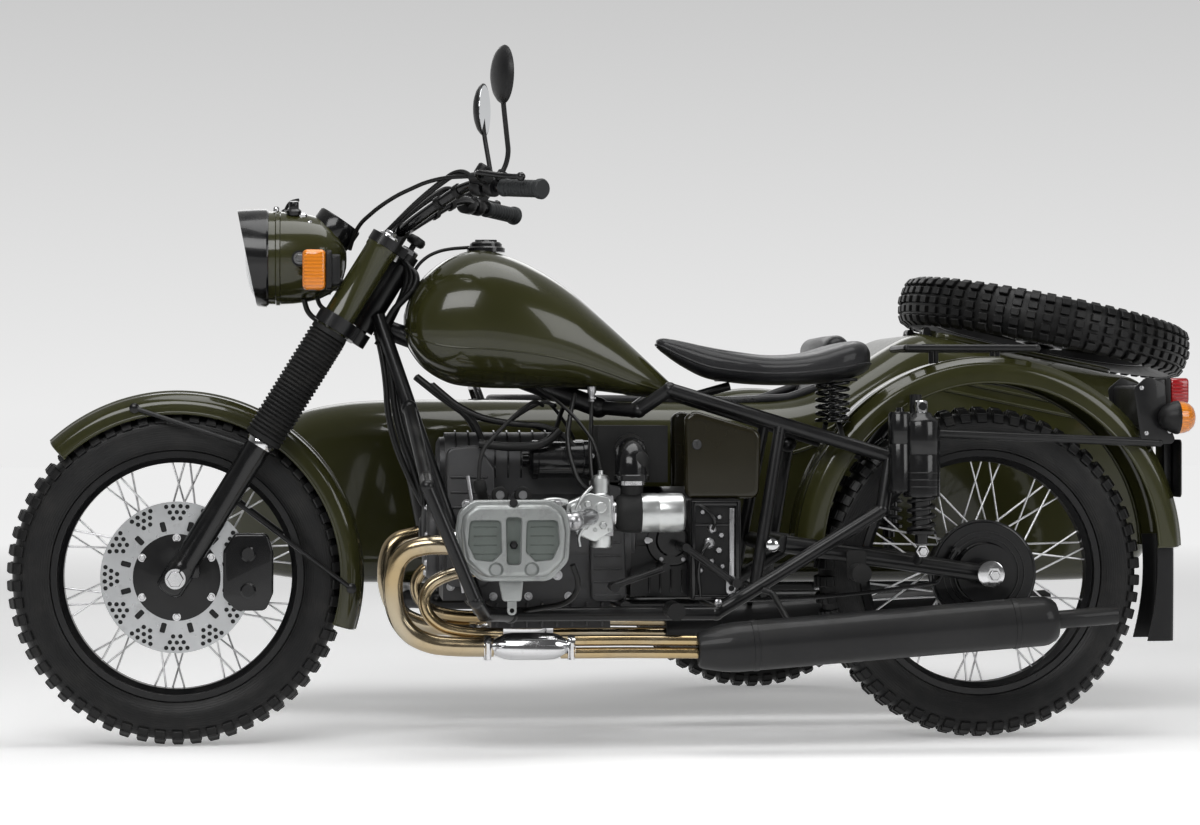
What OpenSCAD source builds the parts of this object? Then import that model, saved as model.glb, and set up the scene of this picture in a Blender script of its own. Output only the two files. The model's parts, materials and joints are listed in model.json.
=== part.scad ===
// Flat-twin motorcycle with a boat-shaped sidecar, in millimetres.
// +X is forward, +Y is to the rider's left and +Z is up. The origin lies under
// the middle of the outfit, on the ground. Inside bike() the x is measured from
// the rear axle, the y from the motorcycle's middle plane and the z from the
// height of the axles.

/* [Overall] */
// Rear axle to front axle
wheelbase = 1625; // [1560:5:1720]
// Motorcycle's middle plane to the sidecar wheel's
track = 1140; // [1100:5:1250]
// How far the sidecar wheel leads the rear axle
wheel_lead = 300; // [220:5:360]

/* [Wheels] */
// Radius over the tread
wheel_r = 338; // [320:1:350]
// Width of the tyre
tyre_w = 108; // [84:1:112]
// Radius of the bead seat, a 19 inch rim
rim_seat_r = 241; // [225:1:245]
// Width of the rim over its flanges
rim_w = 76; // [60:1:80]
// Thickness of a spoke
spoke_d = 4; // [3:0.5:5]
// Spokes on each side of a hub
side_spokes = 20; // [12:2:24]
// Radius of a hub's spoke flanges
flange_r = 62; // [50:1:75]
// Distance between a hub's spoke flanges
flange_gap = 70; // [56:1:80]
// Thickness of a wheel axle
axle_d = 20; // [14:1:24]
// Radius of the front brake disc
disc_r = 150; // [120:1:165]
// Radius of the dark centre that carries the brake disc
disc_hub_r = 88; // [70:1:100]

/* [Fork] */
// Lean of the fork from the vertical
rake = 31.8; // [26:0.2:34]
// Fork tubes ahead of the steering axis
fork_offset = 50; // [40:1:70]
// Distance between the two fork tubes
fork_spread = 216; // [204:1:250]
// Thickness of the bare sliders
slider_d = 52; // [44:1:60]
// Thickness of the rubber gaiters
gaiter_d = 80; // [66:1:84]
// Thickness of the upper covers
cover_d = 66; // [56:1:74]
// Length of the fork from the axle to the upper clamp
fork_len = 775; // [740:5:820]
// Width of the front fender
front_fender_w = 128; // [122:1:132]

/* [Handlebar] */
// Grip end to grip end
bar_w = 800; // [680:10:900]
// Thickness of the bar
bar_d = 22; // [20:0.5:28]
// Thickness of the grips
grip_d = 34; // [30:1:40]

/* [Frame] */
// Thickness of the cradle tubes
frame_tube_d = 28; // [24:1:34]
// Thickness of the backbone
backbone_d = 40; // [32:1:44]
// Distance between the lower cradle tubes
cradle_w = 300; // [280:5:330]
// Distance between the swing arm's two sides
arm_w = 224; // [220:2:240]
// Distance between the two rear shocks
shock_w = 336; // [324:2:360]

/* [Tank and saddle] */
// Greatest width of the fuel tank
tank_w = 300; // [240:5:340]
// Greatest width of the saddle
saddle_w = 290; // [240:5:330]

/* [Engine] */
// Face of one valve cover to face of the other
engine_w = 740; // [700:5:780]
// Height of the crankshaft above the axles
crank_z = 82; // [70:1:90]
// Distance between the two exhaust pipes
pipe_w = 540; // [530:5:600]
// Thickness of the exhaust pipes
pipe_d = 38; // [32:1:42]
// Thickness of the mufflers
muffler_d = 98; // [80:1:106]

/* [Sidecar] */
// Middle plane of the body, right of the motorcycle's
body_y = 720; // [715:5:740]
// Width of the body
body_w = 580; // [480:5:590]
// Thickness of the body's walls
wall = 8; // [4:0.5:12]
// Width of the cockpit's opening
cockpit_w = 420; // [340:5:440]
// Slope of the rear deck
deck_tilt = 11.5; // [8:0.5:13]
// Thickness of the sidecar frame's tubes
side_tube_d = 38; // [32:1:42]
// Width of the sidecar fender
side_fender_w = 150; // [140:1:160]
// Width of the trunk lid
lid_w = 370; // [300:5:380]
// Thickness of the trunk lid
lid_t = 14; // [8:1:18]

/* [Hidden] */
$fn = 32;

// Gap between two pieces that touch
seat_gap = 0.3;
// Clearance of a pin in its bore
pin_gap = 0.4;
// How much a ball at a bend is larger than its tube
bend_swell = 1.08;

olive = [0.20, 0.21, 0.11];
satin_black = [0.06, 0.06, 0.06];
rubber_black = [0.09, 0.09, 0.09];
engine_grey = [0.55, 0.56, 0.56];
dark_grey = [0.25, 0.25, 0.25];
gold_chrome = [0.80, 0.70, 0.50];
steel = [0.75, 0.75, 0.76];
leather = [0.10, 0.10, 0.11];
amber = [0.95, 0.55, 0.10];
red = [0.75, 0.05, 0.08];
glass_white = [0.90, 0.92, 0.92];

// ---- Tyre and spare-wheel sizes that set the outfit's box ----
tread_flat = 24;
rim_lip = 8;
tyre_half = [
    [rim_seat_r + seat_gap, rim_w / 2 - 5],
    [rim_seat_r + rim_lip + 2, rim_w / 2 - 5],
    [rim_seat_r + 34, tyre_w / 2 - 3],
    [rim_seat_r + 58, tyre_w / 2],
    [wheel_r - 18, tyre_w / 2 - 5],
    [wheel_r - 5, tyre_w / 4 + 3],
    [wheel_r, tread_flat / 2]
];
rim_deep = 15;
tyre_wall = 11;
tyre_hollow = [
    [wheel_r - 16, tread_flat / 2],
    [wheel_r - 24, tyre_w / 4],
    [rim_seat_r + 58, tyre_w / 2 - tyre_wall],
    [rim_seat_r + 30, tyre_w / 2 - tyre_wall - 2],
    [rim_seat_r + seat_gap, rim_w / 2 - 5 - tyre_wall]
];

// ---- Deck, trunk lid and spare wheel ----
deck_x = -20;
deck_z = 495;
hinge_h = 16;
hinge_r = 8;
carrier_h = 29;
spare_back = 286;
hub_half = flange_gap / 2 + 5;
spare_h = seat_gap + lid_t + carrier_h + seat_gap + hub_half;
spare_x = deck_x - spare_back * cos(deck_tilt) - spare_h * sin(deck_tilt);
spare_reach = max([for (p = tyre_half) p[0] * cos(deck_tilt) + p[1] * sin(deck_tilt)]);

// ---- Handlebar, with its points in the fork's own frame ----
bar_z = 818;
bar_x = 36;
bar_path = [
    [bar_x, 0, bar_z], [bar_x, 69, bar_z], [6, 132, 888], [-30, 200, 962], [-72, 278, 970],
    [-150, bar_w / 2 - 14, 1006]
];
perch = bar_path[4];
bar_tip = bar_path[5];
bar_dir = (bar_tip - perch) / norm(bar_tip - perch);
grip_end = bar_tip + bar_dir * 4;

// ---- Where the motorcycle stands in the outfit's box ----
front_end = wheelbase + wheel_r;
rear_end = spare_x - spare_reach;
left_end = grip_end[1] + grip_d / 2 * sqrt(1 - bar_dir[1] * bar_dir[1]);
right_end = -track - side_fender_w / 2;
bike_x = -(front_end + rear_end) / 2;
bike_y = -(left_end + right_end) / 2;

module bike() {
    translate([bike_x, bike_y, wheel_r]) children();
}

// ---- Shared shapes ----

module both_sides() {
    children();
    mirror([0, 1, 0]) children();
}

module rod(a, b, r) {
    run = b - a;
    translate(a)
        rotate([0, acos(run[2] / norm(run)), atan2(run[1], run[0])])
            cylinder(r = r, h = norm(run));
}

// A bent tube with a ball at each bend, whose seam is turned away from the tube's own
module tube(points, r, seam = 0) {
    for (i = [1:len(points) - 1]) rod(points[i - 1], points[i], r);
    if (len(points) > 2)
        for (i = [1:len(points) - 2]) translate(points[i]) rotate(seam) sphere(r = r * bend_swell);
}

// A box from its lowest corner to its highest
module block(low, high) {
    translate(low) cube(high - low);
}

// Turns an axis along z into one along +y, at a place of its own
module across(at) {
    translate(at) rotate([-90, 0, 0]) children();
}

// A flat plate with round corners, standing on the xz plane and y thick
module plate_xz(x0, x1, z0, z1, y0, y1, corner) {
    translate([0, y1, 0])
        rotate([90, 0, 0])
            linear_extrude(y1 - y0)
                translate([(x0 + x1) / 2, (z0 + z1) / 2])
                    round_rect(x1 - x0, z1 - z0, corner);
}

// A rectangle with true round corners
module round_rect(w, h, corner) {
    square([w - 2 * corner, h], center = true);
    square([w, h - 2 * corner], center = true);
    for (sx = [-1, 1], sy = [-1, 1])
        translate([sx * (w / 2 - corner), sy * (h / 2 - corner)]) circle(r = corner);
}

function flat_list(rows) = [for (row = rows) for (item = row) item];

// A closed skin over rings of as many points each, ordered along +x
module loft(rings) {
    n = len(rings);
    m = len(rings[0]);
    sides = [
        for (i = [0:n - 2], j = [0:m - 1])
            let (a = i * m + j, b = i * m + (j + 1) % m)
                each [[a, b + m, b], [a, a + m, b + m]]
    ];
    first = [for (j = [0:m - 1]) j];
    last = [for (j = [m - 1:-1:0]) (n - 1) * m + j];
    polyhedron(points = flat_list(rings), faces = concat(sides, [first, last]), convexity = 6);
}

function signed_pow(v, e) = sign(v) * pow(abs(v), e);

// An oval ring whose widest level is a share of its height
function oval_ring(x, y, w, z0, z1, waist, bulge, points = 28) =
    let (zc = z0 + waist * (z1 - z0))
    [for (k = [0:points - 1])
        let (t = (k + 0.5) * 360 / points, c = cos(t), s = sin(t))
        [x, y + w * signed_pow(c, bulge), zc + (s > 0 ? z1 - zc : zc - z0) * signed_pow(s, bulge)]];

// A ring with flat sides and bottom, and round corners
function box_ring(x, y, w, z0, z1, r0, r1, steps = 5) =
    let (corners = [
        [w - r1, z1 - r1, r1, 0], [-w + r1, z1 - r1, r1, 90],
        [-w + r0, z0 + r0, r0, 180], [w - r0, z0 + r0, r0, 270]
    ])
    [for (c = corners, k = [0:steps])
        let (t = c[3] + 90 * k / steps)
        [x, y + c[0] + c[2] * cos(t), c[1] + c[2] * sin(t)]];

// Hands a solid of many flat faces over in one piece
module as_mesh() {
    resize([0, 0, 0]) children();
}

// ---- Wheels ----

module tyre() {
    half = concat(tyre_half, [for (i = [len(tyre_half) - 1:-1:0]) [tyre_half[i][0], -tyre_half[i][1]]]);
    last = len(tyre_hollow) - 1;
    inner = concat([for (i = [last:-1:0]) [tyre_hollow[i][0], -tyre_hollow[i][1]]], tyre_hollow);
    rotate_extrude($fn = 96) polygon(concat(half, inner));
}

module rim() {
    lip = rim_lip;
    deep = rim_deep;
    thick = 4;
    half = rim_w / 2;
    outer = [
        [rim_seat_r + lip, -half], [rim_seat_r + lip, -half + thick], [rim_seat_r, -half + thick + 1],
        [rim_seat_r, -22], [rim_seat_r - deep + thick, -14], [rim_seat_r - deep + thick, 14],
        [rim_seat_r, 22], [rim_seat_r, half - thick - 1], [rim_seat_r + lip, half - thick],
        [rim_seat_r + lip, half]
    ];
    inner = [
        [rim_seat_r - thick, half], [rim_seat_r - thick - 1, 23], [rim_seat_r - deep, 14],
        [rim_seat_r - deep, -14], [rim_seat_r - thick - 1, -23], [rim_seat_r - thick, -half]
    ];
    rotate_extrude($fn = 96) polygon(concat(outer, inner));
}

module hub(drum_r) {
    bore_r = axle_d / 2 + pin_gap;
    barrel_r = 34;
    flange_t = 5;
    rotate_extrude($fn = 64)
        polygon([
            [bore_r, -hub_half], [drum_r, -hub_half], [drum_r, -hub_half + 8],
            [flange_r, -flange_gap / 2], [flange_r, -flange_gap / 2 + flange_t], [barrel_r, -18],
            [barrel_r, 18], [flange_r, flange_gap / 2 - flange_t], [flange_r, flange_gap / 2],
            [drum_r, hub_half - 8], [drum_r, hub_half], [bore_r, hub_half]
        ]);
}

// Spokes leave their flange on alternate faces and cross on the way out
module spokes() {
    cross = 48;
    hub_r = flange_r - 4;
    end_r = rim_seat_r - rim_deep - 0.6;
    for (side = [-1, 1], i = [0:side_spokes - 1])
        let (
            turn = 360 * i / side_spokes + (side > 0 ? 0 : 180 / side_spokes),
            lay = i % 2 == 0 ? 1 : -1,
            foot = side * (flange_gap / 2 - 2.5) + 3.2 * lay,
            head = side * 7 + 3.2 * lay
        )
        rod(
            [hub_r * cos(turn), hub_r * sin(turn), foot],
            [end_r * cos(turn + lay * cross), end_r * sin(turn + lay * cross), head],
            spoke_d / 2
        );
}

module wheel_at(x, y) {
    bike() across([x, y, 0]) children();
}

module front_tyre() {
    color(rubber_black) wheel_at(wheelbase, 0) tyre();
}

module front_rim() {
    color(satin_black) wheel_at(wheelbase, 0) rim();
}

disc_t = 5;
disc_y = 72;

module front_hub() {
    color(dark_grey) wheel_at(wheelbase, 0) {
        hub(flange_r - 16);
        spokes();
        translate([0, 0, hub_half - 1])
            difference() {
                cylinder(r = flange_r - 16, h = disc_y - disc_t / 2 - seat_gap - hub_half + 1);
                translate([0, 0, -1]) cylinder(r = axle_d / 2 + pin_gap, h = 60);
            }
    }
}

module brake_disc() {
    color(steel) wheel_at(wheelbase, 0)
        translate([0, 0, disc_y - disc_t / 2])
            difference() {
                union() {
                    cylinder(r = disc_r, h = disc_t, $fn = 96);
                    cylinder(r = disc_hub_r, h = disc_t, $fn = 96);
                }
                translate([0, 0, -1]) cylinder(r = axle_d / 2 + pin_gap, h = disc_t + 2);
            }
}

module rear_tyre() {
    color(rubber_black) wheel_at(0, 0) tyre();
}

module rear_rim() {
    color(satin_black) wheel_at(0, 0) rim();
}

module rear_hub() {
    color(dark_grey) wheel_at(0, 0) {
        hub(flange_r - 8);
        spokes();
    }
}

module sidecar_tyre() {
    color(rubber_black) wheel_at(wheel_lead, -track) tyre();
}

module sidecar_rim() {
    color(satin_black) wheel_at(wheel_lead, -track) rim();
}

module sidecar_hub() {
    color(dark_grey) wheel_at(wheel_lead, -track) {
        hub(flange_r - 8);
        spokes();
    }
}

// ---- Fork and steering ----

fork_x = wheelbase - fork_offset * cos(rake);
fork_z = -fork_offset * sin(rake);
gaiter_low = 319;
gaiter_top = 575;
clamp_t = 28;
head_low = 612;
head_top = 762;
top_clamp = fork_len - 5;
stem_d = 26;

// Local z runs up the steering axis and local x points forward
module fork() {
    bike() translate([fork_x, 0, fork_z]) rotate([0, -rake, 0]) children();
}

function fork_point(p) = [
    fork_x + p[0] * cos(rake) - p[2] * sin(rake),
    p[1],
    fork_z + p[0] * sin(rake) + p[2] * cos(rake)
];

module leg(z0, z1, d) {
    both_sides() translate([fork_offset, fork_spread / 2, z0]) cylinder(d = d, h = z1 - z0);
}

// A yoke between the legs, with an eye round each leg
module yoke(z, t, eye_d, hole_d) {
    translate([0, 0, z])
        difference() {
            union() {
                both_sides() translate([fork_offset, fork_spread / 2, 0]) cylinder(d = eye_d, h = t);
                translate([2, -fork_spread / 2, 0]) cube([fork_offset + 8, fork_spread, t]);
                cylinder(r = 24, h = t);
            }
            for (s = [-1, 1])
                translate([fork_offset, s * fork_spread / 2, -1]) cylinder(d = hole_d, h = t + 2);
        }
}

low_clamp = head_low - clamp_t - 5;
top_clamp_t = 20;

module fork_clamps() {
    color(satin_black) fork() {
        yoke(low_clamp, clamp_t, cover_d + 14, cover_d + 2 * seat_gap);
        yoke(top_clamp, top_clamp_t, cover_d + 2, cover_d - 24);
        translate([0, 0, low_clamp + 1]) cylinder(d = stem_d, h = top_clamp - low_clamp);
        bar_risers();
    }
}

riser_y = 45;

module bar_risers() {
    riser_low = top_clamp + top_clamp_t - 1;
    both_sides()
        translate([bar_x, riser_y, riser_low])
            difference() {
                cylinder(d = 34, h = bar_z - riser_low + bar_d / 2 + 6);
                translate([0, 30, bar_z - riser_low])
                    rotate([90, 0, 0]) cylinder(d = bar_d + 2 * seat_gap, h = 60);
            }
}

module fork_covers() {
    color(olive) fork() leg(gaiter_top + seat_gap, top_clamp - seat_gap, cover_d);
}

module fork_gaiters() {
    color(rubber_black) fork() leg(gaiter_low + seat_gap, gaiter_top, gaiter_d);
}

module fork_sliders() {
    foot_d = slider_d + 6;
    color(satin_black) fork() {
        difference() {
            union() {
                leg(-20, gaiter_low, slider_d);
                leg(-34, 34, foot_d);
            }
            across([fork_offset, -fork_spread, 0]) cylinder(d = axle_d - 0.4, h = 2 * fork_spread);
        }
        across([fork_offset, -fork_spread / 2 - foot_d / 2 - 8, 0])
            cylinder(d = axle_d, h = fork_spread + foot_d + 16);
    }
}

fender_gap = 28;
skirt = 46;
sheet = 3;

// An arch over a wheel: angles run from straight ahead, over the top, to the rear
module arch(outer_r, w, depth, from, to) {
    half = w / 2;
    crown = 7;
    outside = [
        [outer_r - depth, -half], [outer_r - 26, -half], [outer_r - 9, -half + 14],
        [outer_r - 1.5, -half * 0.5], [outer_r, 0], [outer_r - 1.5, half * 0.5],
        [outer_r - 9, half - 14], [outer_r - 26, half], [outer_r - depth, half]
    ];
    inside = [
        [outer_r - depth, half - sheet], [outer_r - 26, half - sheet], [outer_r - 12, half - 16],
        [outer_r - 1.5 - sheet, half * 0.5], [outer_r - sheet, 0],
        [outer_r - 1.5 - sheet, -half * 0.5], [outer_r - 12, -half + 16],
        [outer_r - 26, -half + sheet], [outer_r - depth, -half + sheet]
    ];
    rotate([90, 0, 0])
        rotate_extrude(angle = to - from, start = from, $fn = 96)
            polygon(concat(outside, inside));
}

front_arch_from = 47;
front_arch_to = 197;

function around(r, a) = [r * cos(a), 0, r * sin(a)];

module front_fender() {
    outer_r = wheel_r + fender_gap + sheet;
    half = front_fender_w / 2;
    stay_d = 9;
    grip_y = fork_spread / 2;
    slider_front = fork_point([fork_offset, grip_y, gaiter_low - 20]);
    slider_side = slider_front - [wheelbase, 0, 0] + [0, -slider_d / 2 - seat_gap - stay_d / 2, 0];
    low_front = fork_point([fork_offset, grip_y - slider_d / 2 - seat_gap - stay_d / 2, 190]);
    low_side = low_front - [wheelbase, 0, 0];
    color(olive) bike() translate([wheelbase, 0, 0]) {
        arch(outer_r, front_fender_w, skirt, front_arch_from, front_arch_to);
        both_sides() {
            tube([slider_side, around(outer_r - 24, 74) + [0, half + 2, 0]], stay_d / 2);
            tube([low_side, around(outer_r - 24, 184) + [0, half + 2, 0]], stay_d / 2);
        }
    }
}

// ---- Headlamp and handlebar ----

lamp_x = 1409;
lamp_z = 636;
lamp_r = 93;
lamp_shift = wheelbase - 1625;

module headlamp() {
    rim_x = 44;
    peak = 14;
    color(olive) bike() translate([lamp_x + lamp_shift, 0, lamp_z])
        rotate([0, 90, 0]) {
            rotate_extrude($fn = 64)
                polygon([
                    [0, -120], [34, -116], [60, -100], [79, -70], [89, -35], [lamp_r, 0], [lamp_r, rim_x],
                    [0, rim_x]
                ]);
        }
    color(satin_black) bike() translate([lamp_x + lamp_shift, 0, lamp_z])
        difference() {
            rotate([0, 90, 0]) translate([0, 0, rim_x - 0.5]) cylinder(r = lamp_r + 4, h = 54, $fn = 64);
            rotate([0, 90, 0]) translate([0, 0, rim_x + 14]) cylinder(r = lamp_r - 6, h = 60, $fn = 64);
            translate([rim_x + 32, -120, 0]) rotate([0, peak, 0]) translate([0, 0, -150]) cube([80, 240, 300]);
        }
    color(glass_white) bike() translate([lamp_x + lamp_shift + rim_x + 12, 0, lamp_z])
        rotate([0, 90, 0])
            rotate_extrude($fn = 64)
                polygon([[0, 0], [lamp_r - 5.5, 0], [lamp_r - 5.5, 4], [60, 12], [30, 17], [0, 19]]);
    // Speedometer pod on the back of the bucket
    color(satin_black) bike() translate([lamp_x + lamp_shift - 66, 0, lamp_z + 62])
        rotate([0, -28, 0]) cylinder(r = 44, h = 36);
    // Ears to the fork covers
    color(satin_black) bike() {
        both_sides()
            rod(
                [lamp_x + lamp_shift - 30, lamp_r - 8, lamp_z - 6],
                fork_point([fork_offset + 4, fork_spread / 2 - cover_d / 2 - seat_gap - 10, 668]), 10
            );
    }
}

grip_len = 110;
module handlebar() {
    lever_d = 9;
    color(satin_black) fork() {
        both_sides() {
            tube(bar_path, bar_d / 2);
            // Perch and lever ahead of the grip
            translate(perch) rotate([90, 0, 20]) cylinder(r = 20, h = 30, center = true);
            tube([perch + [8, 0, 0], perch + [50, 26, 2], bar_tip + [46, -20, 4]], lever_d / 2);
        }
    }
}

module grips() {
    from = bar_tip - bar_dir * grip_len;
    color(rubber_black) fork() both_sides()
        difference() {
            rod(from, grip_end, grip_d / 2);
            rod(from - bar_dir, bar_tip + bar_dir * seat_gap, bar_d / 2 + seat_gap);
        }
}

mirror_at = [30, 335, 1156];

module mirrors() {
    foot = perch + [0, 0, 20 + seat_gap];
    color(satin_black) fork() both_sides() {
        tube([foot, foot + [5, 2, 44], mirror_at + [6, -14, -60], mirror_at], 5);
        translate(mirror_at)
            rotate([0, rake, 0])
                rotate([0, 90, -18])
                    translate([0, 0, -9])
                        linear_extrude(20) scale([1.1, 1]) circle(r = 52, $fn = 48);
    }
}

module front_indicators() {
    height = 664;
    from = [fork_offset + cover_d / 2 + seat_gap, fork_spread / 2, height];
    at = fork_point([fork_offset + 92, fork_spread / 2 + 16, height]);
    color(amber) {
        bike() both_sides() {
            plate_xz(at[0] - 12, at[0] + 36, at[2] - 39, at[2] + 39, at[1] - 22, at[1] + 24, 10);
            plate_xz(at[0] - 30, at[0] - 12, at[2] - 33, at[2] + 33, at[1] - 18, at[1] + 20, 8);
        }
        fork() both_sides() rod(from, from + [30, 0, 0], 8);
    }
}

module brake_caliper() {
    slot = disc_t + 10;
    at = fork_point([-84, 0, 62]);
    lug = fork_point([fork_offset - slider_d / 2 - 10 - seat_gap, fork_spread / 2, 120]);
    color(dark_grey) bike() {
        difference() {
            translate([at[0], 0, at[2]]) rotate([0, 12, 0])
                translate([-42, disc_y - 18, -48]) cube([70, 38, 96]);
            translate([wheelbase, disc_y - slot / 2, 0]) rotate([-90, 0, 0])
                cylinder(r = disc_r + 6, h = slot, $fn = 96);
        }
        rod([at[0] - 4, disc_y + 17, at[2] + 30], lug, 8);
        translate(lug) sphere(r = 10);
    }
}

// ---- Motorcycle frame ----

cradle_y = cradle_w / 2;
cradle_z = -72;
rail_y = arm_w / 2;
tube_r = frame_tube_d / 2;
cross_r = 12;
cross_z = -60;
down_low = [1030, cradle_y, cross_z];
down_top = fork_point([-14, 30, head_low + 40]);
back_low = [780, 0, 336];
back_top = fork_point([-22, 0, head_low + 22]);
rail_start = [645, 82, 372];
rail_end = [206, rail_y + 23, 237];
loop_low = [226, cradle_y, 132];
shock_x = 150;
shock_top = 338;
post_top = [shock_x, rail_y, 362];
pivot = [448, 0, 62];
cross_x = [548, 740];
tank_puck_x = [920, 1130];

function on_loop(x) = loop_low + ([560, cradle_y, cradle_z] - loop_low) * (x - loop_low[0]) / (560 - loop_low[0]);
function on_rail(x) = rail_start + (rail_end - rail_start) * (rail_start[0] - x) / (rail_start[0] - rail_end[0]);
function on_down(z) = down_top + (down_low - down_top) * (down_top[2] - z) / (down_top[2] - down_low[2]);

function on_backbone(x) = back_low + (back_top - back_low) * (x - back_low[0]) / (back_top[0] - back_low[0]);
function unit(v) = v / norm(v);

// A point beside a bar through p along dir, at a distance from its axis, on the side of a target
function beside(p, dir, target, away) =
    let (u = unit(dir), t = target - p)
    p + unit(t - (t * u) * u) * away;

shock_y = shock_w / 2;
shock_foot = 62;
tunnel_w = backbone_d + 12;

fender_x = -15;
fender_z = 40;
rear_fender_r = wheel_r + 62;
rear_fender_w = 160;
stay_z = 265;
stay_d = 18;
function fender_back(z) = fender_x - sqrt(pow(rear_fender_r, 2) - pow(z - fender_z, 2));
stay_back = fender_x - sqrt(pow(rear_fender_r + stay_d / 2 + seat_gap, 2) - pow(stay_z - fender_z, 2));

module frame() {
    color(satin_black) {
        fork() difference() {
            translate([0, 0, head_low]) cylinder(r = 24, h = head_top - head_low);
            translate([0, 0, head_low - 1]) cylinder(d = stem_d + 2 * pin_gap, h = head_top - head_low + 2);
        }
        bike() {
            rod(back_top, back_low, backbone_d / 2);
            translate(back_low) sphere(r = backbone_d / 2 + 1);
            for (x = tank_puck_x)
                let (at = on_backbone(x), reach = tunnel_w / 2 - seat_gap)
                rod(at - [0, reach, 0], at + [0, reach, 0], 11);
            both_sides() {
                tube([back_low, [704, 56, 330], rail_start, rail_end, loop_low,
                    [560, cradle_y, cradle_z], [1006, cradle_y, cradle_z], down_low, down_top], tube_r);
                tube([rail_end, post_top - [0, 0, 40], post_top], cross_r);
                rod([shock_x, rail_y, shock_top], [shock_x, shock_y + 16, shock_top], 8);
                rod(post_top - [0, 0, 5], [shock_x, rear_fender_w / 2 + seat_gap, post_top[2] - 5], 6);
                rod(on_rail(424), [483, cradle_y - 4, cradle_z + 46], cross_r);
                rod([467, cradle_y - 8, pivot[2]], [pivot[0], cradle_y - 30, pivot[2]], 10);
            }
            tube([[shock_x, -rail_y, 285], [stay_back, -92, stay_z], [stay_back, 92, stay_z],
                [shock_x, rail_y, 285]], stay_d / 2);
            rod([down_low[0], -cradle_y, cross_z], [down_low[0], cradle_y, cross_z], cross_r);
            for (x = cross_x) rod([x, -cradle_y, cross_z], [x, cradle_y, cross_z], cross_r);
            rod([pivot[0], -cradle_y + 24, pivot[2]], [pivot[0], cradle_y - 24, pivot[2]], 16);
        }
    }
}

module swing_arm() {
    arm_y = rail_y;
    front = [pivot[0] - 32 - seat_gap, arm_y, pivot[2]];
    color(satin_black) bike() {
        both_sides() {
            rod(front, [0, arm_y, 0], 18);
            across([0, arm_y - 20, 0]) cylinder(r = 26, h = 40);
            rod([shock_x, arm_y, 22], [shock_x, shock_y, shock_foot - 12 - seat_gap], 10);
            translate([shock_x, shock_y, shock_foot - 12 - seat_gap]) sphere(r = 12);
        }
        rod(front - [0, 2 * arm_y, 0], front, 16);
        across([0, -arm_y - 34, 0]) cylinder(d = axle_d, h = 2 * arm_y + 70);
    }
}

module rear_shocks() {
    shroud_r = 38;
    color(satin_black) bike() both_sides()
        translate([shock_x, shock_y, 0]) {
            translate([0, 0, 160]) cylinder(r = shroud_r, h = shock_top - 160 - 8 - seat_gap);
            translate([0, 0, 84]) cylinder(r = 30, h = 78);
            translate([0, 0, shock_foot]) cylinder(r = 14, h = 24);
        }
}

module rear_brake() {
    color(satin_black) wheel_at(0, 0)
        translate([0, 0, hub_half + 6])
            difference() {
                union() {
                    cylinder(r = 108, h = 20, $fn = 64);
                    cylinder(r = 60, h = rail_y - 20 - hub_half - 6 - seat_gap);
                }
                translate([0, 0, -1]) cylinder(d = axle_d + 2 * seat_gap, h = 90);
            }
}

module final_drive() {
    color(dark_grey) bike() {
        across([0, -rail_y + 20 + seat_gap, 0])
            difference() {
                cylinder(r = 84, h = rail_y - 20 - hub_half - 6 - seat_gap, $fn = 64);
                translate([0, 0, -1]) cylinder(d = axle_d + 2 * seat_gap, h = 90);
            }
    }
}

// ---- Engine ----

left_x = 977;
right_x = 945;
case_r = 104;
face_y = engine_w / 2;
cover_t = 46;
head_t = 52;
barrel_from = case_r - 2;
head_from = face_y - cover_t - head_t;

module engine_case() {
    color(engine_grey) bike() {
        difference() {
            union() {
                rod([724, 0, crank_z], [1108, 0, crank_z], case_r);
                rod([1100, 0, crank_z], [1128, 0, crank_z], 84);
                block([734, -96, cross_z + cross_r + seat_gap], [1100, 96, crank_z]);
                rod([850, 0, crank_z + 138], [1094, 0, crank_z + 138], 66);
                block([806, -66, crank_z + 60], [1094, 66, crank_z + 138]);
            }
            for (side = [-1, 1])
                across([side > 0 ? left_x : right_x, side > 0 ? barrel_from : -case_r - 30, crank_z])
                    cylinder(r = 80, h = 32);
        }
        block([766, -98, cross_z - 44], [1004, 98, cross_z + cross_r + seat_gap]);
    }
}

gearbox_r = 86;

module gearbox() {
    color(dark_grey) bike() {
        rod([556, 0, crank_z + 8], [724 - seat_gap, 0, crank_z + 8], gearbox_r);
        block([568, -80, cross_z + 18], [724 - seat_gap, 80, crank_z]);
    }
}

module barrel(x, side) {
    fins = 8;
    pitch = (head_from - barrel_from) / fins;
    translate([x, 0, crank_z]) rotate([-90 * side, 0, 0]) {
        translate([0, 0, barrel_from]) cylinder(r = 52, h = head_from - barrel_from);
        for (i = [0:fins - 1])
            translate([0, 0, barrel_from + pitch * (i + 0.5)]) cylinder(r = 76, h = pitch * 0.4);
    }
    head_low_y = side > 0 ? head_from : -head_from - head_t;
    plate_xz(x - head_w / 2, x + head_w / 2, crank_z - 70, crank_z + 70, head_low_y, head_low_y + head_t, 34);
}

module cylinders() {
    color(engine_grey) bike() {
        barrel(left_x, 1);
        barrel(right_x, -1);
    }
}

module valve_cover(x, side) {
    low = side > 0 ? face_y - cover_t + seat_gap : -face_y;
    deep = cover_t - seat_gap;
    inner = side > 0 ? low : low + 14;
    plate_xz(x - 110, x + 110, crank_z - 78, crank_z + 78, inner, low + (side > 0 ? deep - 14 : deep), 46);
    plate_xz(x - 98, x + 98, crank_z - 66, crank_z + 66, low, low + deep, 40);
}

module valve_covers() {
    color(engine_grey) bike() {
        valve_cover(left_x, 1);
        valve_cover(right_x, -1);
    }
}

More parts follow.
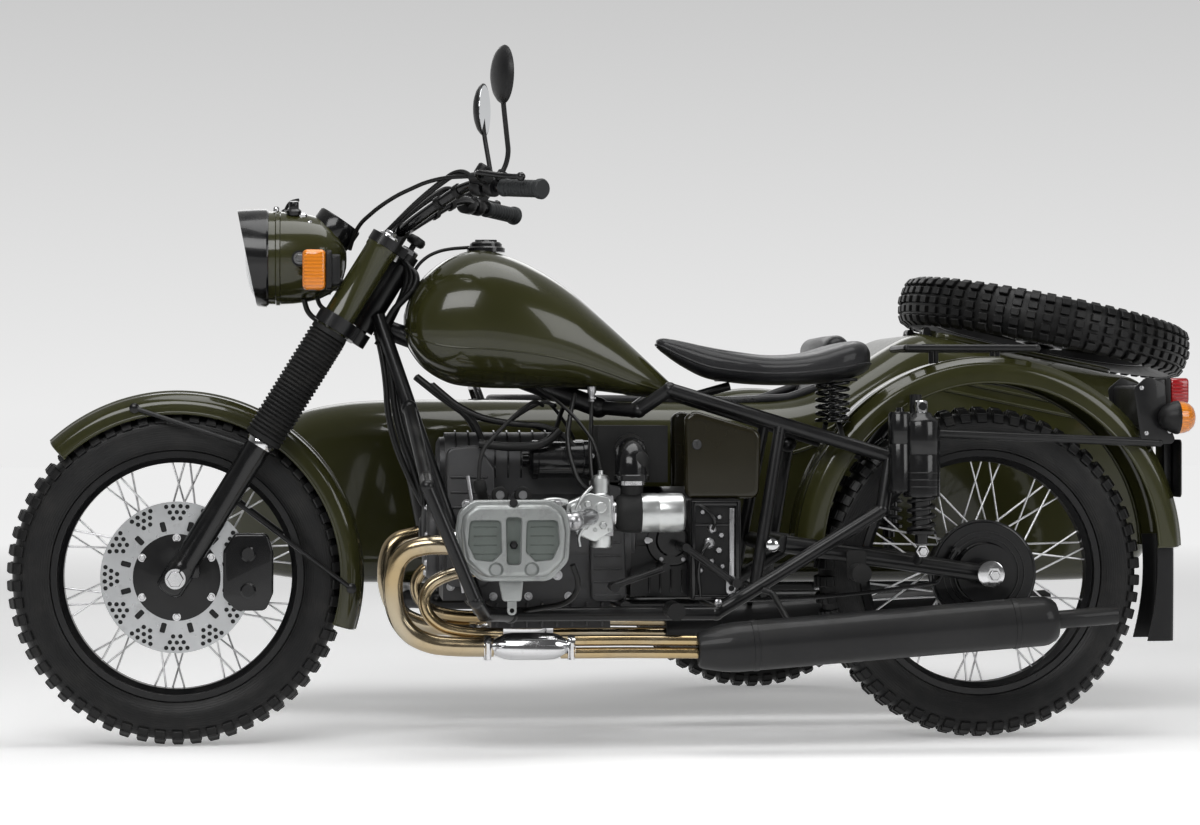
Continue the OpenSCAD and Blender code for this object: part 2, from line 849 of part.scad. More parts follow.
head_w = 192;
carb_port_y = head_from + 22;
carb_y = 226;
carb_z = 130;
can_r = 39;
can_x = [632, 759];

module carburettor(port_x) {
    stub = [port_x - seat_gap, carb_port_y, carb_z - 14];
    bend = stub - [26, 0, 0];
    rod(stub, bend, 17);
    translate(bend) rotate(110) sphere(r = 18.5);
    rod(bend, [806, carb_y + 4, carb_z - 4], 17);
    rod([812, carb_y, carb_z], [can_x[1] + seat_gap, carb_y, carb_z], 24);
    block([776, carb_y - 28, carb_z - 44], [824, carb_y + 28, carb_z + 34]);
    rod([798, carb_y, carb_z + 30], [798, carb_y, carb_z + 62], 17);
}

module carburettors() {
    color(steel) bike() {
        carburettor(left_x - head_w / 2);
        mirror([0, 1, 0]) carburettor(right_x - head_w / 2);
    }
}

module intake_canisters() {
    color(steel) bike() both_sides() {
        rod([can_x[0], carb_y, carb_z], [can_x[1], carb_y, carb_z], can_r);
        rod([744 - 16, carb_y - 6, carb_z + 20], [744 - 16, carb_y - 6, carb_z + 62], 19);
    }
}

module air_box() {
    color(rubber_black) bike() {
        block([650, -92, crank_z + case_r + seat_gap], [790, 92, 300]);
        both_sides()
            tube([[728, carb_y - 6, carb_z + 62 + seat_gap], [728, carb_y - 6, 228], [728, 88, 250]], 25);
    }
}

// ---- Exhaust ----

pipe_y = pipe_w / 2;
pipe_low = -126;
muffler_from = [613, pipe_y, -136];
muffler_to = [-98, pipe_y, -82];

module exhaust_pipe(x) {
    port_y = head_from + head_t / 2;
    bend_x = 1204;
    tube([
        [x + head_w / 2 + seat_gap, port_y, 72], [x + head_w / 2 + 76, port_y, 72],
        [bend_x - 16, port_y - 10, 56], [bend_x, port_y - 16, 16], [bend_x, port_y - 22, -42],
        [bend_x - 20, pipe_y + 2, -92], [bend_x - 64, pipe_y, -120], [bend_x - 118, pipe_y, pipe_low],
        [muffler_from[0] + 6, pipe_y, pipe_low - 4]
    ], pipe_d / 2, 90);
    block([862, pipe_y - 34, -154], [1020, pipe_y + 34, -98]);
}

module exhaust_pipes() {
    color(gold_chrome) bike() {
        exhaust_pipe(left_x);
        mirror([0, 1, 0]) exhaust_pipe(right_x);
    }
}

module mufflers() {
    run = muffler_to - muffler_from;
    dir = run / norm(run);
    color(satin_black) bike() both_sides() {
        difference() {
            union() {
                rod(muffler_from + dir * 30, muffler_to - dir * 10, muffler_d / 2);
                rod(muffler_from, muffler_from + dir * 40, muffler_d / 2 - 12);
                rod(muffler_to - dir * 12, muffler_to, muffler_d / 2 - 8);
            }
            rod(muffler_from - dir * 10, muffler_from + dir * 20, pipe_d / 2 + seat_gap + 4);
        }
        rod(muffler_to - dir * 4, muffler_to + dir * 130, 18);
        // Hanger up to the cradle
        hanger = on_loop(470) + [0, tube_r + 8 + seat_gap, 0];
        rod([430, pipe_y - 10, -84], hanger, 6);
        translate(hanger) sphere(r = 8);
    }
}

// ---- Tank, saddle and covers ----

tank_shift = wheelbase - 1625;

// x, half width as a share, bottom and top of each section
tank_stations = [
    [632, 0.10, 362, 384], [666, 0.26, 357, 416], [717, 0.42, 360, 463], [777, 0.58, 368, 517],
    [838, 0.74, 373, 570], [899, 0.87, 374, 611], [959, 0.96, 374, 639], [1020, 1.00, 376, 654],
    [1080, 0.97, 384, 640], [1131, 0.84, 412, 604], [1162, 0.62, 450, 560], [1174, 0.34, 480, 525]
];

module fuel_tank() {
    shell = [for (s = tank_stations)
        oval_ring(s[0] + tank_shift, 0, s[1] * tank_w / 2, s[2], s[3], 0.42, 0.82)];
    color(olive) bike() as_mesh()
        difference() {
            loft(shell);
            hull() {
                for (p = [back_top + [40, 0, 15], back_low - [60, 0, 30]])
                    translate(p + [0, 0, backbone_d / 2 - 140])
                        translate([-5, -tunnel_w / 2, 0]) cube([10, tunnel_w, 150]);
            }
        }
}

cap_x = 1009 + tank_shift;

module fuel_cap() {
    color(satin_black) bike() translate([cap_x, 0, tank_stations[7][3] - 0.6]) {
        cylinder(r = 34, h = 14);
        cylinder(r = 27, h = 24);
    }
}

saddle_stations = [
    [236, 0.55, 410, 458], [262, 0.84, 398, 474], [316, 1.00, 386, 470], [380, 0.97, 382, 456],
    [440, 0.84, 382, 448], [500, 0.62, 386, 450], [560, 0.40, 396, 460], [610, 0.27, 420, 472],
    [648, 0.18, 446, 478], [662, 0.09, 458, 474]
];

module saddle() {
    color(leather) bike() as_mesh()
        loft([for (s = saddle_stations)
            oval_ring(s[0], 0, s[1] * saddle_w / 2, s[2] + 4, s[3], 0.45, 0.80)]);
}

module saddle_frame() {
    spring_r = 24;
    spring_foot = [300, 78, 306];
    seat_under = 391.4;
    nose_x = 596;
    color(satin_black) bike() {
        both_sides() {
            rail = on_rail(spring_foot[0]);
            nose = on_rail(nose_x);
            translate(spring_foot) cylinder(r = spring_r, h = seat_under - spring_foot[2]);
            end = beside(rail, rail_end - rail_start, spring_foot, tube_r + 7 + seat_gap);
            rod(spring_foot + [0, 0, 8], end, 5);
            translate(end) sphere(r = 7);
            rod([nose_x, 0, nose[2]], nose - [0, tube_r + 1.5, 0], 9);
        }
        rod([512, 0, seat_under - 11], [nose_x, 0, on_rail(nose_x)[2]], 9);
    }
}

module side_covers() {
    corner = 22;
    color(olive) bike() both_sides()
        hull()
            for (p = [[598, 306], [488, 272], [488, 176], [598, 176]])
                translate([p[0], cradle_y - 46, p[1]]) rotate([-90, 0, 0]) cylinder(r = corner, h = 28);
}

module battery_boxes() {
    color(rubber_black) bike() both_sides()
        plate_xz(508, 610, cross_z + cross_r + seat_gap, 154 - seat_gap, gearbox_r + 2, cradle_y - tube_r - 2, 8);
}

module rear_fender() {
    color(olive) bike() translate([fender_x, 0, fender_z])
        arch(rear_fender_r, rear_fender_w, 54, 0, 178);
}

module mud_flap() {
    top = 34;
    half = 54;
    x = fender_x - sqrt(pow(rear_fender_r - 9.2, 2) - top * top);
    color(rubber_black) bike() block([x, -half, fender_z - 180], [x + 6, half, fender_z + top]);
}

rack_z = 457;
rack_bolt_y = 94;
rack_bolt_d = 7;
rack_len = 268;
rack_from = -108;

module rear_rack() {
    half = 72;
    r = 7;
    strip_x = [rack_from + 44, rack_from + rack_len - 44];
    color(satin_black) bike() {
        difference() {
            union() {
                for (y = [-half, -half / 3, half / 3, half])
                    rod([rack_from, y, rack_z], [rack_from + rack_len, y, rack_z], abs(y) == half ? r : r - 2);
                for (x = strip_x) block([x - 13, -half, rack_z + 2], [x + 13, half, rack_z + 8]);
            }
            for (x = strip_x, y = [-rack_bolt_y / 2, rack_bolt_y / 2])
                translate([x, y, rack_z - 10]) cylinder(d = rack_bolt_d, h = 30);
        }
        for (x = [rack_from, rack_from + rack_len]) {
            rod([x, -half, rack_z], [x, half, rack_z], r);
            both_sides() translate([x, half, rack_z]) sphere(r = r * bend_swell);
        }
        for (x = [rack_from + 70, rack_from + rack_len - 70], s = [-1, 1])
            let (top = fender_z + sqrt(pow(rear_fender_r, 2) - pow(x - fender_x, 2)))
            rod([x, s * 24, top + 0.6], [x, s * 24, rack_z], 5);
    }
}

tail_x = -404;
plate_bolt_y = 140;
plate_bolt_d = 6;

module tail_bracket() {
    plate_w = 200;
    color(satin_black) bike() {
        difference() {
            plate_xz(tail_x - 2, fender_back(330) - 10, 290, 400, -46, 46, 10);
            translate([fender_x, 60, fender_z]) rotate([90, 0, 0]) cylinder(r = rear_fender_r + seat_gap, h = 120, $fn = 96);
        }
        // Blank plate carrier hanging below
        translate([tail_x - 6, 0, 276])
            difference() {
                block([-3, -plate_w / 2, -124], [3, plate_w / 2, 4]);
                for (y = [-plate_bolt_y / 2, plate_bolt_y / 2])
                    translate([-10, y, -28]) rotate([0, 90, 0]) cylinder(d = plate_bolt_d, h = 20);
            }
        block([tail_x - 8, -30, 262], [tail_x + 14, 30, 300]);
    }
}

module tail_lamp() {
    color(red) bike() plate_xz(tail_x - 30, tail_x - 2 - seat_gap, 346, 394, -42, 42, 6);
}

module rear_indicators() {
    color(amber) bike() both_sides() {
        rod([tail_x + 20, 46 + seat_gap, 316], [tail_x + 20, 112, 316], 7);
        rod([tail_x + 26, 118, 316], [tail_x + 2, 118, 316], 30);
        rod([tail_x + 3, 118, 316], [tail_x - 18, 118, 316], 34);
    }
}

// ---- Controls and guard ----

// A pedal or lever: a shaft out of the case, an arm and a round end
module lever(shaft, arm_y, tip, r) {
    side = shaft[1] > 0 ? 1 : -1;
    bend = [shaft[0], side * arm_y, shaft[2]];
    knee = [tip[0], side * (arm_y + 3), tip[2]];
    rod(shaft, bend + [0, side * r, 0], r);
    rod(bend, knee, r - 1);
    rod(knee - [0, side * r, 0], [tip[0], side * tip[1], tip[2]], r + 1);
}

module foot_controls() {
    peg_x = 655;
    arm_y = cradle_y + tube_r + 12;
    color(satin_black) bike() {
        both_sides() {
            rod([peg_x, cradle_y + tube_r + seat_gap, -62], [peg_x, cradle_y + 130, -60], 9);
            rod([peg_x, cradle_y + 44, -61], [peg_x, cradle_y + 132, -60], 17);
        }
        // Gear lever, kick starter and brake pedal
        lever([664, 80 + seat_gap, 20], arm_y, [770, 236, -16], 8);
        lever([626, gearbox_r - 2.4, 60], arm_y + 20, [532, 250, -8], 8);
        lever([690, -80 - seat_gap, -16], arm_y, [800, 240, -26], 8);
    }
}

guard_r = 13;
guard_y = face_y + guard_r + 2;
guard_top = on_down(330);
guard_high = [1142, guard_y, 186];
guard_low = [1050, guard_y, -32];

module engine_guard() {
    ball = guard_r + 3;
    away = tube_r + ball + seat_gap;
    top = beside(guard_top, down_low - down_top, guard_high, away);
    foot = [972, cradle_y + away, cradle_z];
    color(satin_black) bike() {
        tube([top, guard_high - [0, 60, -14], guard_high, guard_low, guard_low - [20, 90, 30], foot], guard_r);
        translate(top) sphere(r = ball);
        translate(foot) sphere(r = ball);
    }
}

// ---- Sidecar ----

side_r = side_tube_d / 2;
side_z = -81;
body_low = -48;
left_rail = -425;
right_rail = -body_y - 265;
side_front = 1150;
side_rear = -120;
half_body = body_w / 2;
cabin_x = [118, 985];
partition_x = 100;
foot_corner = 70;
top_corner = 86;

function deck_at(x) = deck_z + (x - deck_x) * tan(deck_tilt);

// x, share of the half width, bottom, top and share of the corner radii
body_stations = [
    [-520, 0.70, 70, deck_at(-520) - 60, 0.8],
    [-505, 0.86, 30, deck_at(-505) - 18, 0.9],
    [-470, 0.96, -10, deck_at(-470), 1],
    [-400, 1.00, -40, deck_at(-400), 1],
    [-300, 1.00, body_low, deck_at(-300), 1],
    [deck_x, 1.00, body_low, deck_at(deck_x), 1],
    [20, 1.00, body_low, 500, 1],
    [70, 1.00, body_low, 482, 1],
    [150, 1.00, body_low, 434, 1],
    [230, 1.00, body_low, 384, 1],
    [310, 1.00, body_low, 354, 1],
    [420, 1.00, body_low, 349, 1],
    [700, 1.00, body_low, 352, 1],
    [960, 0.97, body_low, 354, 1],
    [1130, 0.88, body_low, 354, 1],
    [1260, 0.75, body_low, 350, 0.9],
    [1360, 0.61, body_low + 4, 334, 0.8],
    [1440, 0.47, body_low + 12, 296, 0.7],
    [1500, 0.34, body_low + 24, 246, 0.6],
    [1542, 0.20, body_low + 46, 186, 0.4],
    [1560, 0.08, body_low + 76, 132, 0.15]
];

function body_ring(s, inset) = box_ring(
    s[0], -body_y, s[1] * half_body - inset, s[2] + inset, s[3] - inset,
    foot_corner * s[4] - inset * 0.5, top_corner * s[4] - inset * 0.5
);

module sidecar_body() {
    last = len(body_stations) - 2;
    opening_x = [cabin_x[0] + 14, cabin_x[1] - 30];
    color(olive) bike() as_mesh()
        difference() {
            loft([for (s = body_stations) body_ring(s, 0)]);
            difference() {
                loft([for (i = [1:last - 1]) body_ring(body_stations[i], wall)]);
                translate([partition_x - wall / 2, -body_y - half_body, body_low])
                    cube([wall, body_w, 600]);
            }
            // Cockpit opening
            translate([(opening_x[0] + opening_x[1]) / 2, -body_y, 200])
                linear_extrude(400) cockpit_outline(opening_x[1] - opening_x[0], cockpit_w);
            // Trunk opening
            translate([deck_x, -body_y, deck_z]) rotate([0, -deck_tilt, 0])
                translate([-390, -lid_w / 2 + 26, -60]) cube([350, lid_w - 52, 90]);
        }
}

module cockpit_outline(len_x, w) {
    hull() {
        translate([len_x / 2 - w / 2, 0]) circle(r = w / 2);
        for (s = [-1, 1]) translate([-len_x / 2 + 60, s * (w / 2 - 60)]) circle(r = 60);
    }
}

module on_deck() {
    bike() translate([deck_x, -body_y, deck_z]) rotate([0, -deck_tilt, 0]) children();
}

hinge_y = [-116, 70];
hinge_pin_r = 4.5;
knuckle_w = 14;
knuckle_span = 46;

module knuckle(y, w) {
    block([-hinge_r, y, seat_gap], [hinge_r, y + w, hinge_h]);
    across([0, y, hinge_h]) cylinder(r = hinge_r, h = w);
}

module trunk_hinge() {
    color(satin_black) on_deck()
        for (y = hinge_y) {
            knuckle(y, knuckle_w);
            knuckle(y + knuckle_span - knuckle_w, knuckle_w);
            across([0, y + 2, hinge_h]) cylinder(r = hinge_pin_r, h = knuckle_span - 4);
        }
}

module trunk_lid() {
    gap = 1.5;
    lid_top = seat_gap + lid_t;
    color(olive) on_deck() {
        difference() {
            union() {
                block([-420, -lid_w / 2, seat_gap], [-14, lid_w / 2, lid_top]);
                for (y = hinge_y)
                    let (from = y + knuckle_w + gap, w = knuckle_span - 2 * knuckle_w - 2 * gap) {
                        across([0, from, hinge_h]) cylinder(r = hinge_r, h = w);
                        block([-24, from, lid_top - 7], [0, from + w, hinge_h + hinge_r]);
                    }
            }
            for (y = hinge_y)
                across([0, y, hinge_h]) cylinder(r = hinge_pin_r + pin_gap, h = knuckle_span);
        }
        // Spare wheel carrier: foot, stud and nut
        translate([-spare_back, 0, lid_top - 1]) {
            cylinder(r = 40, h = carrier_h + 1);
            cylinder(r = axle_d / 2, h = carrier_h + 2 * hub_half + 16);
        }
        translate([-spare_back, 0, spare_h + hub_half + seat_gap]) cylinder(r = 18, h = 10);
    }
}

module spare_place() {
    on_deck() translate([-spare_back, 0, spare_h]) children();
}

module spare_tyre() {
    color(rubber_black) spare_place() tyre();
}

module spare_rim() {
    color(satin_black) spare_place() rim();
}

module spare_hub() {
    color(dark_grey) spare_place() {
        hub(flange_r - 8);
        spokes();
    }
}

// A strut from the sidecar's rail to a ball beside a tube of the motorcycle
module strut(path, p, dir, r) {
    ball = r + 5;
    end = beside(p, dir, path[len(path) - 1], tube_r + ball + seat_gap);
    tube(concat(path, [end]), r);
    translate(end) sphere(r = ball);
}

module sidecar_frame() {
    low_x = [975, 700];
    color(satin_black) bike() {
        tube([
            [side_rear, left_rail, side_z], [side_front - 60, left_rail, side_z],
            [side_front, left_rail - 60, side_z], [side_front, right_rail + 60, side_z],
            [side_front - 60, right_rail, side_z], [side_rear, right_rail, side_z]
        ], side_r);
        for (x = [side_rear, 160, 600, 900]) rod([x, left_rail, side_z], [x, right_rail, side_z], side_r);
        for (x = [side_rear, 600, 900], y = [-body_y - 150, -body_y + 150])
            translate([x, y, side_z]) cylinder(r = 22, h = body_low - side_z - seat_gap);
        for (x = low_x) strut([[x, left_rail, side_z]], [x, -cradle_y, cradle_z], [1, 0, 0], 15);
        mirror([0, 1, 0]) {
            strut([[1070, -left_rail, side_z], [1120, -left_rail - 18, 60]], on_down(410),
                down_low - down_top, 13);
            strut([[380, -left_rail, side_z]], on_rail(360), rail_end - rail_start, 13);
        }
        rod([600, right_rail, side_z], [600, -track + tyre_w / 2 + 24, side_z], 17);
    }
}

module sidecar_arm() {
    arm_y = -track + tyre_w / 2 + 40;
    arm_r = 16;
    color(satin_black) bike() {
        difference() {
            rod([600, arm_y, side_z], [wheel_lead, arm_y, 0], arm_r);
            across([600, arm_y - 30, side_z]) cylinder(r = 17 + seat_gap, h = 80);
        }
        difference() {
            across([600, arm_y - arm_r, side_z]) cylinder(r = 28, h = 2 * arm_r);
            across([600, arm_y - 30, side_z]) cylinder(r = 17 + seat_gap, h = 80);
        }
        across([wheel_lead, arm_y - arm_r, 0]) cylinder(r = 26, h = 2 * arm_r);
        across([wheel_lead, -track - hub_half - 16, 0])
            cylinder(d = axle_d, h = arm_y + track + hub_half + 16);
        // Damper from the arm to the body's side
        rod([wheel_lead, arm_y, 20], [wheel_lead + 30, arm_y, 150], 12);
        rod([wheel_lead + 24, arm_y, 124], [wheel_lead + 54, arm_y, 252], 20);
        rod([wheel_lead + 50, arm_y, 240], [wheel_lead + 50, -body_y - half_body - seat_gap, 240], 9);
    }
}

module sidecar_fender() {
    outer_r = wheel_r + 48;
    side_in = -track + side_fender_w / 2;
    body_side = -body_y - half_body - seat_gap;
    color(olive) bike() {
        translate([wheel_lead, -track, 0]) arch(outer_r, side_fender_w, 60, 8, 172);
        for (a = [40, 140])
            let (p = around(outer_r - 30, a) + [wheel_lead, 0, 0])
            rod([p[0], side_in - 1, min(p[2], 245)], [p[0], body_side, min(p[2], 245)], 9);
    }
}

module sidecar_lamps() {
    outer_r = wheel_r + 48;
    color(amber) bike() {
        translate([wheel_lead, -track, 0])
            for (a = [62, 128]) rotate([0, -a, 0])
                translate([outer_r + seat_gap + 0.4, 0, 0]) rotate([0, 90, 0]) cylinder(r = 24, h = 32);
    }
}

module sidecar_seat() {
    half = 196;
    floor_z = body_low + wall + seat_gap;
    color(leather) bike() translate([0, -body_y, 0]) {
        block([400, -half, floor_z], [860, half, floor_z + 120]);
        hull() {
            block([330, -half, floor_z], [398, half, floor_z + 20]);
            block([158, -half + 10, 470], [222, half - 10, 500]);
        }
    }
}

frame();
engine_case();
gearbox();
cylinders();
valve_covers();
carburettors();
intake_canisters();
air_box();
exhaust_pipes();
mufflers();
fuel_tank();
fuel_cap();
saddle();
saddle_frame();
side_covers();
battery_boxes();
rear_fender();
rear_rack();
tail_bracket();
tail_lamp();
rear_indicators();
mud_flap();
swing_arm();
rear_shocks();
rear_brake();
final_drive();
foot_controls();
engine_guard();
sidecar_frame();
sidecar_body();
sidecar_seat();
sidecar_fender();
sidecar_arm();
sidecar_lamps();
trunk_hinge();
fork_clamps();
fork_covers();
fork_gaiters();
fork_sliders();
front_fender();
headlamp();
handlebar();
grips();
mirrors();
front_indicators();
brake_caliper();
front_tyre();
front_rim();
front_hub();
brake_disc();
rear_tyre();
rear_rim();
rear_hub();
sidecar_tyre();
sidecar_rim();
sidecar_hub();
trunk_lid();
spare_tyre();
spare_rim();
spare_hub();
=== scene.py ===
"""The looks of a flat-twin motorcycle with a boat-shaped sidecar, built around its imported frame."""

import json
import math

import bpy
from mathutils import Matrix, Vector

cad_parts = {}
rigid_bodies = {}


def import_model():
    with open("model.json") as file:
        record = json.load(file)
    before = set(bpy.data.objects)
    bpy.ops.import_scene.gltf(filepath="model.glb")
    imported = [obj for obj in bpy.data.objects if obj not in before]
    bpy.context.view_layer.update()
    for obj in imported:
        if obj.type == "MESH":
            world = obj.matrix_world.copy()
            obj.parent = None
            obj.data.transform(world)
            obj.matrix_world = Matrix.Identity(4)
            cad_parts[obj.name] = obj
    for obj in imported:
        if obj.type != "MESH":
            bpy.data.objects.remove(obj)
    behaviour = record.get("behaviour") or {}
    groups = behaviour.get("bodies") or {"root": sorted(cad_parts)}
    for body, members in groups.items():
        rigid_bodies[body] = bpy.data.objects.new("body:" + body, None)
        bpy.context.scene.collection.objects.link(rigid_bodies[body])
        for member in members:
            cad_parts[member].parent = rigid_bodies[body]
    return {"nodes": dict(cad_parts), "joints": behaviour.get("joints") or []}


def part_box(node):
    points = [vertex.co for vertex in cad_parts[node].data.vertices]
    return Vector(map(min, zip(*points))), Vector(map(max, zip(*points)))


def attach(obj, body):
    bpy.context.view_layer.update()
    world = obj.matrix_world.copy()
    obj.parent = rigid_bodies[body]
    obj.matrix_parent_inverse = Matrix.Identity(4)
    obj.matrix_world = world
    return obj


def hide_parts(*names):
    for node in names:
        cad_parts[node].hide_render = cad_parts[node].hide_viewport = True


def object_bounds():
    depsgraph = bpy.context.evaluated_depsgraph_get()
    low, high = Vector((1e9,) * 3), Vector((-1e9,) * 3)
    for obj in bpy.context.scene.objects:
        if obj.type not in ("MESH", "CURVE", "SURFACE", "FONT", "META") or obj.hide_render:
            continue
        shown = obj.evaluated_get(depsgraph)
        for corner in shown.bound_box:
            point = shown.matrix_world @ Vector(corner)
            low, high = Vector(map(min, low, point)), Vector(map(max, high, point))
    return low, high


bl_info = {
    "name": "Sidecar Outfit",
    "version": (1, 0, 0),
    "blender": (4, 5, 0),
    "location": "View3D > Sidebar > Outfit",
    "description": "Builds the bodywork, wheels, engine trim and controls of a sidecar outfit",
    "category": "Object",
}

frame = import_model()
CAD_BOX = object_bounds()
JOINTS = {j["name"]: j for j in frame["joints"]}


def middle(node):
    low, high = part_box(node)
    return (low + high) / 2


REAR = middle("rear_tyre")
FRONT = middle("front_tyre")
SIDE = middle("sidecar_tyre")
WHEEL_R = (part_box("rear_tyre")[1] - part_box("rear_tyre")[0]).z / 2
STEER_AXIS = Vector(JOINTS["steering"]["axis"]).normalized()
STEER_AHEAD = Vector((STEER_AXIS.z, 0, -STEER_AXIS.x))
FORK_OFFSET = 0.050
FORK_HALF = 0.108
HINGE = Vector(JOINTS["trunk_hinge"]["pos_m"])
DECK_TILT = math.radians(11.5)
DECK_UP = Vector((-math.sin(DECK_TILT), 0, math.cos(DECK_TILT)))
DECK_AHEAD = Vector((math.cos(DECK_TILT), 0, math.sin(DECK_TILT)))
HINGE_H = 0.016
BODY_Y = -0.720
SPARE_BACK = 0.286
CRADLE_Y = 0.150


def bike(x, y, z):
    """A place measured from the rear axle's middle."""
    return REAR + Vector((x, y, z))


def fork(x, y, z):
    """A place in the fork's own frame, with z up the steering axis."""
    start = FRONT - FORK_OFFSET * STEER_AHEAD
    return start + x * STEER_AHEAD + Vector((0, y, 0)) + z * STEER_AXIS


def deck(x, y, z):
    """A place on the rear deck, with x forward along it from the hinge."""
    start = HINGE - HINGE_H * DECK_UP
    return Vector((start.x, REAR.y + BODY_Y + y, start.z)) + x * DECK_AHEAD + z * DECK_UP


SPARE = middle("spare_hub")


# ---- Shader maths -----------------------------------------------------------


class Value:
    """A number that changes over a surface: arithmetic on it adds Math nodes."""

    def __init__(self, shader, socket):
        self.shader = shader
        self.socket = socket

    def math(self, operation, *others):
        values = [self, *others]
        return self.shader.node("ShaderNodeMath", {"operation": operation}, dict(enumerate(values)))

    def __add__(self, other):
        return self.math("ADD", other)

    def __mul__(self, other):
        return self.math("MULTIPLY", other)

    def __sub__(self, other):
        return self.math("SUBTRACT", other)

    def __rsub__(self, other):
        return self.shader.node("ShaderNodeMath", {"operation": "SUBTRACT"}, {0: other, 1: self})

    def __lt__(self, other):
        return self.math("LESS_THAN", other)

    def __gt__(self, other):
        return self.math("GREATER_THAN", other)

    __radd__ = __add__
    __rmul__ = __mul__

    def band(self, low, high):
        """0 below low, 1 above high and a smooth step between."""
        return self.shader.node(
            "ShaderNodeMapRange",
            {"interpolation_type": "SMOOTHSTEP"},
            {"Value": self, "From Min": low, "From Max": high},
        )


class Shader:
    """One material and its nodes."""

    def __init__(self, name):
        self.material = bpy.data.materials.new(name)
        self.material.use_nodes = True
        self.tree = self.material.node_tree
        self.principled = self.tree.nodes["Principled BSDF"]
        self.place = self.node("ShaderNodeTexCoord", {}, {}, "Object")

    def plug(self, socket, value):
        if isinstance(value, Value):
            self.tree.links.new(value.socket, socket)
        elif isinstance(value, (tuple, list)) and socket.type == "RGBA" and len(value) == 3:
            socket.default_value = (*value, 1)
        else:
            socket.default_value = value

    def node(self, kind, settings, inputs, output=0):
        made = self.tree.nodes.new(kind)
        for key, value in settings.items():
            setattr(made, key, value)
        for key, value in inputs.items():
            self.plug(made.inputs[key], value)
        return Value(self, made.outputs[output])

    def set(self, **sockets):
        for key, value in sockets.items():
            self.plug(self.principled.inputs[key.replace("_", " ").title().replace("Ior", "IOR")], value)

    def noise(self, scale, detail=3, roughness=0.5, place=None):
        return self.node(
            "ShaderNodeTexNoise",
            {},
            {"Vector": place or self.place, "Scale": scale, "Detail": detail, "Roughness": roughness},
        )

    def cells(self, scale, feature="DISTANCE_TO_EDGE", place=None):
        return self.node(
            "ShaderNodeTexVoronoi", {"feature": feature}, {"Vector": place or self.place, "Scale": scale}
        )

    def mix(self, factor, low, high):
        return self.node(
            "ShaderNodeMix", {"data_type": "RGBA"}, {0: factor, 6: low, 7: high}, 2
        )

    def axis(self, which, centre=(0, 0, 0)):
        moved = self.node(
            "ShaderNodeMapping", {"vector_type": "POINT"}, {"Vector": self.place, "Location": [-c for c in centre]}
        )
        parts = self.node("ShaderNodeSeparateXYZ", {}, {"Vector": moved}, which)
        return parts

    def around(self, centre):
        """Distance from a wheel's axle, which lies along Y."""
        x, z = self.axis(0, centre), self.axis(2, centre)
        return (x * x + z * z).math("SQRT")

    def upward(self):
        normal = self.node("ShaderNodeNewGeometry", {}, {}, "Normal")
        return self.node("ShaderNodeSeparateXYZ", {}, {"Vector": normal}, 2)

    def bump(self, *layers):
        """Stacks (height, distance in metres, strength) layers of relief."""
        last = None
        for height, distance, strength in layers:
            inputs = {"Height": height, "Distance": distance, "Strength": strength}
            if last:
                inputs["Normal"] = last
            last = self.node("ShaderNodeBump", {}, inputs)
        self.set(normal=last)


def paint(name, colour, roughness=0.2, coat=0.6, dust=0.25):
    """Sprayed paint under a clear coat, a little dusty on what faces up."""
    s = Shader(name)
    cloud = s.noise(3.0, 4)
    fine = s.noise(90.0, 2)
    darker = tuple(c * 0.82 for c in colour)
    lighter = tuple(min(1, c * 1.14 + 0.004) for c in colour)
    tone = s.mix(cloud.band(0.3, 0.7), darker, lighter)
    haze = s.upward().band(0.2, 1.0) * s.noise(14.0, 5).band(0.45, 0.75) * dust
    tone = s.mix(haze * 0.4, tone, (0.11, 0.105, 0.08))
    s.set(base_color=tone, roughness=fine * 0.05 + haze * 0.3 + (roughness - 0.025), coat_weight=coat)
    s.principled.inputs["Coat Roughness"].default_value = 0.06
    s.principled.inputs["Specular IOR Level"].default_value = 0.2
    s.bump((s.noise(420.0, 1), 0.00006, 0.25), (s.noise(25.0, 1), 0.0006, 0.12))
    return s.material


def black_paint(name, roughness=0.32, coat=0.15):
    """Baked black on tubes, worn a little and dusty."""
    s = Shader(name)
    worn = s.noise(38.0, 6, 0.7).band(0.66, 0.76)
    haze = s.upward().band(0.1, 1.0) * s.noise(20.0, 4).band(0.4, 0.7)
    tone = s.mix(s.noise(6.0).band(0.3, 0.7), (0.0045, 0.0045, 0.005), (0.009, 0.009, 0.0095))
    tone = s.mix(haze * 0.2, tone, (0.05, 0.048, 0.042))
    tone = s.mix(worn * 0.2, tone, (0.06, 0.06, 0.06))
    s.set(base_color=tone, roughness=s.noise(60.0) * 0.2 + haze * 0.2 + (roughness - 0.1), coat_weight=coat)
    s.principled.inputs["Specular IOR Level"].default_value = 0.3
    s.bump((s.noise(260.0, 2), 0.0001, 0.3),)
    return s.material


def metal(name, colour, roughness, grain=0.15, scale=70.0, dirt=0.2, tint=None):
    """Bare, cast, brushed or plated metal."""
    s = Shader(name)
    blotch = s.noise(9.0, 5).band(0.35, 0.75)
    grime = s.noise(30.0, 6, 0.65).band(0.56, 0.74) * dirt
    tone = s.mix(blotch, colour, tuple(c * 0.86 for c in colour))
    if tint:
        tone = s.mix(s.noise(4.0, 2).band(0.35, 0.7), tone, tint)
    tone = s.mix(grime, tone, (0.07, 0.062, 0.05))
    s.set(base_color=tone, metallic=1 - grime * 0.8, roughness=s.noise(scale, 3) * grain * 2 + grime * 0.4 + (roughness - grain))
    s.bump((s.noise(scale * 4, 3), 0.0002, min(1, grain * 2)),)
    return s.material


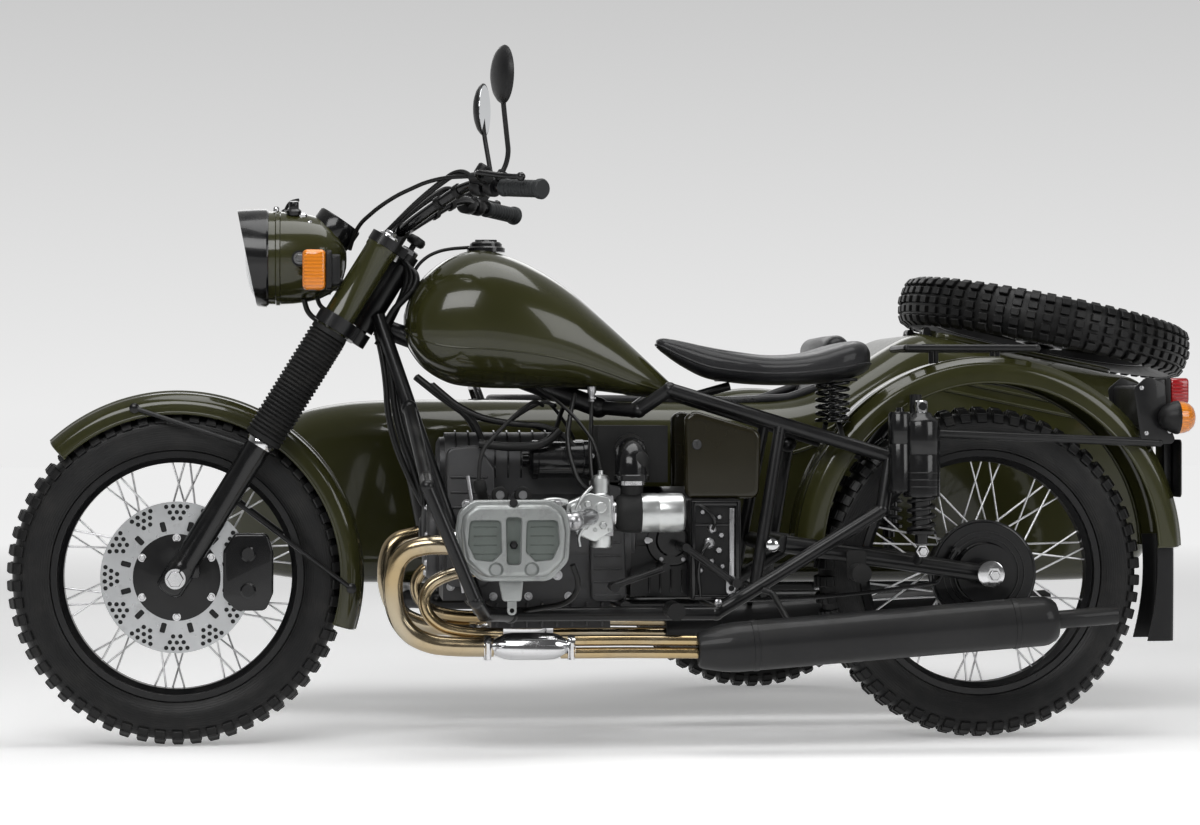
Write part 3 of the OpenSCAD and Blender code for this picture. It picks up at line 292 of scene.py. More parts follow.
def cast(name, colour, roughness=0.5, pit=0.5):
    """Sand-cast alloy: a fine pitted skin with oily dirt in it."""
    s = Shader(name)
    grime = s.noise(22.0, 7, 0.7).band(0.5, 0.72)
    tone = s.mix(s.noise(5.0, 4).band(0.3, 0.7), colour, tuple(c * 0.8 for c in colour))
    tone = s.mix(grime * 0.35, tone, (0.05, 0.045, 0.04))
    s.set(base_color=tone, metallic=0.75 - grime * 0.4, roughness=s.noise(120.0) * 0.2 + grime * 0.15 + (roughness - 0.1))
    s.bump((s.noise(700.0, 3), 0.00025, pit), (s.noise(60.0, 2), 0.0005, 0.15))
    return s.material


def rubber(name, colour=(0.007, 0.007, 0.007), roughness=0.62, dusty=0.5):
    s = Shader(name)
    chalk = s.noise(17.0, 6, 0.65).band(0.45, 0.8) * dusty
    tone = s.mix(chalk * 0.5, colour, (0.035, 0.033, 0.030))
    s.set(base_color=tone, roughness=s.noise(90.0) * 0.16 + chalk * 0.15 + (roughness - 0.08))
    s.principled.inputs["Specular IOR Level"].default_value = 0.3
    s.bump((s.noise(500.0, 3), 0.00025, 0.35),)
    return s.material


def tyre_rubber(name, centre, spare=False):
    """Tyre rubber: dust in the tread, fine rings on the sidewall."""
    s = Shader(name)
    chalk = s.noise(24.0, 6, 0.6).band(0.4, 0.8)
    tone = s.mix(chalk * 0.5, (0.0065, 0.0065, 0.0068), (0.026, 0.025, 0.023))
    s.set(base_color=tone, roughness=s.noise(70.0) * 0.2 + 0.34)
    s.principled.inputs["Specular IOR Level"].default_value = 0.3
    if spare:
        s.bump((s.noise(420.0, 3), 0.0004, 0.4),)
    else:
        away = s.around(centre)
        rings = (away * 1400.0).math("SINE").band(0.5, 1.0) * (away < 0.312)
        s.bump((rings, 0.0006, 0.6), (s.noise(420.0, 3), 0.0004, 0.4))
    return s.material


def leather(name, colour=(0.006, 0.006, 0.0075)):
    """Semi-gloss hide: pebbled grain, creases and rubbed places."""
    s = Shader(name)
    pebbles = s.cells(620.0)
    creases = s.noise(34.0, 5, 0.6)
    rubbed = s.noise(8.0, 4).band(0.5, 0.75)
    tone = s.mix(rubbed * 0.5, colour, (0.018, 0.018, 0.019))
    tone = s.mix(1 - pebbles.band(0.0, 0.09), tone, (0.003, 0.003, 0.0035))
    s.set(base_color=tone, roughness=rubbed * -0.1 + creases * 0.15 + 0.28, coat_weight=0.2)
    s.principled.inputs["Specular IOR Level"].default_value = 0.3
    s.bump((pebbles.band(0.0, 0.2), 0.0004, 0.5), (creases, 0.0016, 0.35))
    return s.material


def lens(name, colour, glow=0.0):
    """A ribbed plastic lens."""
    s = Shader(name)
    ribs = (s.axis(2) * 900.0).math("SINE") * (s.axis(1) * 900.0).math("SINE")
    tone = s.mix(ribs.band(-0.6, 0.8), tuple(c * 0.7 for c in colour), colour)
    s.set(base_color=tone, roughness=s.noise(60.0) * 0.05 + 0.08, coat_weight=0.8)
    s.principled.inputs["IOR"].default_value = 1.49
    if glow:
        s.set(emission_color=tone)
        s.principled.inputs["Emission Strength"].default_value = glow
    s.bump((ribs, 0.0004, 0.5),)
    return s.material


def lamp_glass(name):
    """The headlamp's fluted glass over its bright bowl."""
    s = Shader(name)
    flutes = (s.axis(1) * 520.0).math("SINE")
    soft = s.noise(18.0, 2)
    tone = s.mix(flutes.band(-0.9, 0.9) * 0.5 + soft * 0.3, (0.42, 0.45, 0.46), (0.86, 0.89, 0.9))
    s.set(base_color=tone, roughness=soft * 0.06 + 0.06, metallic=flutes * 0.1 + 0.35, coat_weight=1.0)
    s.bump((flutes, 0.0008, 0.5),)
    return s.material


def mirror_glass(name):
    s = Shader(name)
    smear = s.noise(12.0, 4)
    s.set(base_color=s.mix(smear, (0.72, 0.74, 0.76), (0.8, 0.82, 0.84)), metallic=1.0, roughness=smear * 0.04 + 0.01)
    return s.material


def wheel_metal(name, centre, hub_r):
    """Dark cast hub inside, bright plated spokes outside."""
    s = Shader(name)
    out = s.around(centre).band(hub_r, hub_r + 0.002)
    speck = s.noise(80.0, 4)
    tone = s.mix(out, s.mix(speck, (0.12, 0.12, 0.125), (0.2, 0.2, 0.2)), s.mix(speck, (0.62, 0.62, 0.63), (0.75, 0.75, 0.76)))
    s.set(base_color=tone, metallic=1.0, roughness=0.45 - out * 0.2 + speck * 0.1)
    return s.material


MATERIALS = {}


def finish_of(name):
    return MATERIALS[name]


# ---- Modelling steps --------------------------------------------------------


def clear_selection():
    if bpy.context.mode != "OBJECT":
        bpy.ops.object.mode_set(mode="OBJECT")
    bpy.ops.object.select_all(action="DESELECT")


def pick(*objects):
    clear_selection()
    for o in objects:
        o.select_set(True)
    bpy.context.view_layer.objects.active = objects[0]


def apply_modifier(o, kind, **settings):
    pick(o)
    made = o.modifiers.new(kind.title(), kind)
    for key, value in settings.items():
        setattr(made, key, value)
    bpy.ops.object.modifier_apply(modifier=made.name)
    return o


def tidy_skin(o, gap=0.00002, inside=False):
    pick(o)
    bpy.ops.object.mode_set(mode="EDIT")
    bpy.ops.mesh.select_all(action="SELECT")
    bpy.ops.mesh.remove_doubles(threshold=gap)
    bpy.ops.mesh.normals_make_consistent(inside=inside)
    bpy.ops.object.mode_set(mode="OBJECT")
    return o


def named(name):
    o = bpy.context.object
    o.name = name
    o.data.name = name
    return o


def turned_to(direction, at, ahead=None):
    """A matrix that puts z along direction, x near ahead and the origin at a place."""
    z = Vector(direction).normalized()
    x = Vector(ahead) if ahead else (Vector((1, 0, 0)) if abs(z.x) < 0.9 else Vector((0, 1, 0)))
    x = (x - x.dot(z) * z).normalized()
    y = z.cross(x)
    m = Matrix((x, y, z)).transposed().to_4x4()
    m.translation = at
    return m


def lathe(name, profile, at, direction=(0, 0, 1), steps=64, closed=False, sweep=2 * math.pi):
    """Spins a profile of (radius, height) points round a line through a place."""
    clear_selection()
    bpy.ops.mesh.primitive_circle_add(vertices=len(profile), fill_type="NOTHING")
    o = named(name)
    for v, (r, z) in zip(o.data.vertices, profile):
        v.co = (r, 0, z)
    bpy.ops.object.mode_set(mode="EDIT")
    if not closed:
        bpy.ops.mesh.select_mode(type="EDGE")
        bpy.ops.mesh.select_all(action="DESELECT")
        bpy.ops.object.mode_set(mode="OBJECT")
        for e in o.data.edges:
            e.select = set(e.vertices) == {0, len(profile) - 1}
        bpy.ops.object.mode_set(mode="EDIT")
        bpy.ops.mesh.delete(type="EDGE")
        bpy.ops.mesh.select_mode(type="VERT")
    bpy.ops.mesh.select_all(action="SELECT")
    bpy.ops.mesh.spin(steps=steps, angle=sweep, center=(0, 0, 0), axis=(0, 0, 1))
    bpy.ops.object.mode_set(mode="OBJECT")
    tidy_skin(o)
    o.data.transform(turned_to(direction, at))
    return o


def rounded_path(points, bend):
    """Bezier points (place, left handle, right handle) with each corner rounded."""
    made = [(points[0], points[0], points[0])]
    for before, corner, after in zip(points, points[1:], points[2:]):
        back, on = before - corner, after - corner
        cut = min(bend, back.length * 0.48, on.length * 0.48)
        a = corner + back.normalized() * cut
        b = corner + on.normalized() * cut
        made.append((a, a, a.lerp(corner, 0.56)))
        made.append((b, b.lerp(corner, 0.56), b))
    made.append((points[-1], points[-1], points[-1]))
    return made


def tube(name, points, radius, bend=0.05, around=8, along=6, caps=True):
    """A bent tube through some places."""
    clear_selection()
    bpy.ops.curve.primitive_bezier_curve_add()
    o = named(name)
    curve = o.data
    spline = curve.splines[0]
    path = rounded_path([Vector(p) for p in points], bend)
    spline.bezier_points.add(len(path) - 2)
    for point, (place, left, right) in zip(spline.bezier_points, path):
        point.handle_left_type = point.handle_right_type = "FREE"
        point.co, point.handle_left, point.handle_right = place, left, right
    spline.resolution_u = along
    curve.dimensions = "3D"
    curve.bevel_depth = radius
    curve.bevel_resolution = around // 2
    curve.use_fill_caps = caps
    curve.twist_mode = "MINIMUM"
    bpy.ops.object.convert(target="MESH")
    return tidy_skin(named(name), 0.00001)


def loop_tube(name, points, radius, around=8):
    """A closed ring of tube through many places."""
    clear_selection()
    bpy.ops.curve.primitive_bezier_circle_add()
    o = named(name)
    curve = o.data
    spline = curve.splines[0]
    spline.bezier_points.add(len(points) - 4)
    for point, place in zip(spline.bezier_points, points):
        point.handle_left_type = point.handle_right_type = "AUTO"
        point.co = place
    spline.resolution_u = 2
    curve.dimensions = "3D"
    curve.bevel_depth = radius
    curve.bevel_resolution = around // 2
    bpy.ops.object.convert(target="MESH")
    return tidy_skin(named(name), 0.00001)


def shaped_grid(name, across, along, place, inside=False):
    """A grid primitive whose points move to place(u, v), with u and v from 0 to 1."""
    clear_selection()
    bpy.ops.mesh.primitive_grid_add(x_subdivisions=across, y_subdivisions=along, size=2)
    o = named(name)
    for v in o.data.vertices:
        v.co = place((v.co.x + 1) / 2, (v.co.y + 1) / 2)
    return tidy_skin(o, inside=inside)


def block(name, low, high, bevel=0.003, segments=3):
    """A box between two corners with rounded edges."""
    clear_selection()
    bpy.ops.mesh.primitive_cube_add(size=1)
    o = named(name)
    low, high = Vector(low), Vector(high)
    for v in o.data.vertices:
        v.co = Vector(low[i] + (v.co[i] + 0.5) * (high[i] - low[i]) for i in range(3))
    if bevel:
        apply_modifier(o, "BEVEL", width=bevel, segments=segments)
    return o


def slab(name, outline, depth, matrix, bevel=0.003, segments=3):
    """An outline in x and y, raised along z and placed by a matrix, with rounded edges."""
    clear_selection()
    bpy.ops.mesh.primitive_circle_add(vertices=len(outline), fill_type="NGON")
    o = named(name)
    for v, (x, y) in zip(o.data.vertices, outline):
        v.co = (x, y, 0)
    bpy.ops.object.mode_set(mode="EDIT")
    bpy.ops.mesh.select_all(action="SELECT")
    bpy.ops.mesh.extrude_region_move(TRANSFORM_OT_translate={"value": (0, 0, depth)})
    bpy.ops.mesh.select_all(action="SELECT")
    bpy.ops.mesh.normals_make_consistent(inside=False)
    bpy.ops.object.mode_set(mode="OBJECT")
    if bevel:
        apply_modifier(o, "BEVEL", width=bevel, segments=segments, limit_method="ANGLE", angle_limit=0.6)
    o.data.transform(matrix)
    return o


def round_outline(w, h, corner, steps=6, cx=0.0, cy=0.0):
    """Points of a rectangle with round corners."""
    points = []
    for sx, sy, start in ((1, 1, 0), (-1, 1, 90), (-1, -1, 180), (1, -1, 270)):
        for k in range(steps + 1):
            t = math.radians(start + 90 * k / steps)
            points.append((cx + sx * (w / 2 - corner) + corner * math.cos(t), cy + sy * (h / 2 - corner) + corner * math.sin(t)))
    return points


def copy_of(o, name, matrix):
    """A copy with its own mesh, moved by a matrix."""
    made = o.copy()
    made.data = o.data.copy()
    made.name = made.data.name = name
    bpy.context.scene.collection.objects.link(made)
    made.data.transform(matrix)
    if matrix.determinant() < 0:
        made.data.flip_normals()
    return made


def mirrored(o, name):
    """A copy on the other side of the motorcycle's middle plane."""
    flip = Matrix.Translation((0, REAR.y, 0)) @ Matrix.Scale(-1, 4, (0, 1, 0)) @ Matrix.Translation((0, -REAR.y, 0))
    return copy_of(o, name, flip)


def joined(name, *objects):
    pick(*objects)
    bpy.ops.object.join()
    return named(name)


def cut(o, *cutters):
    """Takes cutters away from a piece."""
    for c in cutters:
        pick(o)
        made = o.modifiers.new("Cut", "BOOLEAN")
        made.operation = "DIFFERENCE"
        made.solver = "EXACT"
        made.object = c
        bpy.ops.object.modifier_apply(modifier=made.name)
        bpy.data.objects.remove(c)
    return o


def bolts(name, places, direction, radius=0.007, height=0.006, sides=6):
    """Hex heads on washers, all along one direction."""
    made = []
    for i, at in enumerate(places):
        head = lathe(f"{name}_{i}", [(0, height), (radius * 0.82, height), (radius, height * 0.75), (radius, 0.0012), (0, 0.0012)], at, direction, sides)
        ring = lathe(f"{name}_w{i}", [(0, 0.0015), (radius * 1.35, 0.0015), (radius * 1.4, 0), (0, -0.001)], at, direction, 20)
        made += [head, ring]
    return joined(name, *made)


def done(o, body, finish, slot, *replaced, smooth=38):
    """Gives a piece its finish, its body and what it stands for."""
    o.data.materials.clear()
    o.data.materials.append(finish_of(finish))
    pick(o)
    bpy.ops.object.shade_smooth_by_angle(angle=math.radians(smooth))
    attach(o, body)
    if replaced:
        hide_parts(*replaced)
    return o


def catmull(rows, t):
    """A smooth row between rows of numbers, with t from 0 to 1."""
    x = t * (len(rows) - 1)
    i = min(int(x), len(rows) - 2)
    f = x - i
    p0, p1, p2, p3 = (rows[max(0, min(len(rows) - 1, i + k))] for k in (-1, 0, 1, 2))
    return [
        b + 0.5 * f * (c - a + f * (2 * a - 5 * b + 4 * c - d + f * (3 * (b - c) + d - a)))
        for a, b, c, d in zip(p0, p1, p2, p3)
    ]


def signed_power(value, power):
    return math.copysign(abs(value) ** power, value)


# ---- Sizes and colours a user would change ----------------------------------


class OutfitPaint(bpy.types.PropertyGroup):
    body: bpy.props.FloatVectorProperty(
        name="Body", description="Colour of tank, fenders and sidecar", subtype="COLOR", size=3, default=(0.031, 0.0315, 0.0085)
    )
    amber: bpy.props.FloatVectorProperty(
        name="Indicators", description="Colour of the indicator lenses", subtype="COLOR", size=3, default=(0.90, 0.27, 0.015)
    )
    pipe: bpy.props.FloatVectorProperty(
        name="Pipes", description="Colour of the heated exhaust pipes", subtype="COLOR", size=3, default=(0.46, 0.345, 0.185)
    )


class OutfitTyres(bpy.types.PropertyGroup):
    pitches: bpy.props.IntProperty(name="Pitches", description="Tread blocks in one turn of a row", default=58, min=30, max=80)
    knob: bpy.props.FloatProperty(name="Knob", description="Height of a tread block", default=0.011, unit="LENGTH")


class OutfitFork(bpy.types.PropertyGroup):
    gaiter_low: bpy.props.FloatProperty(name="Gaiter foot", description="Height of the gaiters' lower end", default=0.3195, unit="LENGTH")
    gaiter_top: bpy.props.FloatProperty(name="Gaiter top", description="Height of the gaiters' upper end", default=0.575, unit="LENGTH")
    cover_top: bpy.props.FloatProperty(name="Cover top", description="Height of the upper covers", default=0.7695, unit="LENGTH")
    ribs: bpy.props.IntProperty(name="Ribs", description="Folds in a gaiter", default=27, min=8, max=40)


class OutfitFenders(bpy.types.PropertyGroup):
    sheet: bpy.props.FloatProperty(name="Sheet", description="Thickness of the fenders' sheet", default=0.0024, unit="LENGTH")
    bead: bpy.props.FloatProperty(name="Bead", description="Radius of the rolled edge", default=0.0045, unit="LENGTH")


class OutfitBars(bpy.types.PropertyGroup):
    radius: bpy.props.FloatProperty(name="Bar", description="Radius of the handlebar", default=0.011, unit="LENGTH")
    grip: bpy.props.FloatProperty(name="Grip", description="Radius of the grips", default=0.0168, unit="LENGTH")


class OutfitSidecar(bpy.types.PropertyGroup):
    wall: bpy.props.FloatProperty(name="Wall", description="Thickness of the body's wall", default=0.0075, unit="LENGTH")
    roll: bpy.props.FloatProperty(name="Roll", description="Radius of the roll round the cockpit", default=0.011, unit="LENGTH")


# ---- Pieces -----------------------------------------------------------------


class OUTFIT_OT_finishes(bpy.types.Operator):
    """Makes every paint, metal, rubber and lens"""

    bl_idname = "outfit.finishes"
    bl_label = "Finishes"

    def execute(self, context):
        colours = context.scene.outfit_paint
        MATERIALS.update(
            olive=paint("olive_enamel", tuple(colours.body)),
            black=black_paint("black_enamel"),
            black_gloss=black_paint("black_gloss", 0.2, 0.3),
            matt=black_paint("matt_black", 0.5),
            # Painted shade: the body olive darkened and browned for the side covers, standing in for the dark
            # surroundings they reflect.
            cover=paint("shaded_olive_enamel", tuple(c * k for c, k in zip(colours.body, (0.42, 0.34, 0.38))), 0.25, 0.35),
            alloy=cast("bright_casting", (0.36, 0.375, 0.37), 0.40),
            dark_alloy=cast("dark_casting", (0.03, 0.03, 0.032), 0.5),
            grey_alloy=cast("grey_casting", (0.075, 0.075, 0.077), 0.45),
            panel_alloy=cast("panel_casting", (0.15, 0.17, 0.158), 0.5),
            chrome=metal("plating", (0.70, 0.70, 0.71), 0.12, 0.05, 60, 0.15),
            steel=metal("machined_steel", (0.46, 0.46, 0.47), 0.3, 0.1, 120, 0.35),
            satin=metal("satin_alloy", (0.60, 0.615, 0.61), 0.34, 0.1),
            bright=metal("disc_steel", (0.58, 0.59, 0.60), 0.3, 0.08),
            pipe=metal("heated_pipe", tuple(colours.pipe), 0.2, 0.06, 60, 0.12, (0.46, 0.41, 0.32)),
            rubber=rubber("black_rubber"),
            grip=rubber("grip_rubber", (0.022, 0.024, 0.025), 0.5, 0.3),
            plastic=rubber("black_plastic", (0.007, 0.007, 0.0075), 0.42, 0.25),
            leather=leather("seat_hide"),
            amber=lens("amber_lens", tuple(colours.amber)),
            red=lens("red_lens", (0.42, 0.008, 0.012)),
            lamp=lamp_glass("lamp_glass"),
            mirror=mirror_glass("mirror_glass"),
            cable=rubber("cable_sheath", (0.006, 0.006, 0.006), 0.4, 0.1),
        )
        for name, centre in (("front", FRONT), ("rear", REAR), ("sidecar", SIDE)):
            MATERIALS[f"{name}_tyre"] = tyre_rubber(f"{name}_tyre_rubber", centre)
            MATERIALS[f"{name}_spokes"] = wheel_metal(f"{name}_spoke_metal", centre, 0.064)
        MATERIALS["spare_tyre"] = tyre_rubber("spare_tyre_rubber", SPARE, True)
        kept = {
            "black": (
                "frame", "gearbox", "saddle_frame", "swing_arm", "rear_brake", "foot_controls", "sidecar_frame",
                "sidecar_arm", "trunk_hinge", "fork_clamps", "front_rim", "rear_rim", "sidecar_rim", "spare_rim",
                "rear_rack", "engine_guard", "tail_bracket",
            ),
            "grey_alloy": ("engine_case", "cylinders"),
            "dark_alloy": ("final_drive", "brake_caliper"),
            "rubber": ("air_box",),
            "plastic": ("battery_boxes",),
            "steel": ("spare_hub", "carburettors", "intake_canisters", "brake_disc"),
            "olive": ("trunk_lid",),
        }
        for finish, nodes in kept.items():
            for node in nodes:
                self.coat(frame["nodes"][node], MATERIALS[finish])
        for name in ("front", "rear", "sidecar"):
            self.coat(frame["nodes"][f"{name}_hub"], MATERIALS[f"{name}_spokes"])
        return {"FINISHED"}

    def coat(self, node, material):
        node.data.materials.clear()
        node.data.materials.append(material)


class OUTFIT_OT_tyres(bpy.types.Operator):
    """Builds one knobbly tyre and fits it to the four wheels"""

    bl_idname = "outfit.tyres"
    bl_label = "Tyres"

    def execute(self, context):
        values = context.scene.outfit_tyres
        top = WHEEL_R
        base = top - values.knob
        half = [
            (0.2415, 0.0325), (0.2505, 0.0328), (0.2515, 0.0400), (0.262, 0.0470), (0.275, 0.0512), (0.290, 0.0532),
            (0.301, 0.0528), (0.310, 0.0496), (0.3165, 0.0435), (0.3222, 0.034), (base - 0.001, 0.020), (base, 0.0),
        ]
        ring = half + [(r, -y) for r, y in half[-2::-1]] + [(r - 0.012 if r > 0.25 else r, -y * 0.72) for r, y in half[:-1:2]]
        ring += [(base - 0.012, 0.0)] + [(r - 0.012 if r > 0.25 else r, y * 0.72) for r, y in half[-3::-2]]
        shell = lathe("tyre_shell", ring, (0, 0, 0), (0, 0, 1), 96, closed=True)
        rows = ((0.0, base, 0.0), (0.0205, base - 0.0037, 8), (0.0382, base - 0.0088, 30), (0.0474, 0.3118, 62))
        knobs = []
        for offset, reach, tilt in rows:
            for side in (1, -1) if offset else (1,):
                width = 0.0155 if tilt < 40 else 0.016
                length = 0.0104 if offset else 0.0096
                knob = block("knob", (-length, -width / 2, -0.004), (length, width / 2, values.knob if tilt < 40 else 0.0065), 0.0013, 1)
                lean = Matrix.Rotation(math.radians(-side * tilt), 4, "X")
                knob.data.transform(Matrix.Translation((0, side * offset, reach)) @ lean)
                for k in range(values.pitches):
                    turn = Matrix.Rotation(2 * math.pi * k / values.pitches, 4, "Y")
                    knobs.append(copy_of(knob, f"knob_{len(knobs)}", turn))
                bpy.data.objects.remove(knob)
        shell.data.transform(Matrix.Rotation(math.pi / 2, 4, "X"))
        tyre = joined("tyre_pattern", shell, *knobs)
        places = {
            "front": (Matrix.Translation(FRONT), "front_wheel"),
            "rear": (Matrix.Translation(REAR), "rear_wheel"),
            "sidecar": (Matrix.Translation(SIDE), "sidecar_wheel"),
            "spare": (turned_to((0, 1, 0), (0, 0, 0)), "trunk_lid"),
        }
        lie = turned_to(DECK_UP, SPARE, DECK_AHEAD) @ Matrix.Rotation(math.pi / 2, 4, "X")
        places["spare"] = (lie, "trunk_lid")
        for name, (matrix, body) in places.items():
            piece = copy_of(tyre, f"{name}_knobbly_tyre", matrix)
            done(piece, body, f"{name}_tyre", "tyre_rubber", f"{name}_tyre", smooth=30)
        bpy.data.objects.remove(tyre)
        return {"FINISHED"}


class OUTFIT_OT_brake(bpy.types.Operator):
    """Builds the drilled front disc, the caliper, the disc's carrier and its bolts"""

    bl_idname = "outfit.brake"
    bl_label = "Front brake"

    def execute(self, context):
        low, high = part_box("brake_disc")
        at = Vector((FRONT.x, low.y, FRONT.z))
        thick = high.y - low.y
        disc = lathe("drilled_disc", [(0.086, 0.0002), (0.150, 0.0002), (0.150, thick), (0.086, thick)], at, (0, 1, 0), 96, closed=True)
        holes = []
        for cluster in range(12):
            middle = 2 * math.pi * cluster / 12
            for reach, turns in ((0.141, (-8.5, -3, 3, 8.5)), (0.129, (-6, 0, 6)), (0.117, (-3.5, 3.5))):
                for turn in turns:
                    t = middle + math.radians(turn)
                    hole = lathe("hole", [(0, -0.01), (0.0046, -0.01), (0.0046, 0.02), (0, 0.02)], at + Vector((reach * math.cos(t), 0, reach * math.sin(t))), (0, 1, 0), 10)
                    holes.append(hole)
            t = middle + math.pi / 12
            window = slab("window", round_outline(0.020, 0.011, 0.003, 3), 0.03, Matrix.Translation(at + Vector((0, 0.012, 0))) @ Matrix.Rotation(-t, 4, "Y") @ Matrix.Translation((0.103, 0, 0)) @ Matrix.Rotation(math.pi / 2, 4, "X"), 0)
            holes.append(window)
        cut(disc, joined("holes", *holes))
        done(disc, "front_wheel", "bright", "bright_steel", "brake_disc")
        # Painted shade: a black ring just behind the disc, so the holes and windows look dark instead of showing the
        # pale floor through them.
        hole_shade = lathe("disc_core", [(0.088, -0.003), (0.147, -0.003), (0.147, -0.0005), (0.088, -0.0005)], at, (0, 1, 0), 72, closed=True)
        done(hole_shade, "front_wheel", "black", "black_paint")
        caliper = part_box("brake_caliper")
        centre = (caliper[0] + caliper[1]) / 2
        size = caliper[1] - caliper[0]
        m = turned_to((0, 1, 0), Vector((centre.x, caliper[0].y + 0.001, centre.z)), (0, 0, 1))
        shape = rounded_polygon([(0.040, -0.020), (0.040, 0.014), (0.022, 0.026), (-0.026, 0.026), (-0.040, 0.012), (-0.040, -0.018), (-0.022, -0.026), (0.020, -0.026)], 0.007, 4)
        shape = [(u * size.z / 0.086, w * size.x / 0.060) for u, w in shape]
        body = slab("caliper", shape, size.y - 0.012, m, 0.005, 3)
        pots = [lathe(f"pot_{k}", [(0, 0), (0.0155, 0), (0.0155, 0.006), (0.012, 0.0095), (0, 0.0095)], m @ Vector((k * 0.019 * size.z / 0.086, 0, size.y - 0.0125)), (0, 1, 0), 28) for k in (-1, 1)]
        done(joined("two_pot_caliper", body, *pots), "steering", "black_gloss", "black_paint", "brake_caliper")
        spider = lathe("disc_carrier", [(0.012, 0.0004), (0.0855, 0.0004), (0.0865, thick - 0.0004), (0.072, thick + 0.002), (0.05, thick + 0.002), (0.04, thick + 0.006), (0.012, thick + 0.006)], at, (0, 1, 0), 64, closed=True)
        done(spider, "front_wheel", "black", "black_paint")
        face = at.y + thick + 0.002
        places = [Vector((FRONT.x + 0.078 * math.cos(t), face - 0.0015, FRONT.z + 0.078 * math.sin(t))) for t in (math.radians(30 + 60 * k) for k in range(6))]
        done(bolts("disc_bolts", places, (0, 1, 0), 0.006, 0.004), "front_wheel", "chrome", "bright_steel")
        return {"FINISHED"}


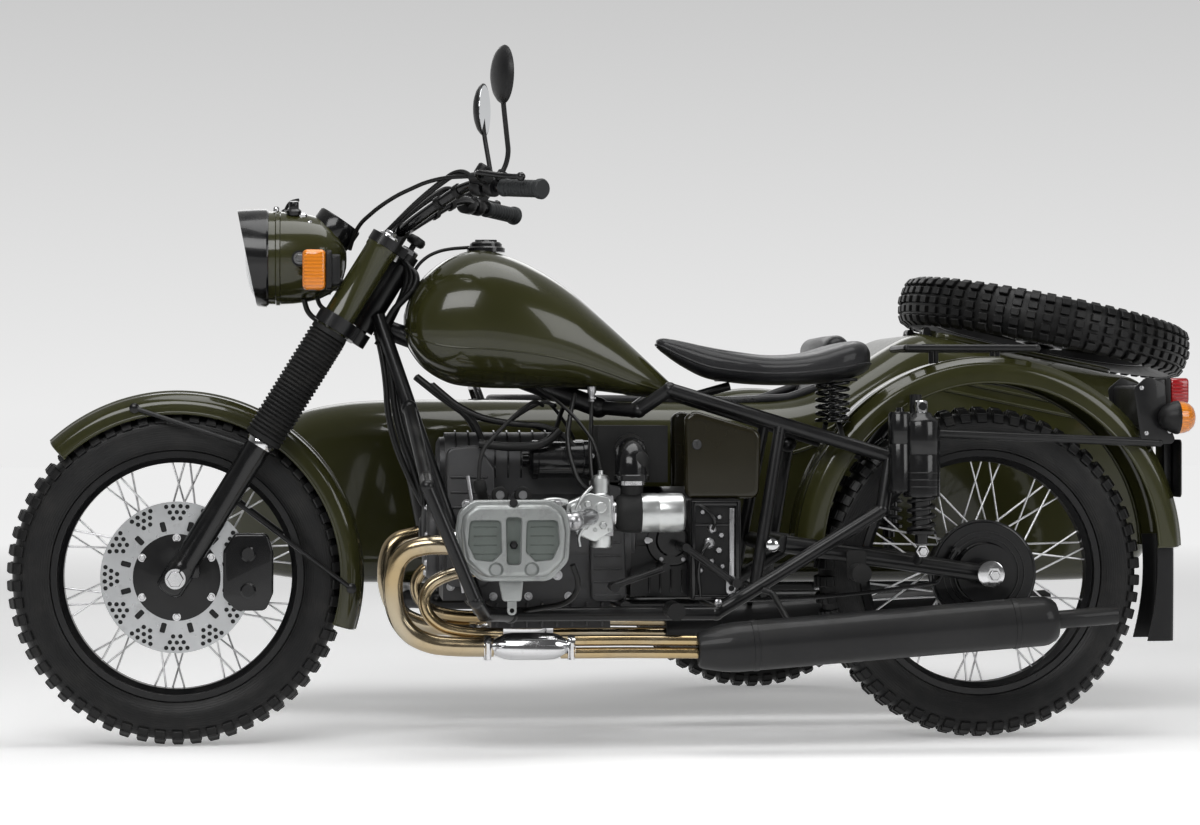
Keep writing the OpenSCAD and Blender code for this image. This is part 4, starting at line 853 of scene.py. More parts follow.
class OUTFIT_OT_fork_legs(bpy.types.Operator):
    """Builds ribbed gaiters, sliders, upper covers and the yokes' caps"""

    bl_idname = "outfit.fork_legs"
    bl_label = "Fork legs"

    def execute(self, context):
        v = context.scene.outfit_fork
        side = "left"
        pitch = (v.gaiter_top - v.gaiter_low - 0.024) / v.ribs
        folds = [(0.0255, v.gaiter_low), (0.0365, v.gaiter_low), (0.0375, v.gaiter_low + 0.002), (0.0375, v.gaiter_low + 0.010)]
        for k in range(v.ribs):
            z = v.gaiter_low + 0.012 + k * pitch
            folds += [(0.0350, z), (0.0380, z + pitch * 0.25), (0.0396, z + pitch * 0.5), (0.0380, z + pitch * 0.75)]
        folds += [(0.0335, v.gaiter_top - 0.012), (0.0378, v.gaiter_top - 0.010), (0.0378, v.gaiter_top - 0.002), (0.0368, v.gaiter_top), (0.0255, v.gaiter_top)]
        gaiter = lathe("left_gaiter", [(r, z) for r, z in folds], fork(FORK_OFFSET, FORK_HALF, 0), STEER_AXIS, 40)
        other = mirrored(gaiter, "right_gaiter")
        done(joined("fork_bellows", gaiter, other), "steering", "rubber", "soft_rubber", "fork_gaiters")
        leg = lathe(
            "slider", [(0, -0.034), (0.018, -0.034), (0.0225, -0.031), (0.028, -0.024), (0.029, 0.022), (0.0275, 0.030), (0.0262, 0.036),
                       (0.0255, 0.20), (0.0255, 0.268), (0.0262, 0.272), (0.0262, 0.3185), (0, 0.3185)],
            fork(FORK_OFFSET, FORK_HALF, 0), STEER_AXIS, 48)
        ear = slab("ear", round_outline(0.034, 0.026, 0.006), 0.030, turned_to((0, 1, 0), FRONT + Vector((-0.030, FORK_HALF - 0.018, 0.014)), (1, 0, 0)), 0.003)
        leg = joined("left_slider", leg, ear)
        other = mirrored(leg, "right_slider")
        axle = lathe("axle", [(0, -0.146), (0.010, -0.146), (0.010, 0.146), (0, 0.146)], FRONT, (0, 1, 0), 32)
        done(joined("fork_lower_legs", leg, other, axle), "steering", "black_gloss", "black_paint", "fork_sliders")
        nut = lathe("nut_l", [(0, 0.0), (0.0165, 0.0), (0.0165, 0.008), (0.015, 0.0105), (0.0, 0.0105)], FRONT + Vector((0, FORK_HALF + 0.0285, 0)), (0, 1, 0), 6)
        washer = lathe("washer_l", [(0, 0), (0.020, 0), (0.020, 0.002), (0, 0.002)], FRONT + Vector((0, FORK_HALF + 0.0268, 0)), (0, 1, 0), 32)
        left = joined("axle_nut_left", nut, washer)
        right = mirrored(left, "axle_nut_right")
        collar = lathe("collar", [(0.0262, 0.306), (0.0285, 0.306), (0.0290, 0.309), (0.0290, 0.316), (0.0280, 0.3185), (0.0262, 0.3185)], fork(FORK_OFFSET, FORK_HALF, 0), STEER_AXIS, 48, closed=True)
        collar_r = mirrored(collar, "collar_r")
        done(joined("fork_bright_parts", left, right, collar, collar_r), "steering", "chrome", "bright_steel")
        cover = lathe(
            "left_cover", [(0, v.gaiter_top + 0.0005), (0.0325, v.gaiter_top + 0.0005), (0.0328, v.gaiter_top + 0.004), (0.0312, v.gaiter_top + 0.007),
                           (0.0312, v.cover_top - 0.012), (0.0328, v.cover_top - 0.009), (0.0328, v.cover_top), (0, v.cover_top)],
            fork(FORK_OFFSET, FORK_HALF, 0), STEER_AXIS, 48)
        other = mirrored(cover, "right_cover")
        done(joined("fork_shrouds", cover, other), "steering", "olive", "olive_paint", "fork_covers")
        top = v.cover_top + 0.0212
        cap = lathe("cap", [(0, 0), (0.0195, 0), (0.0195, 0.004), (0.0175, 0.006), (0, 0.006)], fork(FORK_OFFSET, FORK_HALF, top), STEER_AXIS, 40)
        hexagon = lathe("hexagon", [(0, 0.006), (0.011, 0.006), (0.011, 0.012), (0.0095, 0.0135), (0, 0.0135)], fork(FORK_OFFSET, FORK_HALF, top), STEER_AXIS, 6)
        left = joined("left_cap", cap, hexagon)
        right = mirrored(left, "right_cap")
        stem = lathe("stem_nut", [(0, 0), (0.018, 0), (0.018, 0.009), (0.016, 0.011), (0, 0.011)], fork(0, 0, top - 0.0005), STEER_AXIS, 6)
        done(joined("fork_top_nuts", left, right, stem), "steering", "chrome", "bright_steel")
        knob = lathe("damper", [(0, 0.010), (0.006, 0.010), (0.006, 0.020), (0.016, 0.0215), (0.0195, 0.026), (0.0195, 0.034), (0.016, 0.039), (0, 0.041)], fork(0, 0, top), STEER_AXIS, 12)
        done(knob, "steering", "plastic", "black_plastic")
        return {"FINISHED"}


def arch_profile(outer, half, depth):
    """A fender's section as (height over the wheel's axle, y), from one skirt over the crown to the other."""
    side = [
        (outer - depth, half), (outer - depth + 0.014, half), (outer - 0.034, half), (outer - 0.026, half - 0.0005),
        (outer - 0.018, half - 0.003), (outer - 0.011, half - 0.009), (outer - 0.0066, half - 0.0175), (outer - 0.0035, half - 0.030), (outer - 0.001, half * 0.3),
    ]
    return side + [(outer, 0.0)] + [(r, -y) for r, y in reversed(side)]


class OUTFIT_OT_fenders(bpy.types.Operator):
    """Builds the three sheet fenders with rolled edges and ribs"""

    bl_idname = "outfit.fenders"
    bl_label = "Fenders"

    def arch(self, name, centre, outer, width, depth, start, end, v, ribs=()):
        half = width / 2
        section = arch_profile(outer - 0.0004, half - 0.0005, depth)
        lengths = [0.0]
        for (r0, y0), (r1, y1) in zip(section, section[1:]):
            lengths.append(lengths[-1] + math.hypot(r1 - r0, y1 - y0))

        def across(t):
            want = t * lengths[-1]
            for i in range(len(section) - 1):
                if want <= lengths[i + 1] + 1e-9:
                    f = (want - lengths[i]) / (lengths[i + 1] - lengths[i])
                    return [a + f * (b - a) for a, b in zip(section[i], section[i + 1])]
            return section[-1]

        def place(u, w):
            t = math.radians(start + (end - start) * u)
            r, y = across(w)
            for at, height in ribs:
                r += height * math.exp(-(((abs(y) - at) / 0.0045) ** 2))
            return centre + Vector((r * math.cos(t), y, r * math.sin(t)))

        sheet = shaped_grid(name, 88, 44, place)
        apply_modifier(sheet, "SOLIDIFY", thickness=v.sheet, offset=-1)
        tidy_skin(sheet, 0.000001)
        edge = []
        for side in (1, -1):
            r = outer - depth + v.bead * 0.8
            edge.append([(math.radians(start + (end - start) * k / 40), r, side * (half - v.bead)) for k in range(41)])
        beads = [
            tube(f"{name}_bead{i}", [centre + Vector((r * math.cos(t), y, r * math.sin(t))) for t, r, y in line], v.bead, 0.02, 8, 1)
            for i, line in enumerate(edge)
        ]
        for i, t in enumerate((start, end)):
            a = math.radians(t)
            rim = [across(k / 20) for k in range(21)]
            beads.append(tube(f"{name}_end{i}", [centre + Vector(((r - 0.002) * math.cos(a), y * 0.958, (r - 0.002) * math.sin(a))) for r, y in rim], v.bead * 0.7, 0.006, 8, 2))
        return joined(name, sheet, *beads)

    def execute(self, context):
        v = context.scene.outfit_fenders
        front = self.arch("front_mudguard", FRONT, 0.369, 0.128, 0.046, 47, 197, v, ((0.046, 0.0032), (0.022, 0.0030)))
        done(front, "steering", "olive", "olive_paint", "front_fender")
        stays = []
        for side in (1, -1):
            y = FORK_HALF - 0.026 - 0.0052
            for (z, t) in ((0.299, 76), (0.190, 184)):
                a = fork(FORK_OFFSET, y, z)
                reach = 0.345
                b = FRONT + Vector((reach * math.cos(math.radians(t)), 0.0665, reach * math.sin(math.radians(t))))
                points = [a, a.lerp(b, 0.5) + Vector((0, 0.001, 0)), b]
                points = [Vector((p.x, REAR.y + side * (p.y - REAR.y if k < 2 else 0.0665), p.z)) for k, p in enumerate(points)]
                stays.append(tube(f"stay_{len(stays)}", points, 0.0045, 0.05, 8, 3))
                stays.append(lathe(f"stay_end_{len(stays)}", [(0, -0.003), (0.010, -0.003), (0.010, 0.002), (0.006, 0.005), (0, 0.005)], points[-1], (0, side, 0), 16))
        done(joined("front_mudguard_stays", *stays), "steering", "black", "black_paint")
        centre = REAR + Vector((-0.015, 0, 0.040))
        rear = self.arch("rear_mudguard", centre, 0.400, 0.160, 0.054, 0, 178, v, ((0.058, 0.0040), (0.036, 0.0040)))
        done(rear, "chassis", "olive", "olive_paint", "rear_fender")
        def flap_place(u, w):
            t = math.pi * u
            reach = 0.040 - 0.006 * math.sin(math.pi * w) + 0.018 * w * w
            return bike(-0.4015 + reach * (1 - abs(math.sin(t)) ** 0.35), 0.054 * signed_power(math.cos(t), 0.35), 0.074 - 0.216 * w)

        flap = shaped_grid("curved_mud_flap", 40, 16, flap_place)
        apply_modifier(flap, "SOLIDIFY", thickness=0.004, offset=0)
        tidy_skin(flap, 0.000001)
        done(flap, "chassis", "plastic", "soft_rubber", "mud_flap")
        side = self.arch("sidecar_mudguard", SIDE, WHEEL_R + 0.048, 0.150, 0.060, 8, 172, v, ((0.048, 0.0020),))
        stays = []
        for t in (40, 140):
            x = SIDE.x + 0.356 * math.cos(math.radians(t))
            z = min(SIDE.z + 0.356 * math.sin(math.radians(t)), SIDE.z + 0.245)
            stays.append(tube(f"bracket_{t}", [Vector((x, SIDE.y + 0.074, z)), Vector((x, REAR.y + BODY_Y - 0.2896, z))], 0.009, 0.01, 12, 1))
            for y in (SIDE.y + 0.077, REAR.y + BODY_Y - 0.2925):
                stays.append(lathe(f"flange_{t}_{y:.2f}", [(0, -0.002), (0.020, -0.002), (0.020, 0.002), (0, 0.002)], (x, y, z), (0, 1, 0), 24))
        side = joined("sidecar_mudguard", side, *stays)
        done(side, "chassis", "olive", "olive_paint", "sidecar_fender")
        return {"FINISHED"}


class OUTFIT_OT_headlamp(bpy.types.Operator):
    """Builds the headlamp's bucket, peak, glass, instrument and ears"""

    bl_idname = "outfit.headlamp"
    bl_label = "Headlamp"

    def execute(self, context):
        at = bike(1.409, 0, 0.636)
        ahead = (1, 0, 0)
        bucket = lathe(
            "bucket", [(0, -0.120), (0.020, -0.1185), (0.040, -0.113), (0.058, -0.102), (0.072, -0.086), (0.082, -0.066), (0.0885, -0.040),
                       (0.092, -0.012), (0.0932, 0.012), (0.0955, 0.014), (0.0955, 0.021), (0.0932, 0.023), (0.0932, 0.042), (0.080, 0.042), (0.078, 0.02), (0, -0.02)],
            at, ahead, 72)
        done(bucket, "steering", "olive", "olive_paint", "headlamp")
        ring = lathe(
            "lamp_ring", [(0.084, 0.036), (0.0945, 0.036), (0.0972, 0.040), (0.0972, 0.056), (0.0950, 0.060), (0.0885, 0.062), (0.0865, 0.057)],
            at, ahead, 72, closed=True)

        def peak(u, w):
            t = 2 * math.pi * u
            reach = 0.040 + w * (0.0195 + 0.0195 * (1 + math.cos(t)))
            r = 0.0972 - 0.003 * w * w
            return at + Vector((reach, r * math.sin(t), r * math.cos(t)))

        shade = shaped_grid("lamp_peak", 72, 8, peak)
        apply_modifier(shade, "SOLIDIFY", thickness=0.0025, offset=0)
        tidy_skin(shade, 0.000001)
        done(joined("lamp_rim", ring, shade), "steering", "black_gloss", "black_paint")
        glass = lathe("lamp_lens", [(0, 0.0835), (0.020, 0.0828), (0.040, 0.0800), (0.058, 0.0755), (0.072, 0.0695), (0.082, 0.0625), (0.0862, 0.0575), (0.0862, 0.050), (0, 0.050)], at, ahead, 72)
        done(glass, "steering", "lamp", "bright_steel", smooth=50)
        tilt = Vector((-0.56, 0, 0.83)).normalized()
        pod_at = bike(1.322, 0, 0.682)
        pod = lathe("instrument_pod", [(0, -0.040), (0.030, -0.038), (0.042, -0.020), (0.0465, 0.004), (0.0465, 0.034), (0.0445, 0.0375), (0.0395, 0.0375), (0.0385, 0.033), (0, 0.033)], pod_at, tilt, 56)
        key = lathe("key_switch", [(0, 0), (0.015, 0), (0.015, 0.008), (0.010, 0.012), (0.010, 0.024), (0.0085, 0.026), (0, 0.026)], bike(1.395, 0.032, 0.722), (0, 0.2, 1), 32)
        knob = lathe("pilot", [(0, 0), (0.009, 0), (0.009, 0.006), (0.006, 0.009), (0, 0.0095)], bike(1.412, -0.020, 0.726), (0, -0.15, 1), 24)
        switch = tube("lamp_lever", [bike(1.412, -0.020, 0.734), bike(1.404, -0.012, 0.750), bike(1.386, 0.0, 0.753)], 0.0035, 0.01, 8, 3)
        done(joined("instruments", pod, key, knob, switch), "steering", "black_gloss", "black_paint")
        trims = [lathe(f"lamp_trim_{k}", [(0, 0), (r, 0), (r, 0.006), (r * 0.7, 0.009), (0, 0.009)], bike(x, y, z), (0, 0.1, 1), 20) for k, (x, y, z, r) in enumerate(((1.378, 0.030, 0.716, 0.010), (1.364, 0.046, 0.700, 0.007), (1.430, 0.020, 0.729, 0.006)))]
        under = tube("lamp_loom", [bike(1.375, 0.030, 0.552), bike(1.366, 0.034, 0.520), bike(1.335, 0.036, 0.505), bike(1.300, 0.036, 0.520)], 0.0055, 0.03, 10, 6)
        second = tube("lamp_loom_b", [bike(1.350, 0.020, 0.560), bike(1.342, 0.022, 0.535), bike(1.318, 0.024, 0.528)], 0.0045, 0.02, 10, 5)
        done(joined("lamp_looms", under, second), "steering", "cable", "soft_rubber")
        done(joined("lamp_trims", *trims), "steering", "chrome", "bright_steel")
        dial = lathe("dial_glass", [(0, 0.0345), (0.038, 0.0345), (0.0385, 0.0335), (0, 0.0335)], pod_at, tilt, 48)
        done(dial, "steering", "mirror", "bright_steel")
        ears = []
        for side in (1, -1):
            a = bike(1.379, side * 0.085, 0.630)
            b = fork(FORK_OFFSET + 0.004, side * (FORK_HALF - 0.0435), 0.668)
            ears.append(tube(f"ear_{side}", [a, b], 0.008, 0.01, 12, 1))
            ears.append(lathe(f"ear_pad_{side}", [(0, -0.004), (0.016, -0.004), (0.016, 0.004), (0, 0.004)], bike(1.383, side * 0.090, 0.631), (0, side, 0), 28))
        done(joined("lamp_ears", *ears), "steering", "black", "black_paint")
        done(bolts("lamp_bolts", [bike(1.383, s * 0.0945, 0.631) for s in (1, -1)][:1], (0, 1, 0), 0.009, 0.007), "steering", "chrome", "bright_steel")
        return {"FINISHED"}


BAR = [(0.036, 0, 0.818), (0.036, 0.069, 0.818), (0.006, 0.132, 0.888), (-0.030, 0.200, 0.962), (-0.072, 0.278, 0.970), (-0.150, 0.386, 1.006)]


class OUTFIT_OT_handlebar(bpy.types.Operator):
    """Builds the bar, grips, levers, switches, mirrors and cables"""

    bl_idname = "outfit.handlebar"
    bl_label = "Handlebar"

    def execute(self, context):
        v = context.scene.outfit_bars
        points = [fork(x, -y, z) for x, y, z in reversed(BAR[1:])] + [fork(*p) for p in BAR[1:]]
        bar = tube("bent_bar", points, v.radius, 0.045, 12, 8)
        done(bar, "steering", "black_gloss", "black_paint", "handlebar")
        perch, tip = fork(*BAR[4]), fork(*BAR[5])
        along = (tip - perch).normalized()
        grips, levers, blocks, rods = [], [], [], []
        for side in (1, -1):
            def place(p):
                return Vector((p.x, REAR.y + side * (p.y - REAR.y), p.z))
            line = Vector((along.x, side * along.y, along.z))
            start = place(tip - along * 0.110)
            ribs = [(0, 0.0), (0.0162, 0.0), (0.0172, 0.001), (0.0172, 0.006), (v.grip, 0.008)]
            for k in range(9):
                z = 0.014 + k * 0.0098
                ribs += [(v.grip, z), (v.grip - 0.0012, z + 0.0022), (v.grip - 0.0012, z + 0.0034), (v.grip, z + 0.0056)]
            ribs += [(v.grip, 0.101), (0.0195, 0.1030), (0.0200, 0.1092), (0.0175, 0.1130), (0, 0.1130)]
            grips.append(lathe(f"grip_{side}", ribs, start, line, 32))
            clamp = lathe(f"perch_{side}", [(0, -0.011), (0.0165, -0.011), (0.0185, -0.008), (0.0185, 0.008), (0.0165, 0.011), (0, 0.011)], place(perch - along * 0.004), line, 32)
            case = lathe(f"switch_{side}", [(0, -0.015), (0.0165, -0.015), (0.0195, -0.011), (0.0195, 0.011), (0.0165, 0.015), (0, 0.015)], place(perch - along * 0.040), line, 24)
            button = lathe(f"button_{side}", [(0, 0), (0.0055, 0), (0.0055, 0.006), (0.004, 0.008), (0, 0.008)], place(perch - along * 0.040 + 0.018 * STEER_AXIS - 0.006 * STEER_AHEAD), STEER_AXIS, 16)
            pump = tube(f"pump_{side}", [place(perch - along * 0.030 + 0.026 * STEER_AHEAD + 0.004 * STEER_AXIS), place(perch + along * 0.022 + 0.030 * STEER_AHEAD + 0.004 * STEER_AXIS)], 0.0115, 0.01, 16, 1)
            link = tube(f"pump_link_{side}", [place(perch - along * 0.006), place(perch - along * 0.006 + 0.028 * STEER_AHEAD)], 0.0085, 0.01, 12, 1)
            cup = lathe(f"pump_cup_{side}", [(0, 0), (0.014, 0), (0.015, 0.002), (0.015, 0.020), (0.0125, 0.023), (0, 0.0235)], place(perch - along * 0.010 + 0.028 * STEER_AHEAD + 0.008 * STEER_AXIS), STEER_AXIS, 28)
            blocks += [clamp, case, button, pump, link, cup]
            root = place(perch - along * 0.004 + 0.016 * STEER_AHEAD)
            knee = place(perch + 0.050 * STEER_AHEAD + Vector((0, 0.026, 0)) + 0.002 * STEER_AXIS)
            blade = place(tip + 0.046 * STEER_AHEAD - Vector((0, 0.012, 0)))
            levers.append(tube(f"lever_{side}", [root, knee, root.lerp(blade, 0.75) + 0.006 * STEER_AHEAD, blade], 0.0055, 0.03, 12, 6))
            levers.append(lathe(f"lever_ball_{side}", [(0, -0.009), (0.005, -0.0075), (0.0085, -0.003), (0.0085, 0.003), (0.005, 0.0075), (0, 0.009)], blade, line, 16))
        done(joined("bar_grips", *grips), "steering", "grip", "soft_rubber", "grips")
        done(joined("bar_switches", *blocks), "steering", "plastic", "black_plastic")
        done(joined("bar_levers", *levers), "steering", "black_gloss", "black_paint")
        heads, glasses = [], []
        head_at = fork(0.030, 0.335, 1.156)
        for side in (1, -1):
            def place(p):
                return Vector((p.x, REAR.y + side * (p.y - REAR.y), p.z))
            foot = perch + 0.0185 * STEER_AXIS
            stem = tube(f"mirror_stem_{side}", [place(foot), place(foot + 0.045 * STEER_AXIS + 0.004 * STEER_AHEAD), place(head_at - Vector((0.004, 0.010, 0.050))), place(head_at)], 0.0050, 0.06, 10, 8)
            boss = lathe(f"mirror_boss_{side}", [(0, 0), (0.010, 0), (0.010, 0.018), (0.0075, 0.021), (0, 0.021)], place(foot - 0.002 * STEER_AXIS), STEER_AXIS, 6)
            face = Vector((-math.cos(math.radians(18)), -side * math.sin(math.radians(18)), 0))
            m = turned_to(face, place(head_at), (0, 0, 1))
            shell = lathe(f"mirror_shell_{side}", [(0, -0.0150), (0.016, -0.0142), (0.030, -0.0112), (0.041, -0.0062), (0.048, 0.0), (0.0505, 0.0046), (0.0500, 0.0064), (0.0475, 0.0068), (0, 0.0068)], (0, 0, 0), (0, 0, 1), 48)
            shell.data.transform(m @ Matrix.Diagonal((1.12, 1.0, 1.0, 1)))
            glass = lathe(f"mirror_face_{side}", [(0, 0.0066), (0.0470, 0.0066), (0.0468, 0.0074), (0, 0.0076)], (0, 0, 0), (0, 0, 1), 48)
            glass.data.transform(m @ Matrix.Diagonal((1.12, 1.0, 1.0, 1)))
            glasses.append(glass)
            heads += [stem, boss, shell]
        done(joined("mirror_heads", *heads), "steering", "plastic", "black_plastic", "mirrors")
        done(joined("mirror_glasses", *glasses), "steering", "mirror", "bright_steel")
        cables = []
        for side in (1, -1):
            for start, lift in ((0.262, 0.020), (0.246, 0.008)):
                cables.append([fork(-0.030, side * start, 0.968), fork(0.004, side * 0.212, 0.952 + lift), fork(0.036, side * 0.142, 0.878 + lift), fork(0.060, side * 0.084, 0.800), fork(0.074, side * 0.060, 0.735), fork(0.044, side * 0.052, 0.660)])
        cables.append([fork(-0.030, 0.250, 0.972), fork(0.034, 0.200, 0.932), fork(0.092, 0.110, 0.852), fork(0.116, 0.050, 0.780), fork(0.104, 0.020, 0.735)])
        made = [tube(f"cable_{i}", line, 0.0042, 0.075, 8, 8) for i, line in enumerate(cables)]
        made += [lathe(f"bar_band_{side}_{k}", [(0, -0.006), (0.0145, -0.006), (0.0145, 0.006), (0, 0.006)], fork(x, side * y, z), fork(-0.030, side * 0.200, 0.962) - fork(0.006, side * 0.132, 0.888), 20)
                 for side in (1, -1) for k, (x, y, z) in enumerate(((0.000, 0.143, 0.900), (-0.018, 0.176, 0.936)))]
        done(joined("bar_cables", *made), "steering", "cable", "soft_rubber")
        return {"FINISHED"}


class OUTFIT_OT_lamps(bpy.types.Operator):
    """Builds the indicators, the tail lamp and the sidecar's lamps"""

    bl_idname = "outfit.lamps"
    bl_label = "Lamps"

    def execute(self, context):
        bases, glasses = [], []
        low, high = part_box("front_indicators")
        for side in (1, -1):
            at = fork(FORK_OFFSET + 0.092, side * (FORK_HALF + 0.016), 0.664)
            m = turned_to((1, 0, 0), at + Vector((-0.050, 0, -0.006)), (0, 0, 1))
            bases.append(slab(f"front_base_{side}", round_outline(0.062, 0.034, 0.008), 0.020, m, 0.004))
            bases.append(slab(f"front_frame_{side}", round_outline(0.078, 0.045, 0.010), 0.012, m @ Matrix.Translation((0, 0, 0.0165)), 0.003))
            glasses.append(slab(f"front_lens_{side}", round_outline(0.080, 0.046, 0.010), 0.046, m @ Matrix.Translation((0, 0, 0.0285)), 0.010, 5))
            bases.append(tube(f"front_stalk_{side}", [fork(FORK_OFFSET + 0.0335, side * FORK_HALF, 0.664), fork(FORK_OFFSET + 0.064, side * FORK_HALF, 0.664)], 0.0078, 0.01, 12, 1))
        done(joined("front_winkers", *glasses), "steering", "amber", "amber_lens", "front_indicators")
        done(joined("front_winker_bases", *bases), "steering", "plastic", "black_plastic")
        tail = -0.404
        bases, glasses = [], []
        for side in (1, -1):
            at = bike(tail + 0.003, side * 0.118, 0.316)
            bases.append(lathe(f"winker_body_{side}", [(0, 0.052), (0.012, 0.050), (0.022, 0.043), (0.029, 0.031), (0.0325, 0.022), (0.034, 0.018), (0.034, 0.013), (0, 0.013)], at, (1, 0, 0), 40))
            bases.append(tube(f"winker_stalk_{side}", [bike(tail + 0.020, side * 0.0465, 0.316), bike(tail + 0.020, side * 0.104, 0.316)], 0.0068, 0.01, 12, 1))
            glasses.append(lathe(f"winker_lens_{side}", [(0, -0.0225), (0.012, -0.0212), (0.022, -0.0165), (0.029, -0.008), (0.0325, 0.002), (0.0330, 0.0128), (0, 0.0128)], at, (1, 0, 0), 40))
        done(joined("rear_winkers", *glasses), "chassis", "amber", "amber_lens", "rear_indicators")
        done(joined("rear_winker_bodies", *bases), "chassis", "plastic", "black_plastic")
        m = turned_to((-1, 0, 0), bike(tail + 0.0206, 0, 0.370), (0, 0, 1))
        body = slab("tail_shell", round_outline(0.058, 0.094, 0.008), 0.012, m, 0.002)
        done(body, "chassis", "plastic", "black_plastic")
        red = slab("tail_glass", round_outline(0.054, 0.090, 0.010), 0.0385, m @ Matrix.Translation((0, 0, 0.0122)), 0.005, 4)
        done(red, "chassis", "red", "red_lens", "tail_lamp")
        bases, glasses = [], []
        for t in (62, 128):
            a = math.radians(t)
            out = Vector((math.cos(a), 0, math.sin(a)))
            at = SIDE + out * (WHEEL_R + 0.0487)
            bases.append(lathe(f"side_base_{t}", [(0, 0), (0.024, 0), (0.024, 0.008), (0.022, 0.0105), (0, 0.0105)], at, out, 40))
            glasses.append(lathe(f"side_lens_{t}", [(0, 0.0107), (0.021, 0.0107), (0.021, 0.020), (0.018, 0.027), (0.010, 0.0312), (0, 0.0322)], at, out, 40))
        done(joined("sidecar_lamp_glasses", *glasses), "chassis", "amber", "amber_lens", "sidecar_lamps")
        done(joined("sidecar_lamp_bases", *bases), "chassis", "black", "black_paint")
        return {"FINISHED"}


def lofted(name, rows, section, core, along, around, mouth=0.05):
    """A closed skin: section(row, v) is a place round each row, and the ends close on core(row)."""

    def place(u, v):
        row = catmull(rows, min(max((u - mouth) / (1 - 2 * mouth), 0.0), 1.0))
        spot = section(row, v)
        near = min(u, 1 - u) / mouth
        if near < 1:
            hub = core(row)
            spot = hub + (spot - hub) * math.sin(near * math.pi / 2)
        return spot

    return tidy_skin(shaped_grid(name, along, around, place), 0.00005)


TANK_ROWS = [
    (632, 0.10, 362, 384), (666, 0.26, 357, 416), (717, 0.42, 360, 463), (777, 0.58, 368, 517), (838, 0.74, 373, 570), (899, 0.87, 374, 611),
    (959, 0.96, 374, 639), (1020, 1.00, 376, 654), (1080, 0.97, 384, 640), (1131, 0.84, 412, 604), (1162, 0.62, 450, 560), (1174, 0.34, 480, 525),
]
SADDLE_ROWS = [
    (236, 0.55, 410, 452), (250, 0.78, 402, 468), (275, 0.92, 394, 472), (316, 1.00, 386, 466), (380, 0.97, 382, 452),
    (440, 0.84, 382, 446), (500, 0.62, 386, 450), (560, 0.40, 396, 460), (610, 0.27, 420, 471), (648, 0.18, 446, 477), (662, 0.09, 458, 473),
]
MM = 0.001


def oval(row, v, half, waist, bulge):
    """A place round an oval whose widest level is a share of its height."""
    t = 2 * math.pi * v
    x, share, low, high = row
    middle_z = low + waist * (high - low)
    c, s = math.cos(t), math.sin(t)
    reach = (high - middle_z if s > 0 else middle_z - low) * signed_power(s, bulge)
    return bike(x * MM, half * share * signed_power(c, bulge), (middle_z + reach) * MM)


